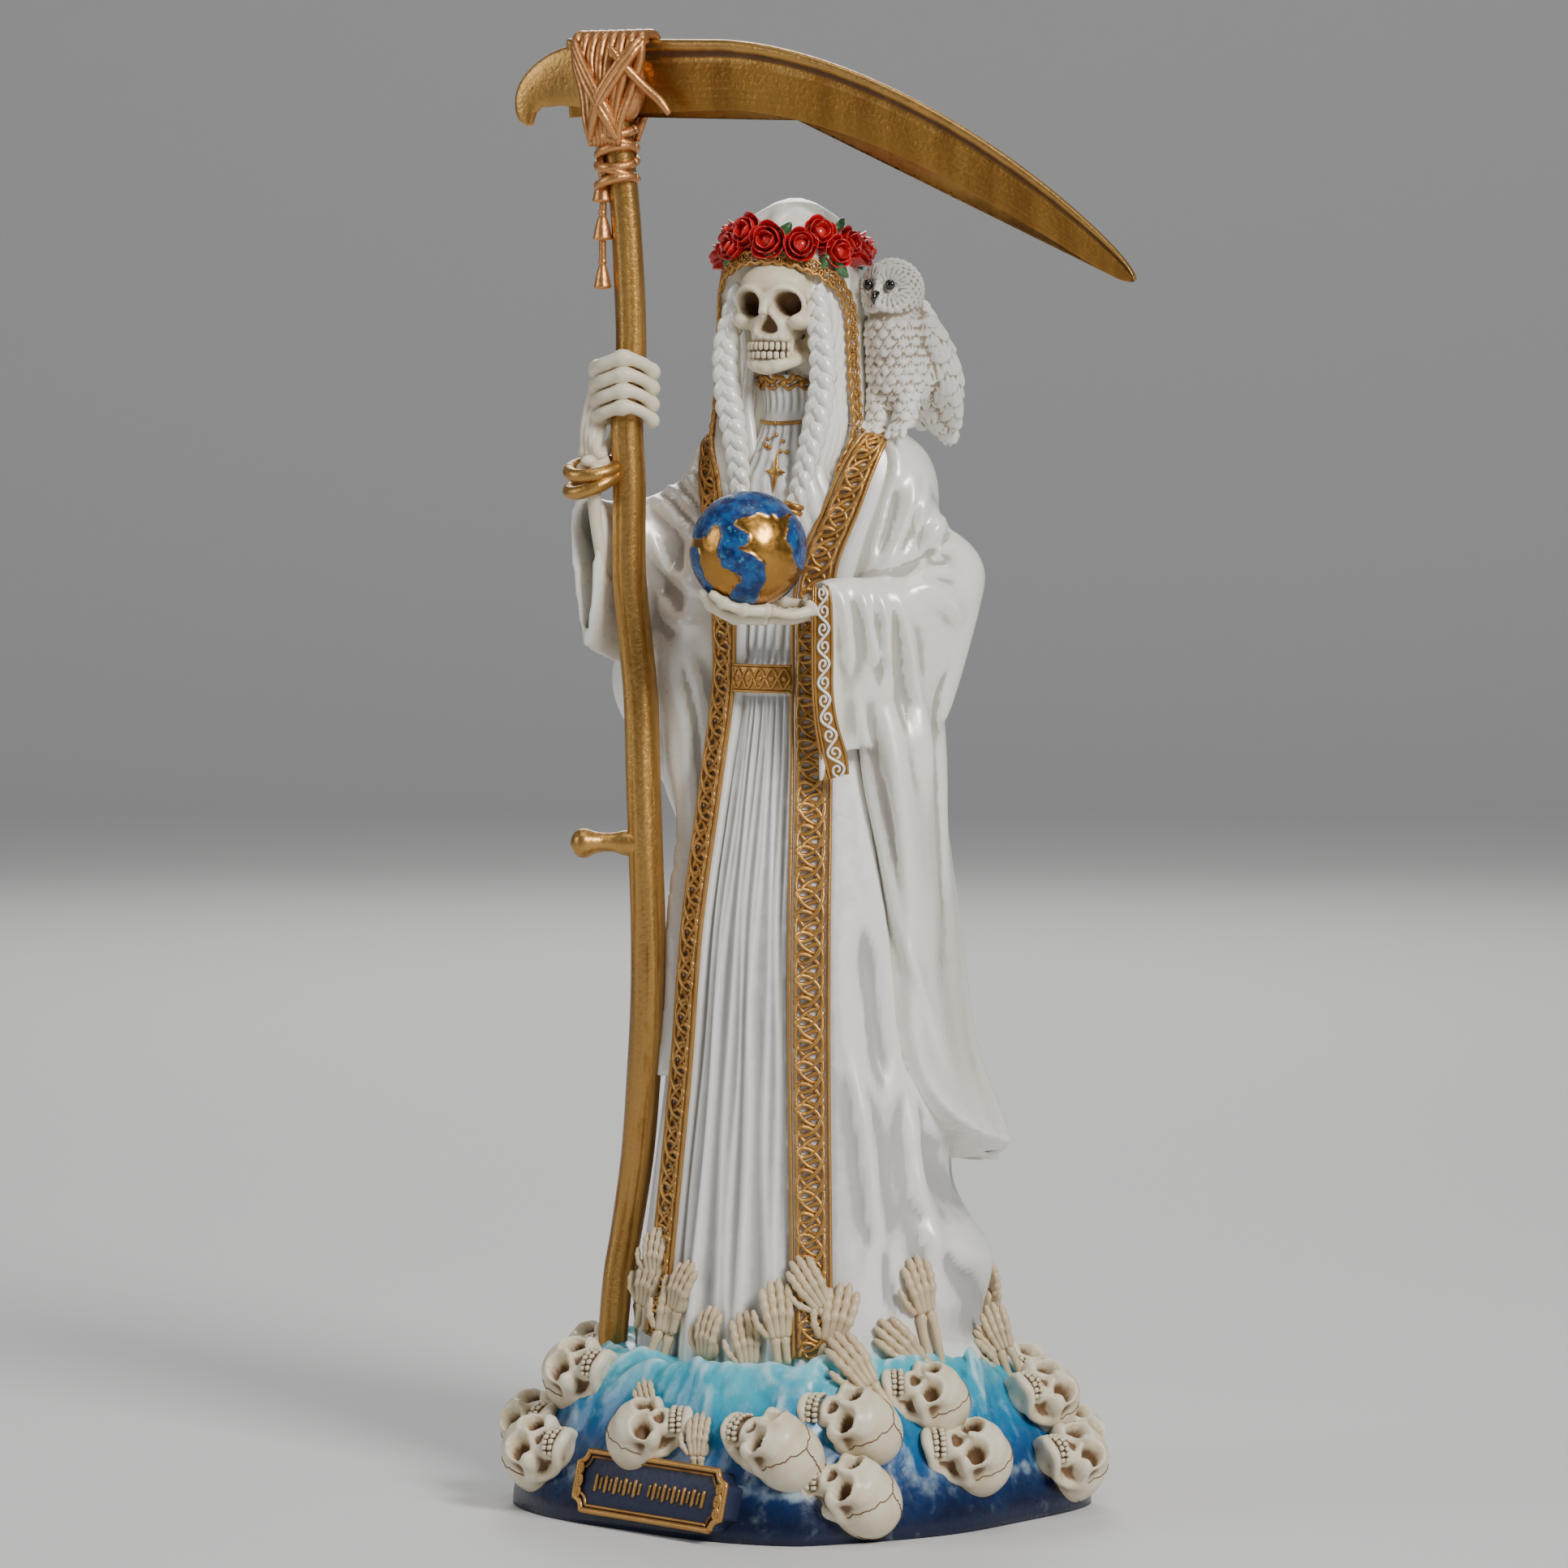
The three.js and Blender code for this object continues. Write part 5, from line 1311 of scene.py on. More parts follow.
def lying_on(normal):
    """Right, up and out of something flat that lies on a surface with this normal."""
    right = unit(np.cross(UP, normal))
    return np.stack([right, np.cross(normal, right), normal], axis=1)


def plaque_seat():
    seat = np.array([*base_plan(rad(-5), 1.0), 0.0]) + ray(PLAQUE_TURN) * (1 - PLAQUE_DEEP)
    seat[2] = PLAQUE_TALL / 2 * cos(PLAQUE_LEAN) + 1.4
    return seat, lying_on(ray(PLAQUE_TURN) * cos(PLAQUE_LEAN) + UP * sin(PLAQUE_LEAN))


def notched(count, half_width, half_height, notch):
    """The outline of a plate with scooped corners."""
    corners = []
    for k, (sx, sy) in enumerate(((1, -1), (1, 1), (-1, 1), (-1, -1))):
        middle = np.array([sx * half_width, sy * half_height])
        for turn in np.linspace(0, 90, 6):
            way = rad(90 - turn if k % 2 else turn)
            corners.append(middle - notch * np.array([sx * cos(way), sy * sin(way)]))
    return spread_evenly(np.array(corners + [corners[0]]), count)


def plate(half_width, half_height, notch, low, high, bevel):
    """A flat plate between two heights with a soft upper edge."""
    count = 120
    rim = notched(count + 1, half_width, half_height, notch)
    rows = np.array([(0, low), (0, high - bevel), (bevel * 0.35, high - bevel * 0.3), (bevel, high)])

    def place(a, b):
        inset, height = rows[index_at(b, len(rows) - 1)].T
        x, y = rim[index_at(a, count)].T
        return np.stack([x * (1 - inset / half_width), y * (1 - inset / half_height), height], axis=1)

    return sheet(count, len(rows) - 1, place)


def build_plaque():
    seat, basis = plaque_seat()
    half_width, half_height, deep = PLAQUE_WIDE / 2, PLAQUE_TALL / 2, PLAQUE_DEEP
    field = plate(half_width - 0.6, half_height - 0.6, 2.6, -3.0, deep - 0.9, 0.3)
    trim = []
    for inset, radius, height in ((0.55, 0.62, deep - 0.75), (1.6, 0.3, deep - 0.7)):
        rim = notched(161, half_width - inset, half_height - inset, 2.4)
        line = np.column_stack([rim, np.full(len(rim), height)])
        trim.append(tube(line, radius, 8, up=UP))
    for side in (-1, 1):
        for up, size in ((2.4, 1.0), (-2.4, 1.0), (0, 1.25)):
            turn = np.linspace(0, 2.2 * 2 * PI, 60)
            grow = size * (0.25 + 0.9 * turn / turn[-1])
            line = np.column_stack([side * (half_width - 1.7 + 0.55 * cos(turn) * grow),
                                    up + grow * sin(turn), np.full(len(turn), deep - 0.3)])
            trim.append(tube(line, 0.34, 6, up=UP))
    # one row of plain upright strokes with a gap
    for i in (k for k in range(STROKES) if k != STROKE_GAP):
        x = (i - 11) * STROKE_PITCH
        tall, thick = ((1.75, 0.36), (1.2, 0.27))[i % 2]
        line = np.array([[x - 0.12, -tall - 0.1, deep - 0.75], [x + 0.12, tall - 0.1, deep - 0.75]])
        trim.append(tube(spread_evenly(line, 6), thick, 8, up=UP))
    return placed(field, basis, seat), placed(gathered(trim), basis, seat)


plaque_field, plaque_trim = build_plaque()
NAVY = paint("plaque_navy", (0.012, 0.018, 0.05), (0.008, 0.012, 0.035), (0.003, 0.004, 0.01),
             (0.05, 0.06, 0.12), wash_and_shade_amount=0.6, rough=0.45, grain=0.3, stretch=(1, 1, 1), shine=0.3)
put("plaque_field", wash_and_shade_marked(plaque_field, 3, 0.3), NAVY)
put("plaque_trim", wash_and_shade_marked(plaque_trim, 3, 0.2), TRIM_GOLD)

# ------------ the hood and its lace

HOOD = [
    (204, -1, 14.5, 15), (208, -1, 14, 14.5), (216, -1, 15.5, 16), (224, -1.5, 15, 16),
    (232, -2, 14.4, 15.6), (242, -2.5, 14, 15), (250, -2.5, 13.2, 13.6), (256, -2.5, 11, 11.4),
    (261, -2.5, 8, 8.4), (264, -2.5, 4.2, 4.4), (265, -2.5, 1.2, 1.2),
]
HEAD_TURN = rad(5)
# The face opening: where its arch starts, its top and half of its angle; and where the lace ends.
ARCH_FOOT, OPEN_TOP, OPEN_SIDE = 240, 253.0, rad(78)
LACE_FOOT = 209.0


def hood_centre_x(z):
    return -1 + 1.5 * np.clip((z - 208) / 57, 0, 1)


def opening_half(z):
    """Half of the face opening as an angle, by height."""
    arch = np.sqrt(np.clip(1 - ((z - ARCH_FOOT) / (OPEN_TOP - ARCH_FOOT)) ** 2, 0, 1))
    return OPEN_SIDE * np.where(z > ARCH_FOOT, arch, 1.0) * (1 - 0.18 * soft(222 - z, 0, 14))


def on_hood(turn, z, out=0.0):
    rx = station(HOOD, z, 2) + out
    ry = station(HOOD, z, 3) + out
    return np.stack([hood_centre_x(z) + rx * sin(turn), station(HOOD, z, 1) - ry * cos(turn), z],
                    axis=-1)


def hood_relief(turn, z):
    behind = soft(np.abs(turn), rad(80), rad(120))
    folds = 0.55 * sin(turn * 8 + z * 0.05) * behind * (1 - soft(z, 244, 252))
    dome = 0.9 * sin(turn * 6 + 1.2 * sin(z * 0.2)) * within(z, 251, 256, 260.5, 264)
    gather = 0.3 * sin(turn * 15) * bump(z, 249, 4) * soft(np.abs(turn), rad(60), rad(90))
    return folds + dome + gather


def build_hood():
    foot, top = HOOD[0][0], HOOD[-1][0]

    def place(a, b):
        z = foot + (top - foot) * (1 - (1 - b) ** 1.25)
        share = 2 * a - 1
        size = np.abs(share)
        edge = np.degrees(opening_half(np.minimum(z, OPEN_TOP - 0.6)))
        near = np.where(size < 0.3, size / 0.3 * (edge - 1.5), 0)
        band = np.where((size >= 0.3) & (size < 0.36), edge - 1.5 + 3.0 * (size - 0.3) / 0.06, 0)
        far = np.where(size >= 0.36, edge + 1.5 + (180 - edge - 1.5) * (size - 0.36) / 0.64, 0)
        turn = np.radians(near + band + far) * np.sign(share) + HEAD_TURN
        local = turn - HEAD_TURN
        opening = (1 - soft(np.abs(local), opening_half(z) - rad(1.4), opening_half(z) + rad(0.8))) \
            * (1 - soft(z, OPEN_TOP - 0.7, OPEN_TOP + 0.5))
        rim = 0.7 * bump(np.abs(local) - opening_half(z), rad(3), rad(5)) * (1 - soft(z, 249, 256))
        outer = on_hood(turn, z, hood_relief(local, z) + rim)
        middle = np.stack([np.full_like(z, 0.5), np.full_like(z, -1.5), z], axis=-1)
        way = outer - middle
        length = np.linalg.norm(way, axis=-1, keepdims=True)
        limit = np.where(np.abs(local) < rad(95), 4.5 + 6.5 * np.abs(sin(local))[..., None].T, 4.5).T
        deep = np.minimum(limit.reshape(-1, 1), length)
        return middle + way / np.maximum(length, 1e-6) * (length + (deep - length) * opening[..., None])

    return sheet(176, 112, place)


def lace_path(count, out):
    """Along the edge of the face opening, from the right side over the brow to the left side."""
    rise = np.linspace(0, 1, 200)
    legs = LACE_FOOT + (ARCH_FOOT - LACE_FOOT) * rise
    arch = ARCH_FOOT + (OPEN_TOP + 0.2 - ARCH_FOOT) * sin(rise * PI / 2)
    z = np.concatenate([legs, arch[1:]])
    half = np.concatenate([opening_half(legs), OPEN_SIDE * cos(rise[1:] * PI / 2)])
    turn = np.concatenate([-half, half[::-1][1:]]) + HEAD_TURN
    z = np.concatenate([z, z[::-1][1:]])
    return spread_evenly(on_hood(turn, z, out), count)


def build_lace():
    rng = random.Random(5)
    count, curls = 260, 118
    line = lace_path(count, 0.8)
    _, _, along = turned_frames(line)
    outward = unit((line - (0.5, -1.5, 238.0)) * (1, 1, 0.35))
    side = unit(np.cross(along, outward))
    outward = np.cross(side, along)
    ripple = np.linspace(0, 2 * PI * 46, count)
    parts = [tube(line + (1.25 + 0.3 * sin(ripple))[:, None] * side + 0.05 * outward, 0.42, 6),
             tube(line - (1.3 + 0.25 * cos(ripple))[:, None] * side + 0.05 * outward, 0.36, 6)]
    for k in range(curls):
        i = int(1 + k * (count - 3) / curls)
        size = rng.uniform(0.75, 1.0)
        turn = np.linspace(0, 1.4 * 2 * PI, 12) + rng.uniform(0, 6)
        grow = size * np.linspace(0.3, 1.0, 12)
        ring = line[i] + side[i] * 0.55 * (-1) ** k + outward[i] * 0.22
        ring = ring + (grow * cos(turn))[:, None] * along[i]
        ring = ring + (0.85 * grow * sin(turn))[:, None] * side[i]
        parts.append(tube(ring, 0.2, 4))
    # small scallops that hang from the brow, with a drop in the middle
    brow = lace_path(101, 0.5)[34:67]
    for k in range(6):
        a, b = brow[int(k * 5.3)], brow[int(k * 5.3 + 5.3)]
        t = np.linspace(0, 1, 12)
        arc = a + (b - a) * t[:, None]
        arc[:, 2] -= 1.3 * sin(t * PI)
        arc[:, 1] -= 0.4
        parts.append(tube(arc, 0.3, 6))
    drop = brow[16].copy()
    drop[1] -= 0.5
    for step, size in ((1.6, 0.75), (2.9, 0.5), (3.9, 0.62), (5.0, 0.4)):
        parts.append(ball(drop - np.array([0, -0.12 * step, step]), (size, size * 0.7, size), rings=2))
    return gathered(parts)


put("hood", wash_and_shade_marked(build_hood(), 8, 0.4), PEARL)
put("hood_lace", wash_and_shade_marked(build_lace(), 4, 0.09), TRIM_GOLD)

# ------------ the face

FACE_CENTRE = np.array([1.7, -8.6, 243.8])
FACE_RADIUS = 10.5


def build_face():
    form, teeth, pit_wash_and_shade = skull_form(0.04, 2, 10)
    wash_and_shade_marked(form, 6, 0.03)
    # On the face the pits take even more of the deeper colour: partly a brown wash, partly painted
    # shade.
    keep(form, "hollow", np.clip(np.maximum(hollows_of(form), 1.15 * pit_wash_and_shade), 0, 1))
    basis = heading(ray(HEAD_TURN, 0.03), UP)
    return gathered([placed(bone, basis, FACE_CENTRE, FACE_RADIUS) for bone in (form, teeth)])


put("face", build_face(), BONE)

# ------------ hair, collar and star

RIGHT_BRAID = [(-6.8, -12, 247), (-7.6, -13.6, 241), (-8.2, -15.2, 235), (-7.4, -15.9, 226),
               (-5.6, -16.2, 217.5), (-4.4, -16.4, 209), (-3.9, -16.8, 203)]
LEFT_BRAID = [(9.8, -11, 247), (11.6, -12.4, 240), (12.9, -13.0, 233), (12.8, -13.6, 225),
              (11.4, -14.8, 216.5), (9.4, -15.8, 208), (8.0, -16.4, 203)]


def braid(points):
    """Three plaited strands with a gold tie and a loose tuft."""
    line = line_through(points, 150)
    across, out, along = turned_frames(line, (0, -1, 0))
    reach = np.linspace(0, 1, 150)
    thick = 0.85 + 0.3 * sin(reach * PI) - 0.15 * reach
    parts = []
    for k in range(3):
        phase = 2 * PI * (reach * 4.6 + k / 3)
        weave = line + (1.5 * thick * sin(phase))[:, None] * across
        weave = weave + (0.75 * thick * sin(2 * phase))[:, None] * out
        parts.append(tube(weave, 1.32 * thick * (1 + 0.12 * cos(2 * phase)), 10, ribs=5, rib=0.07,
                          twist=22))
    end, across, out, way = line[-1], across[-1], out[-1], along[-1]
    t = np.linspace(0, 1, 12)[:, None]
    for k in range(9):
        turn = 2 * PI * k / 9
        lean = 0.28 * (cos(turn) * across + sin(turn) * out)
        lock = end + lean * 2 + (way + lean * 1.6 * sin(t * PI)) * t * 9.5
        lock = lock + 0.25 * sin(t * 7 + k) * across
        parts.append(tube(lock, 1 - 0.8 * t[:, 0] ** 2, 8, ribs=3, rib=0.08))
    turn = circle(25)[:, None]
    ring = 1.65 * (cos(turn) * across + 0.9 * sin(turn) * out)
    return parts, [tube(end + way * shift + ring, 0.6, 8) for shift in (-0.6, 0.6)]


def side_hair():
    """Loose waves between the face and the hood."""
    rng = random.Random(8)
    parts = []
    for side in (-1, 1):
        for k in range(6):
            x = 1.7 + side * (8.0 + 0.75 * k)
            y = -9.5 + 1.15 * k
            line = line_through([(x - side * 2.5, y + 1.5, 252 - 0.5 * k), (x, y - 0.5, 247),
                                 (x + side * 0.5 * sin(k), y, 240), (x - side * 0.3, y - 0.5, 232),
                                 (x - side * 0.8, y - 1.0, 222), (x - side * 2, y - 2.0, 212),
                                 (x - side * 4, y + 1.5, 203)], 60)
            wave = 0.35 * sin(np.linspace(0, 17, 60) + rng.uniform(0, 6))
            line = line + wave[:, None] * np.array([1, 0.6, 0])
            parts.append(tube(line, 1.15, 8, ribs=4, rib=0.09, twist=12))
    return parts


def build_collar():
    def place(a, b):
        turn = PI * (2 * a - 1)
        z = 190 + 39.6 * b
        rows = [(190, 2, 10.5), (198, -2, 12.2), (204, -4.6, 12.0), (209, -5.6, 10.4), (213, -5.5, 8.6),
                (218, -5.2, 6.4), (222, -5, 5.7), (229, -5.4, 6.0), (230, -5.4, 5.9)]
        reach = station(rows, z, 2) + 0.22 * sin(turn * 22 + 0.4 * sin(z)) * (1 - bump(z, 221, 1.4))
        return np.stack([1.2 + reach * sin(turn), station(rows, z, 1) - reach * cos(turn), z], axis=-1)

    return sheet(112, 70, place)


# Places in the picture and sizes of the beads on the chest.
CHEST_BEADS = [(944, 545, .55), (950, 547, .5), (963, 552, .5), (969, 553, .5), (957, 532, .5),
               (947, 537, .45), (966, 540, .45)]


def on_chest(px, py, lift):
    """The point of the collar or the coat at a place in the picture."""
    for tree in (COLLAR_TREE, COAT_TREE):
        point, _ = seen_on(tree, *from_picture(px, py), lift)
        if point is not None:
            return point
    return None


def build_neck_gold():
    parts = []
    turn = circle(61)
    for height, reach, radius, wave in ((228.6, 6.35, 0.55, 0.5), (227.2, 6.2, 0.4, 0.5),
                                        (220.6, 5.95, 0.4, 0.0)):
        ring = np.stack([1.2 + reach * sin(turn), -5.3 - reach * cos(turn),
                         height + wave * sin(turn * 11) - 0.12 * reach * cos(turn) * (wave == 0)],
                        axis=1)
        parts.append(tube(ring, radius, 7))
    for k in range(22):
        way = 2 * PI * k / 22
        parts.append(ball((1.2 + 6.6 * sin(way), -5.3 - 6.6 * cos(way), 228.4 + 0.6 * (-1) ** k),
                          (0.62, 0.62, 0.8), rings=2))
    for px, py, size in CHEST_BEADS:
        point = on_chest(px, py, 0.3)
        if point is not None:
            parts.append(ball(point, size, rings=2))
    return parts


def build_star():
    point = on_chest(956, 578, 0.7)
    basis = heading(np.array([0.1, -1.0, 0.15]), (0.05, 0, 1))
    parts = []
    for half in ((0.75, 0.55, 4.4), (2.5, 0.55, 0.75), (1.15, 0.6, 1.15)):
        made = ball()
        points = verts_of(made)
        longest = int(np.argmax(half))
        share = np.abs(points[:, longest])
        taper = (1 - share ** 1.3)[:, None] if max(half) > 2 else 1
        points = np.where(np.arange(3) == longest, points,
                          points * (0.25 + 0.75 * taper)) * np.array(half)
        move_verts(made, points @ basis.T + point)
        parts.append(made)
    return parts


collar_mesh = build_collar()
COLLAR_TREE = tree_of(collar_mesh)
right_braid, right_tie = braid(RIGHT_BRAID)
left_braid, left_tie = braid(LEFT_BRAID)
put("collar", wash_and_shade_marked(collar_mesh, 4, 0.15), GOWN_WHITE)
put("braids", wash_and_shade_marked(gathered(right_braid + left_braid), 7, 0.12), PEARL)
put("side_hair", wash_and_shade_marked(gathered(side_hair()), 5, 0.07), PEARL)
put("neck_gold", wash_and_shade_marked(gathered(build_neck_gold() + build_star() + right_tie + left_tie), 3, 0.15),
    TRIM_GOLD)

# ------------ the wreath

# Turn round the head, height and size of each rose.
ROSES = [
    (-84, 254.5, 1), (-62, 253.2, 0.95), (-52, 257, 0.95), (-33, 255.3, 0.95), (-17, 257.8, 1.05),
    (8, 256.2, 1.1), (36, 255.2, 0.98), (54, 257.6, 0.98), (68, 254, 0.95), (84, 255.6, 0.95),
    (100, 254.2, 1), (128, 254.6, 1), (152, 254.2, 1), (176, 254.6, 1), (200, 254.2, 1),
    (224, 254.6, 1), (250, 254.2, 1),
]
LEAVES = [
    (20, 258), (60, 252.6), (72, 250.8), (66, 259.4), (88, 259), (-72, 251), (116, 253), (140, 252.6),
    (164, 256.6), (188, 252.6), (212, 256.4), (236, 252.6), (262, 256.4), (-44, 252.8),
]


def on_wreath(degrees, z, out, rise):
    """A place on the wreath and the way out from it."""
    turn = rad(degrees)
    return on_hood(np.array(turn), np.array(float(z)), out), ray(turn, rise)


def rose(size, seed):
    rng = random.Random(seed)
    parts = [ball((0, 0, 0), (0.62 * size, 0.62 * size, 0.75 * size), rings=2)]
    for layer, count, reach, width, rise, lean in ((0, 3, 0.42, 0.62, 0.42, 0.15),
                                                   (1, 4, 0.66, 0.78, 0.22, 0.35),
                                                   (2, 5, 0.86, 0.86, -0.06, 0.75)):
        for k in range(count):
            turn = 2 * PI * (k + 0.5 * layer) / count + rng.uniform(-0.15, 0.15)
            petal = ball()
            x, y, z = verts_of(petal).T
            wide = width * (0.75 + 0.25 * z)
            px = x * wide
            pz = z * 0.72 + rise
            py = reach + 0.1 * y - 0.384 * px ** 2 / max(reach, 0.4)
            py = py + lean * 0.3 * np.clip(z + 0.2, 0, 2) ** 2
            spun = [px * cos(turn) - py * sin(turn), px * sin(turn) + py * cos(turn), pz]
            move_verts(petal, size * np.stack(spun, axis=1))
            parts.append(petal)
    return gathered(parts)


def leaf(length):
    made = ball()
    x, y, z = verts_of(made).T
    wide = 0.55 * (1 - 0.35 * z) * (1 + 0.08 * cos(z * 16))
    crease = -0.22 * (1 - np.abs(x)) + 0.12 * z * z
    rib = 0.05 * cos(z * 16 + 5 * np.abs(x))
    move_verts(made, length * np.stack([x * wide, 0.16 * y + crease + rib * (y < 0), z], axis=1))
    return made


def build_wreath():
    flowers, greens = [], []
    for k, (degrees, z, size) in enumerate(ROSES):
        centre, out = on_wreath(degrees, z, 1.3, 0.22 + 0.12 * sin(k * 2.1))
        flowers.append(placed(rose(3.15 * size, 40 + k), lying_on(unit(out)), centre))
    for k, (degrees, z) in enumerate(LEAVES):
        centre, out = on_wreath(degrees, z, 1.2, 0.1)
        crown = 0.8 * (-1) ** k * np.array([-out[1], out[0], 0]) + UP * (1 if z > 255 else -1)
        greens.append(placed(leaf(2.5), heading(out, crown), centre))
    return gathered(flowers), gathered(greens)


ROSE_RED = paint("rose_red", (0.56, 0.006, 0.01), (0.42, 0.003, 0.008), (0.07, 0.0, 0.0),
                 (0.8, 0.07, 0.05), wash_and_shade_amount=0.85, rough=0.26, coat=0.4, grain=0.08, stretch=(1, 1, 1))
LEAF_GREEN = paint("leaf_green", (0.03, 0.12, 0.03), (0.02, 0.08, 0.03), (0.004, 0.02, 0.006),
                   (0.13, 0.3, 0.1), wash_and_shade_amount=0.85, brushed=0.25, rough=0.3, coat=0.4, stretch=(1, 1, 1))
roses, leaves = build_wreath()
put("wreath_roses", wash_and_shade_marked(roses, 3, 0.3), ROSE_RED)
put("wreath_leaves", wash_and_shade_marked(leaves, 3, 0.2), LEAF_GREEN)

# ------------ the owl

OWL_HEAD = np.array([19.5, 3.5, 246.4])
OWL_FRONT = unit([0.02, -1.0, 0.0])
OWL_X = 20


def feathered(mesh, low, high, rows, around, depth):
    """Rows of overlapping round-ended feathers, tips down, about an axis from low to high."""
    points = verts_of(mesh)
    normals = normals_of(mesh)
    span = np.subtract(high, low)
    way = unit(span)
    right = unit(np.cross([0, 1.0, 0], way))
    front = np.cross(way, right)
    rel = points - low
    v = rel @ way / np.linalg.norm(span) * rows
    turn = np.arctan2(rel @ right, rel @ front)
    best = np.zeros(len(points))
    for step in (-1, 0, 1):
        row = np.floor(v) + step
        t = (v - row) / 1.75
        u = turn / (2 * PI) * around + 0.5 * (row % 2)
        g = 2 * (u - np.floor(u)) - 1
        wide = np.sqrt(np.clip(1 - np.clip(1 - t / 0.42, 0, 1) ** 2, 0, 1))
        inside = (t > 0) & (t < 1) & (np.abs(g) < wide + 0.02)
        height = (1 - 0.85 * t) * (1 - 0.25 * g * g) + 0.1 * cos(g * 14) * (t > 0.05)
        best = np.maximum(best, np.where(inside, height, 0))
    return points + (depth * (best - 0.45))[:, None] * normals


def owl_form():
    parts = [ball(OWL_HEAD, (6.5, 6.4, 6.5)),
             ball((OWL_X, 7.4, 233.5), (7.7, 7.4, 12.4), heading((0, -1, 0.3), (0, 0.3, 1))),
             ball((OWL_X, 4.2, 237.0), (6.6, 5.6, 8.2)),
             limb([(OWL_X, 11, 232), (20.3, 17, 225.5), (20.6, 22.5, 220), (20.6, 26.5, 216.2)],
                  [4.4, 4.0, 3.3, 1.6], 14, 20)]
    for side in (-1, 1):
        parts.append(limb([(OWL_X + 6.2 * side, 4.5, 241), (OWL_X + 7.0 * side, 7, 236),
                           (OWL_X + 6.8 * side, 12, 229.5), (OWL_X + 5.0 * side, 18, 223.5),
                           (OWL_X + 3.6 * side, 22.5, 219)], [2.2, 3.4, 3.5, 2.6, 1.2], 14, 24))
        parts.append(limb([(OWL_X + 2.9 * side, 3.5, 226), (OWL_X + 3.1 * side, 2.0, 219.5)],
                          [3.0, 2.2], 10, 8))
        for k in (-1, 0, 1):
            parts.append(limb([(OWL_X + 3.1 * side + k, 1.2, 219.6),
                               (OWL_X + 3.2 * side + 1.6 * k, -1.2, 218.6),
                               (OWL_X + 3.2 * side + 1.9 * k, -2.2, 216.8)], [0.8, 0.75, 0.4], 8, 8))
    form = fused(gathered(parts), 0.46, 2)
    points = verts_of(form)
    rel = points - OWL_HEAD
    reach = np.linalg.norm(rel, axis=1)
    # the body, the wings and the tail each have their own size of feather
    small = feathered(form, (OWL_X, 7.4, 219), (OWL_X, 6.0, 243), 13, 17, 0.85)
    long = feathered(form, (20.4, 24, 214), (OWL_X, 9, 242), 8, 13, 0.95)
    side = soft(np.abs(points[:, 0] - OWL_X), 5.4, 6.6) * soft(points[:, 1], 3.5, 6.5)
    back = soft(points[:, 1], 9.5, 12)
    share = np.maximum(side, back)[:, None]
    dressed = small + (long - small) * share
    facing = unit(rel) @ OWL_FRONT
    across = rel[:, 0]
    up = rel[:, 2] - 0.6
    near = np.hypot(np.abs(across) - 2.5, up)
    spoke = np.arctan2(up, np.abs(across) - 2.5)
    disc = soft(facing, 0.35, 0.62)
    rays = 0.24 * sin(spoke * 22) * within(near, 1.0, 1.8, 4.3, 5.2)
    rim = 0.55 * bump(near, 4.4, 0.6)
    cup = -0.75 * (1 - soft(near, 0.8, 3.8))
    ridge = 0.9 * bump(across, 0, 0.9) * bump(up, -0.8, 2.6)
    outer = 0.32 * sin(np.arctan2(across, up) * 22 + 3 * reach) * sin(facing * 22)
    lift = disc * (rays + rim + cup + ridge) + (1 - disc) * outer
    headed = points + lift[:, None] * unit(rel)
    blend = soft(points[:, 2], 239.8, 241.4) * (reach < 8.6)
    move_verts(form, dressed + (headed - dressed) * blend[:, None])
    return form


OWL_WHITE = paint("owl_white", (0.8, 0.775, 0.71), (0.76, 0.72, 0.64), (0.29, 0.215, 0.135),
                  (0.93, 0.91, 0.86), wash_and_shade_amount=0.9, brushed=0.5, rough=0.55, grain=0.3, grain_size=1100,
                  stretch=(1, 1, 1), patch=260)
DARK = paint("owl_eye", (0.006, 0.005, 0.005), (0.004, 0.004, 0.004), (0.001, 0.001, 0.001),
             (0.02, 0.02, 0.02), wash_and_shade_amount=0.2, brushed=0.1, rough=0.14, coat=0.9, grain=0.02)
put("owl", wash_and_shade_marked(owl_form(), 5, 0.085), OWL_WHITE)
beads = [ball(OWL_HEAD + (x, -5.55, 1.1), (1.12, 0.8, 1.12)) for x in (-2.55, 2.55)]
beads.append(limb(OWL_HEAD + [(0, -6.3, -0.5), (0, -7.6, -1.4), (0, -7.5, -2.8)], [0.75, 0.7, 0.2], 10,
                  12))
put("owl_eyes_and_beak", wash_and_shade_marked(gathered(beads), 3, 0.2), DARK)

# ------------ the globe

GLOBE = np.array([5.0, -29.0, 195.0])
GLOBE_RADIUS = 11.4
# Land as the viewer sees it, on a disc of radius 1: lines with a width.
SEEN_LAND = [([(-0.85, 0.45), (-0.45, 0.8), (0.1, 0.95), (0.55, 0.82)], 0.26),
             ([(-0.62, 0.62), (-0.3, 0.66), (0.0, 0.7)], 0.14),
             ([(-0.28, 0.62), (-0.4, 0.42), (-0.25, 0.28), (-0.1, 0.2)], 0.13),
             ([(-0.2, 0.22), (-0.38, 0.0), (-0.3, -0.2)], 0.15),
             ([(-0.3, -0.15), (-0.02, -0.25), (0.12, -0.4), (0.02, -0.62), (-0.15, -0.88)], 0.2),
             ([(0.98, 0.5), (0.93, 0.2), (1.0, -0.1)], 0.24), ([(0.8, 0.5), (0.76, 0.28)], 0.1),
             ([(-1.0, -0.1), (-0.93, -0.42), (-0.75, -0.72)], 0.16)]


def cloud(points, scale, shift=0):
    """A cloudy value for each point."""
    return np.array([noise.noise(Vector(point * scale + shift)) for point in points])


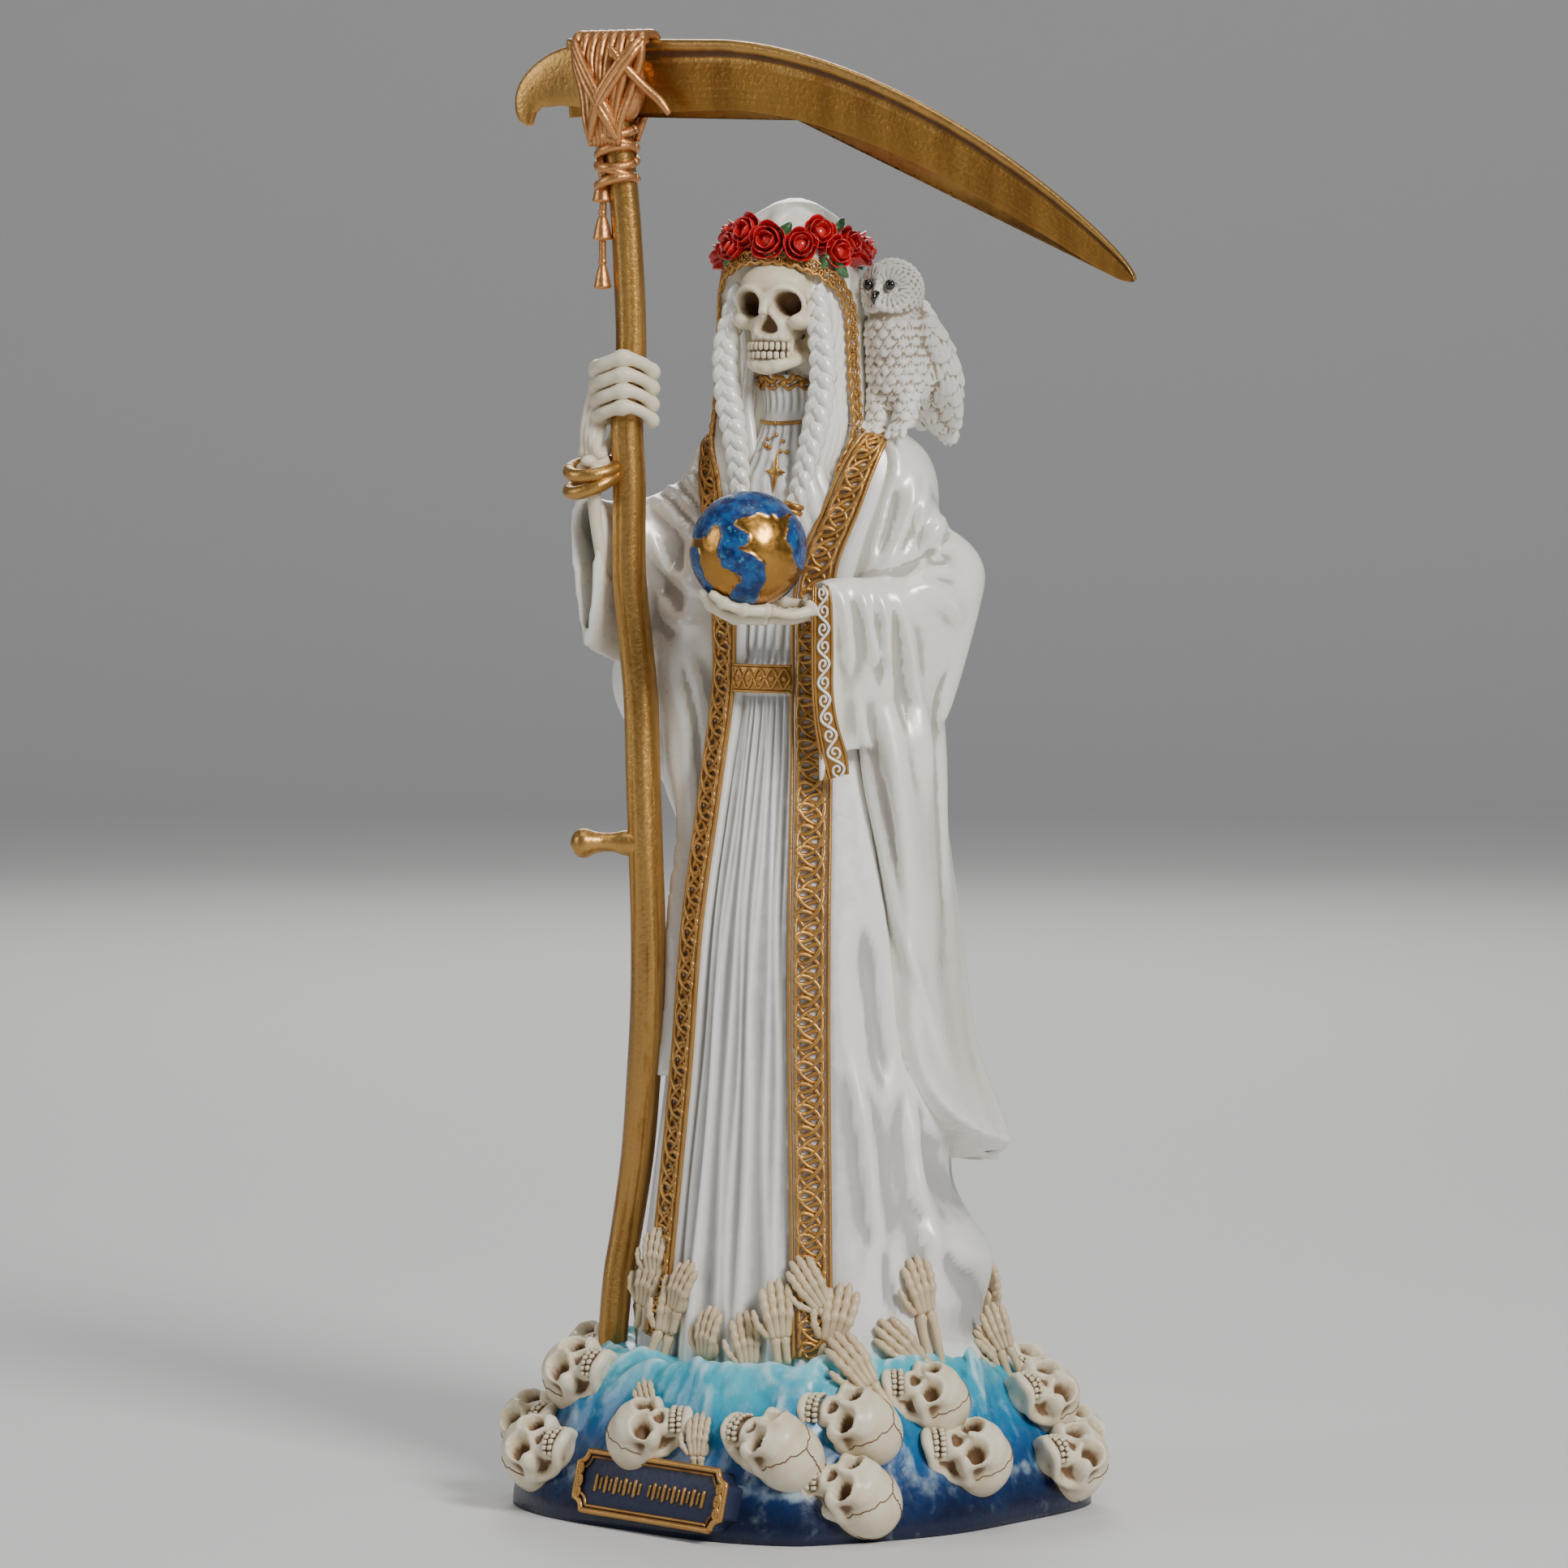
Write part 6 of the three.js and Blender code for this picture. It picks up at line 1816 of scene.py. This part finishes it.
def build_globe():
    mesh = ball(rings=6)
    way = verts_of(mesh)
    right, up, gaze = lying_on(unit(EYE - GLOBE)).T
    seen = np.stack([way @ right, way @ up], axis=1)
    field = np.full(len(way), -1.0)
    for line, width in SEEN_LAND:
        gap, _ = from_line(seen, line_through(line, 12))
        field = np.maximum(field, 1 - gap / width)
    before = soft(way @ gaze, -0.05, 0.15)
    lumps = cloud(way, 1.7, (3.1, 0.4, 7.7))
    field = np.where(way @ gaze > 0, field, 0) * before + (2.6 * lumps - 0.25) * (1 - before)
    field = field + 0.3 * (cloud(way, 7.0) + 0.5 * cloud(way, 17.0))
    high = 1 + 0.026 * soft(field, -0.12, 0.12) + 0.006 * cloud(way, 9.0, 5.0)
    move_verts(mesh, GLOBE + way * (GLOBE_RADIUS * high)[:, None])
    wash_and_shade_marked(mesh, 4, 0.12)
    keep(mesh, "land", np.clip(0.5 + field, 0, 1))
    return mesh


def globe_tint(b, colour):
    """Blue land, patched with teal, on the paint's own gold."""
    coords = b.coords()
    blotch = b.ramp(b.noise(coords, 380, 4, 0.6), 0.38, 0.66)
    teal = b.ramp(b.noise(coords, 800, 3, 0.6), 0.58, 0.72)
    blue = b.mix(teal, b.mix(blotch, (0.003, 0.018, 0.1), (0.008, 0.09, 0.28)), (0.04, 0.24, 0.34))
    return b.mix(b.ramp(b.marks("land"), 0.49, 0.53), colour, blue)


GLOBE_PAINT = paint("globe_blue", (0.52, 0.27, 0.06), (0.4, 0.19, 0.035), (0.01, 0.012, 0.03),
                    (0.8, 0.66, 0.4), wash_and_shade_amount=0.7, brushed=0.02, rough=0.3, coat=0.1, grain=0.12,
                    grain_size=800, stretch=(1, 1, 1), tint=globe_tint, shine=0.25)
bench = Bench(GLOBE_PAINT.node_tree)
bench.join(bench.ramp(bench.marks("land"), 0.53, 0.49),
           bench.tree.nodes["Principled BSDF"].inputs["Metallic"])
put("globe", build_globe(), GLOBE_PAINT)

# ------------ hands

def bone(points, thick, knobs, count, sides):
    """A finger: thin shafts with a swelling at each joint; knobs are shares of its length."""
    line = line_through(points, count)
    share = np.linspace(0, 1, count)
    swell = sum(np.exp(-((share - k) / 0.055) ** 2) for k in knobs)
    ends = np.minimum(1, 0.62 + 7 * np.minimum(share, 1 - share))
    return tube(line, thick * (1 - 0.28 * share) * (0.8 + 0.36 * swell) * ends, sides)


def small_hand(forearm):
    """A bone hand of unit length that reaches up, its back to the viewer (out is -y, up is z)."""
    parts = [pebble((0, 0.02, 0.24), (0.23, 0.08, 0.2), rings=3, power=0.85)]
    for spread, length in ((-1.5, 0.86), (-0.5, 0.98), (0.5, 1.0), (1.5, 0.9)):
        root = 0.094 * spread
        parts.append(bone([(root * 0.75, -0.04, 0.08), (root * 1.2, -0.1, 0.44),
                           (root * 1.3, -0.105, 0.48), (root * 1.4, -0.075, 0.72),
                           (root * 1.45, -0.02, length)], 0.086, (0.43, 0.66, 0.84), 20, 7))
    parts.append(bone([(-0.18, -0.02, 0.1), (-0.33, -0.09, 0.32), (-0.38, -0.07, 0.56)], 0.072,
                      (0.45, 0.75), 14, 8))
    if forearm:
        line, knob, count = [(0.075, -0.02, 0.12), (0.11, -0.01, -0.25), (0.09, 0.03, -1.15)], 0.05, 12
    else:
        line, knob, count = [(0.07, -0.02, 0.12), (0.08, 0.02, -0.35)], 0.1, 8
    for side in (-1, 1):
        parts.append(bone([(x * side, y, z) for x, y, z in line], 0.1, (knob, 1 - knob), count, 8))
    return gathered(parts)


# Where the viewer sees each hand in the picture, its lean to the right, size and whether its arm shows.
REACHING_HANDS = [
    (812, 1540, 4, 9.5, 0), (806, 1576, 22, 11, 0), (829, 1608, 18, 11, 1), (846, 1583, 28, 10.5, 0),
    (879, 1641, 12, 10.5, 0), (917, 1648, -6, 10.5, 0), (957, 1612, -6, 11.5, 0),
    (998, 1579, -32, 11, 0), (1032, 1617, 14, 12, 1), (1048, 1680, -30, 12.5, 0),
    (1106, 1655, -48, 12, 1), (1129, 1582, -14, 11.5, 1), (1229, 1628, -20, 9.5, 1),
    (1214, 1660, -50, 9.5, 0),
]
WATER_HANDS = [(801, 1726, -28, 8.2, 0), (864, 1770, -2, 8.6, 0)]


def stand_hand(forearm, basis, middle, size):
    return placed(small_hand(forearm), basis, middle - size * 0.5 * basis[:, 2], size)


def lay_hand(trees, px, py, lean, length, forearm, lift):
    """A hand on the surface that is nearest to the viewer at its place in the picture."""
    across, up = from_picture(px, py)
    found = [seen_on(tree, across, up, lift) for tree in trees]
    beside = ACROSS * across + TOWARDS * 6 + UP * up
    found = [spot for spot in found if spot[0] is not None] or [(beside, TOWARDS)]
    middle, normal = max(found, key=lambda spot: spot[0] @ TOWARDS)
    crown = ACROSS * sin(rad(lean)) + UP * cos(rad(lean))
    return stand_hand(forearm, heading(normal * 0.8 + TOWARDS * 0.35, crown), middle, 1.12 * length)


def build_reaching_hands():
    hands = [lay_hand((COAT_TREE, WATER_TREE), *row, 0.8) for row in REACHING_HANDS]
    hands += [lay_hand((WATER_TREE,), *row, 1.0) for row in WATER_HANDS]
    # plainer ones round the back of the hem
    for degrees, height in ((138, 9), (150, 14), (-60, 12), (-100, 9), (-140, 14), (178, 9)):
        turn = rad(degrees)
        basis = heading(ray(turn), (0.3 * cos(degrees), 0.3 * sin(degrees), 1))
        hands.append(stand_hand(1, basis, on_coat(turn, 33 + height, 0.4), 11))
    return gathered(hands)


# The shaft's axis in the closed hand, and the hand's wrist.
GRIP = (-30.2, -16.3)
GRIP_WRIST = np.array([-36.2, -20.6, 209.0])


def grip_point(degrees, z, reach):
    """A place round the shaft: 0 degrees is outwards and 90 towards the viewer."""
    turn = rad(degrees)
    return np.array([*GRIP, z]) + reach * (OUTER * cos(turn) + TOWARDS * sin(turn))


# A finger round the shaft: angle, height over its start and reach.
GRIP_RING = [(-50, -1.6, 5.6), (-10, -1.3, 6.3), (35, -0.3, 6.2), (82, 0.9, 5.6), (120, -0.1, 5.3),
             (158, -1.9, 5.0), (188, -2.7, 4.5)]


def build_gripping_hand():
    wrist = GRIP_WRIST
    parts = []
    for i in range(4):
        z = 231.9 - 3.25 * i
        ring = [grip_point(a, z + dz, r) for a, dz, r in GRIP_RING]
        parts.append(bone(ring, 2.04 - 0.07 * i, (0.17, 0.56, 0.88), 52, 12))
        heel = wrist + UP * 3.5 + OUTER * (1.7 - 1.3 * i) + TOWARDS * (1.1 * i - 1.8)
        middle = (grip_point(-10 + 6 * i, z - 3.5 - 0.35 * i, 6.3) + heel) / 2 + OUTER
        parts.append(bone([grip_point(-28, z + 0.2, 6.0), middle, heel], 1.85, (0.04, 0.95), 24, 10))
    parts.append(ball(wrist + (0.8, 0.4, 2.6), (2.6, 2.4, 3.0)))
    for k in range(6):
        turn = 2 * PI * k / 6
        aside = OUTER * (1.8 * cos(turn)) + TOWARDS * (1.7 * sin(turn))
        parts.append(ball(wrist + aside + UP * (1.6 + 1.4 * (k % 2)), (1.7, 1.7, 1.4), rings=2))
    parts.append(bone([wrist + (0.6, 1.0, 3.4), grip_point(-75, 219, 5.6), grip_point(-110, 225, 5.2),
                       grip_point(-140, 229, 4.9)], 1.7, (0.35, 0.7), 30, 10))
    for side in (-1, 1):
        parts.append(bone([wrist + TOWARDS * 1.3 * side, wrist + TOWARDS * 1.5 * side + (-0.3, 1.6, -9),
                           wrist + TOWARDS * 1.2 * side + (-0.2, 5.0, -22)], 1.85, (0.03, 0.97), 20,
                          10))
    return gathered(parts)


def build_open_hand():
    """The left hand: its fingers lie along the underside of the globe."""
    wrist = np.array([15.0, -20.0, 183.9])
    way = unit([-10.5, -9.5, 0])
    flank = np.array([way[1], -way[0], 0])

    def under(along, aside, gap=1.1):
        drop = math.sqrt((GLOBE_RADIUS + gap) ** 2 - along ** 2 - aside ** 2)
        return GLOBE + way * along + flank * aside - UP * drop

    parts = []
    for i, (length, aside, gap) in enumerate(((8.6, -4.6, 1.3), (9.9, -1.5, 2.3), (9.7, 1.8, 2.1),
                                              (8.6, 4.9, 1.4))):
        palm = wrist + flank * (1.3 * (i - 1.5)) - UP * (0.6 + 0.5 * (i % 3))
        root = under(-3.6, 0.85 * aside, gap + 0.4)
        parts.append(bone([palm, (palm + root) / 2 - UP, root], 1.55, (0.05, 0.96), 20, 10))
        parts.append(bone([root, under(1.0, aside, gap), under(0.6 * length, aside, gap),
                           under(length, 0.9 * aside, 1.2)], 1.62, (0.02, 0.42, 0.74), 34, 10))
    parts.append(bone([wrist + flank * 1.5, under(-5.0, 5.5), under(-1.5, 9.2, 1.2)], 1.25, (0.4, 0.75),
                      26, 10))
    for k in range(6):
        turn = 2 * PI * k / 6
        spot = wrist + flank * (1.7 * cos(turn)) + UP * (0.9 * sin(turn)) + way * (1.2 * (k % 2))
        parts.append(ball(spot, (1.35, 1.35, 1.2), rings=2))
    for side in (-1, 1):
        parts.append(bone([wrist + flank * 0.9 * side, wrist + (3 + side, 7 + side, 0.6)], 1.5,
                          (0.05, 0.95), 12, 10))
    return gathered(parts)


HAND_BONE = paint("hand_bone", (0.58, 0.445, 0.265), (0.46, 0.335, 0.185), (0.11, 0.05, 0.018),
                  (0.78, 0.66, 0.45), wash_and_shade_amount=0.95, brushed=0.35, rough=0.42, coat=0.1,
                  stretch=(1, 1, 1), size=120)
put("reaching_hands", wash_and_shade_marked(build_reaching_hands(), 5, 0.14), HAND_BONE)
put("gripping_hand", wash_and_shade_marked(build_gripping_hand(), 6, 0.08), BONE)
put("open_hand", wash_and_shade_marked(build_open_hand(), 5, 0.11), BONE)


def build_bracelet():
    """Two plain rings that hang round the wrist of the closed hand."""
    centre = GRIP_WRIST + (0, -0.2, 0.2)
    turn = circle(49)
    parts = []
    for shift, lean in ((1.4, 0.25), (-1.3, -0.05)):
        ring = centre + (4.7 * cos(turn))[:, None] * OUTER + (4.5 * sin(turn))[:, None] * TOWARDS
        ring[:, 2] += shift + lean * 4 * cos(turn) - 1.6 * cos(turn) - 1.3 * sin(turn)
        parts.append(tube(ring, 1.4, 12))
    return gathered(parts)


put("bracelet", wash_and_shade_marked(build_bracelet(), 4, 0.3), GOLD)

# ------------ knotwork, belt and cuffs

def band_edge(side, low, high, shift):
    """A line up one coat band; shift is -1 to 1 across it."""
    z = np.arange(low, high, 0.25)
    line = on_coat(side * (band_turn(z) + shift * band_half(z)), z, 0.75, plain=True)
    return spread_evenly(line, int(run_along(line)[-1] / 0.9) + 2)


def knot_strands(side, low, high):
    """Four coils of linked loops; each pair turns against the other, over and under."""
    pitch, loop, radius = 8.6, 2.7, 0.5
    z = np.arange(low, high, 0.25)
    length = run_along(on_coat(side * band_turn(z), z, 0.7, plain=True))
    turns = int(length[-1] / pitch) + 1
    parts = []
    for strand, shift in ((-1, 0.0), (1, 0.28), (-1, 0.5), (1, 0.78)):
        phi = np.linspace(-2 * PI, 2 * PI * turns, (turns + 1) * 30)
        along = pitch * (phi / (2 * PI) + shift) + strand * loop * sin(phi)
        inside = (along > 0) & (along < length[-1])
        phi, height = phi[inside], np.interp(along[inside], length, z)
        turn = side * (band_turn(height) + 0.68 * cos(phi) * band_half(height))
        over = 0.74 + 0.3 * sin(2 * phi + 0.8 + 3 * shift) + 0.1 * strand
        parts.append(tube(on_coat(turn, height, over, plain=True), radius, 6))
    return parts


def build_knotwork():
    parts = []
    for side, low in ((-1, 36), (1, 34)):
        parts += knot_strands(side, low, 218)
        parts += [tube(band_edge(side, low, 219, shift), 0.42, 6) for shift in (-0.97, 0.97)]
    return gathered(parts)


put("knotwork", wash_and_shade_marked(build_knotwork(), 3, 0.16), TRIM_GOLD)


def build_belt():
    middle, half = 168.8, 2.6
    edge = float(band_turn(np.array(169.0)) - band_half(np.array(169.0))) * 0.97

    def over(x, z, lift):
        return on_coat(edge * x, z, lift, plain=True)

    def strap(a, b):
        way = 2 * PI * a
        return over(2 * b - 1, middle + half * sin(way), 0.75 + 0.45 * cos(way))

    parts = [sheet(16, 60, strap)]
    for z in (middle - half, middle + half):
        parts.append(tube(over(np.linspace(-1, 1, 40), z, 1.1), 0.3, 6))
    marks = []
    for k in range(5):
        x = -0.8 + 0.4 * k
        for sign in (-1, 1):
            line = [over(x + dx, middle + sign * dz, 1.3)
                    for dx, dz in ((-0.19, 0), (-0.1, 1.3), (0, 2.0), (0.1, 1.3), (0.19, 0))]
            marks.append(tube(line_through(line, 14), 0.25, 6))
        marks.append(ball(over(x, middle, 1.25), (0.6, 0.4, 0.6), rings=2))
    return gathered(parts), gathered(marks)


CUFF_LEFT = [(2.9, 187.2), (2.7, 180.6), (2.7, 174.1), (2.8, 165.8), (3.3, 159.3), (4.4, 152.7),
             (5.8, 147.2)]
CUFF_RIGHT = [(5.6, 187.2), (6.5, 183.9), (6.8, 174.1), (6.8, 165.8), (7.7, 159.3), (9.6, 152.7),
              (10.0, 148.4)]


def build_cuff():
    """The turned-back border of the left sleeve: a strap with a running scroll."""
    count = 90
    left = line_through(CUFF_LEFT, count)
    right = line_through(CUFF_RIGHT, count)
    near = []
    for i in range(count):
        spots = [left[i] + (right[i] - left[i]) * a for a in (0.1, 0.35, 0.6, 0.8, 1.0)]
        hits = [seen_on(CLOAK_TREE, *place, 0.0)[0] for place in spots]
        near.append(max([0] + [hit @ TOWARDS for hit in hits if hit is not None]))
    near = np.clip(near, 24, 29.5)
    for _ in range(30):
        near[1:-1] = 0.5 * near[1:-1] + 0.25 * (near[:-2] + near[2:])
    steps = np.arange(count)
    far = EYE @ TOWARDS

    def spot(share, across, lift=0.0):
        i = np.clip(share, 0, 1) * (count - 1)
        low = np.stack([np.interp(i, steps, left[:, k]) for k in (0, 1)], axis=-1)
        high = np.stack([np.interp(i, steps, right[:, k]) for k in (0, 1)], axis=-1)
        flat = low + (high - low) * across[..., None]
        depth = np.interp(i, steps, near) + 0.6 + lift - 1.1 * (1 - across) ** 2
        board = ACROSS * flat[..., :1] + UP * flat[..., 1:]
        return EYE + (board - EYE) * (1 - depth / far)[..., None]

    def strap(a, b):
        way = 2 * PI * a
        return spot(0.02 + 0.97 * b, 0.5 + 0.5 * sin(way), 0.5 * cos(way))

    shares = np.linspace(0.01, 0.99, count)
    parts, marks = [sheet(24, 80, strap)], []
    for across in (0.0, 0.13, 0.97):
        parts.append(tube(spot(shares, np.full(count, across), 0.45), 0.3, 6))
    curls = 11
    stem = 0.55 + 0.28 * sin(curls * PI * shares)
    marks.append(tube(spot(shares, stem, 0.72), 0.3, 6))
    turn = np.linspace(0.4 * PI, 2.5 * PI, 26)
    grow = np.linspace(0.2, 1.0, 26)
    for k in range(curls):
        side = 1 if k % 2 else -1
        curl = spot((k + 0.5) / curls + 0.034 * grow * sin(turn),
                    0.55 + side * (0.02 + 0.24 * grow * cos(turn)), 0.72)
        marks.append(tube(curl, 0.25, 6))
    return gathered(parts), gathered(marks)


belt, belt_marks = build_belt()
cuff, cuff_marks = build_cuff()
put("belt_and_cuff", wash_and_shade_marked(gathered([belt, belt_marks, cuff]), 3, 0.14), TRIM_GOLD)
put("cuff_scrolls", wash_and_shade_marked(cuff_marks, 3, 0.2), PEARL)
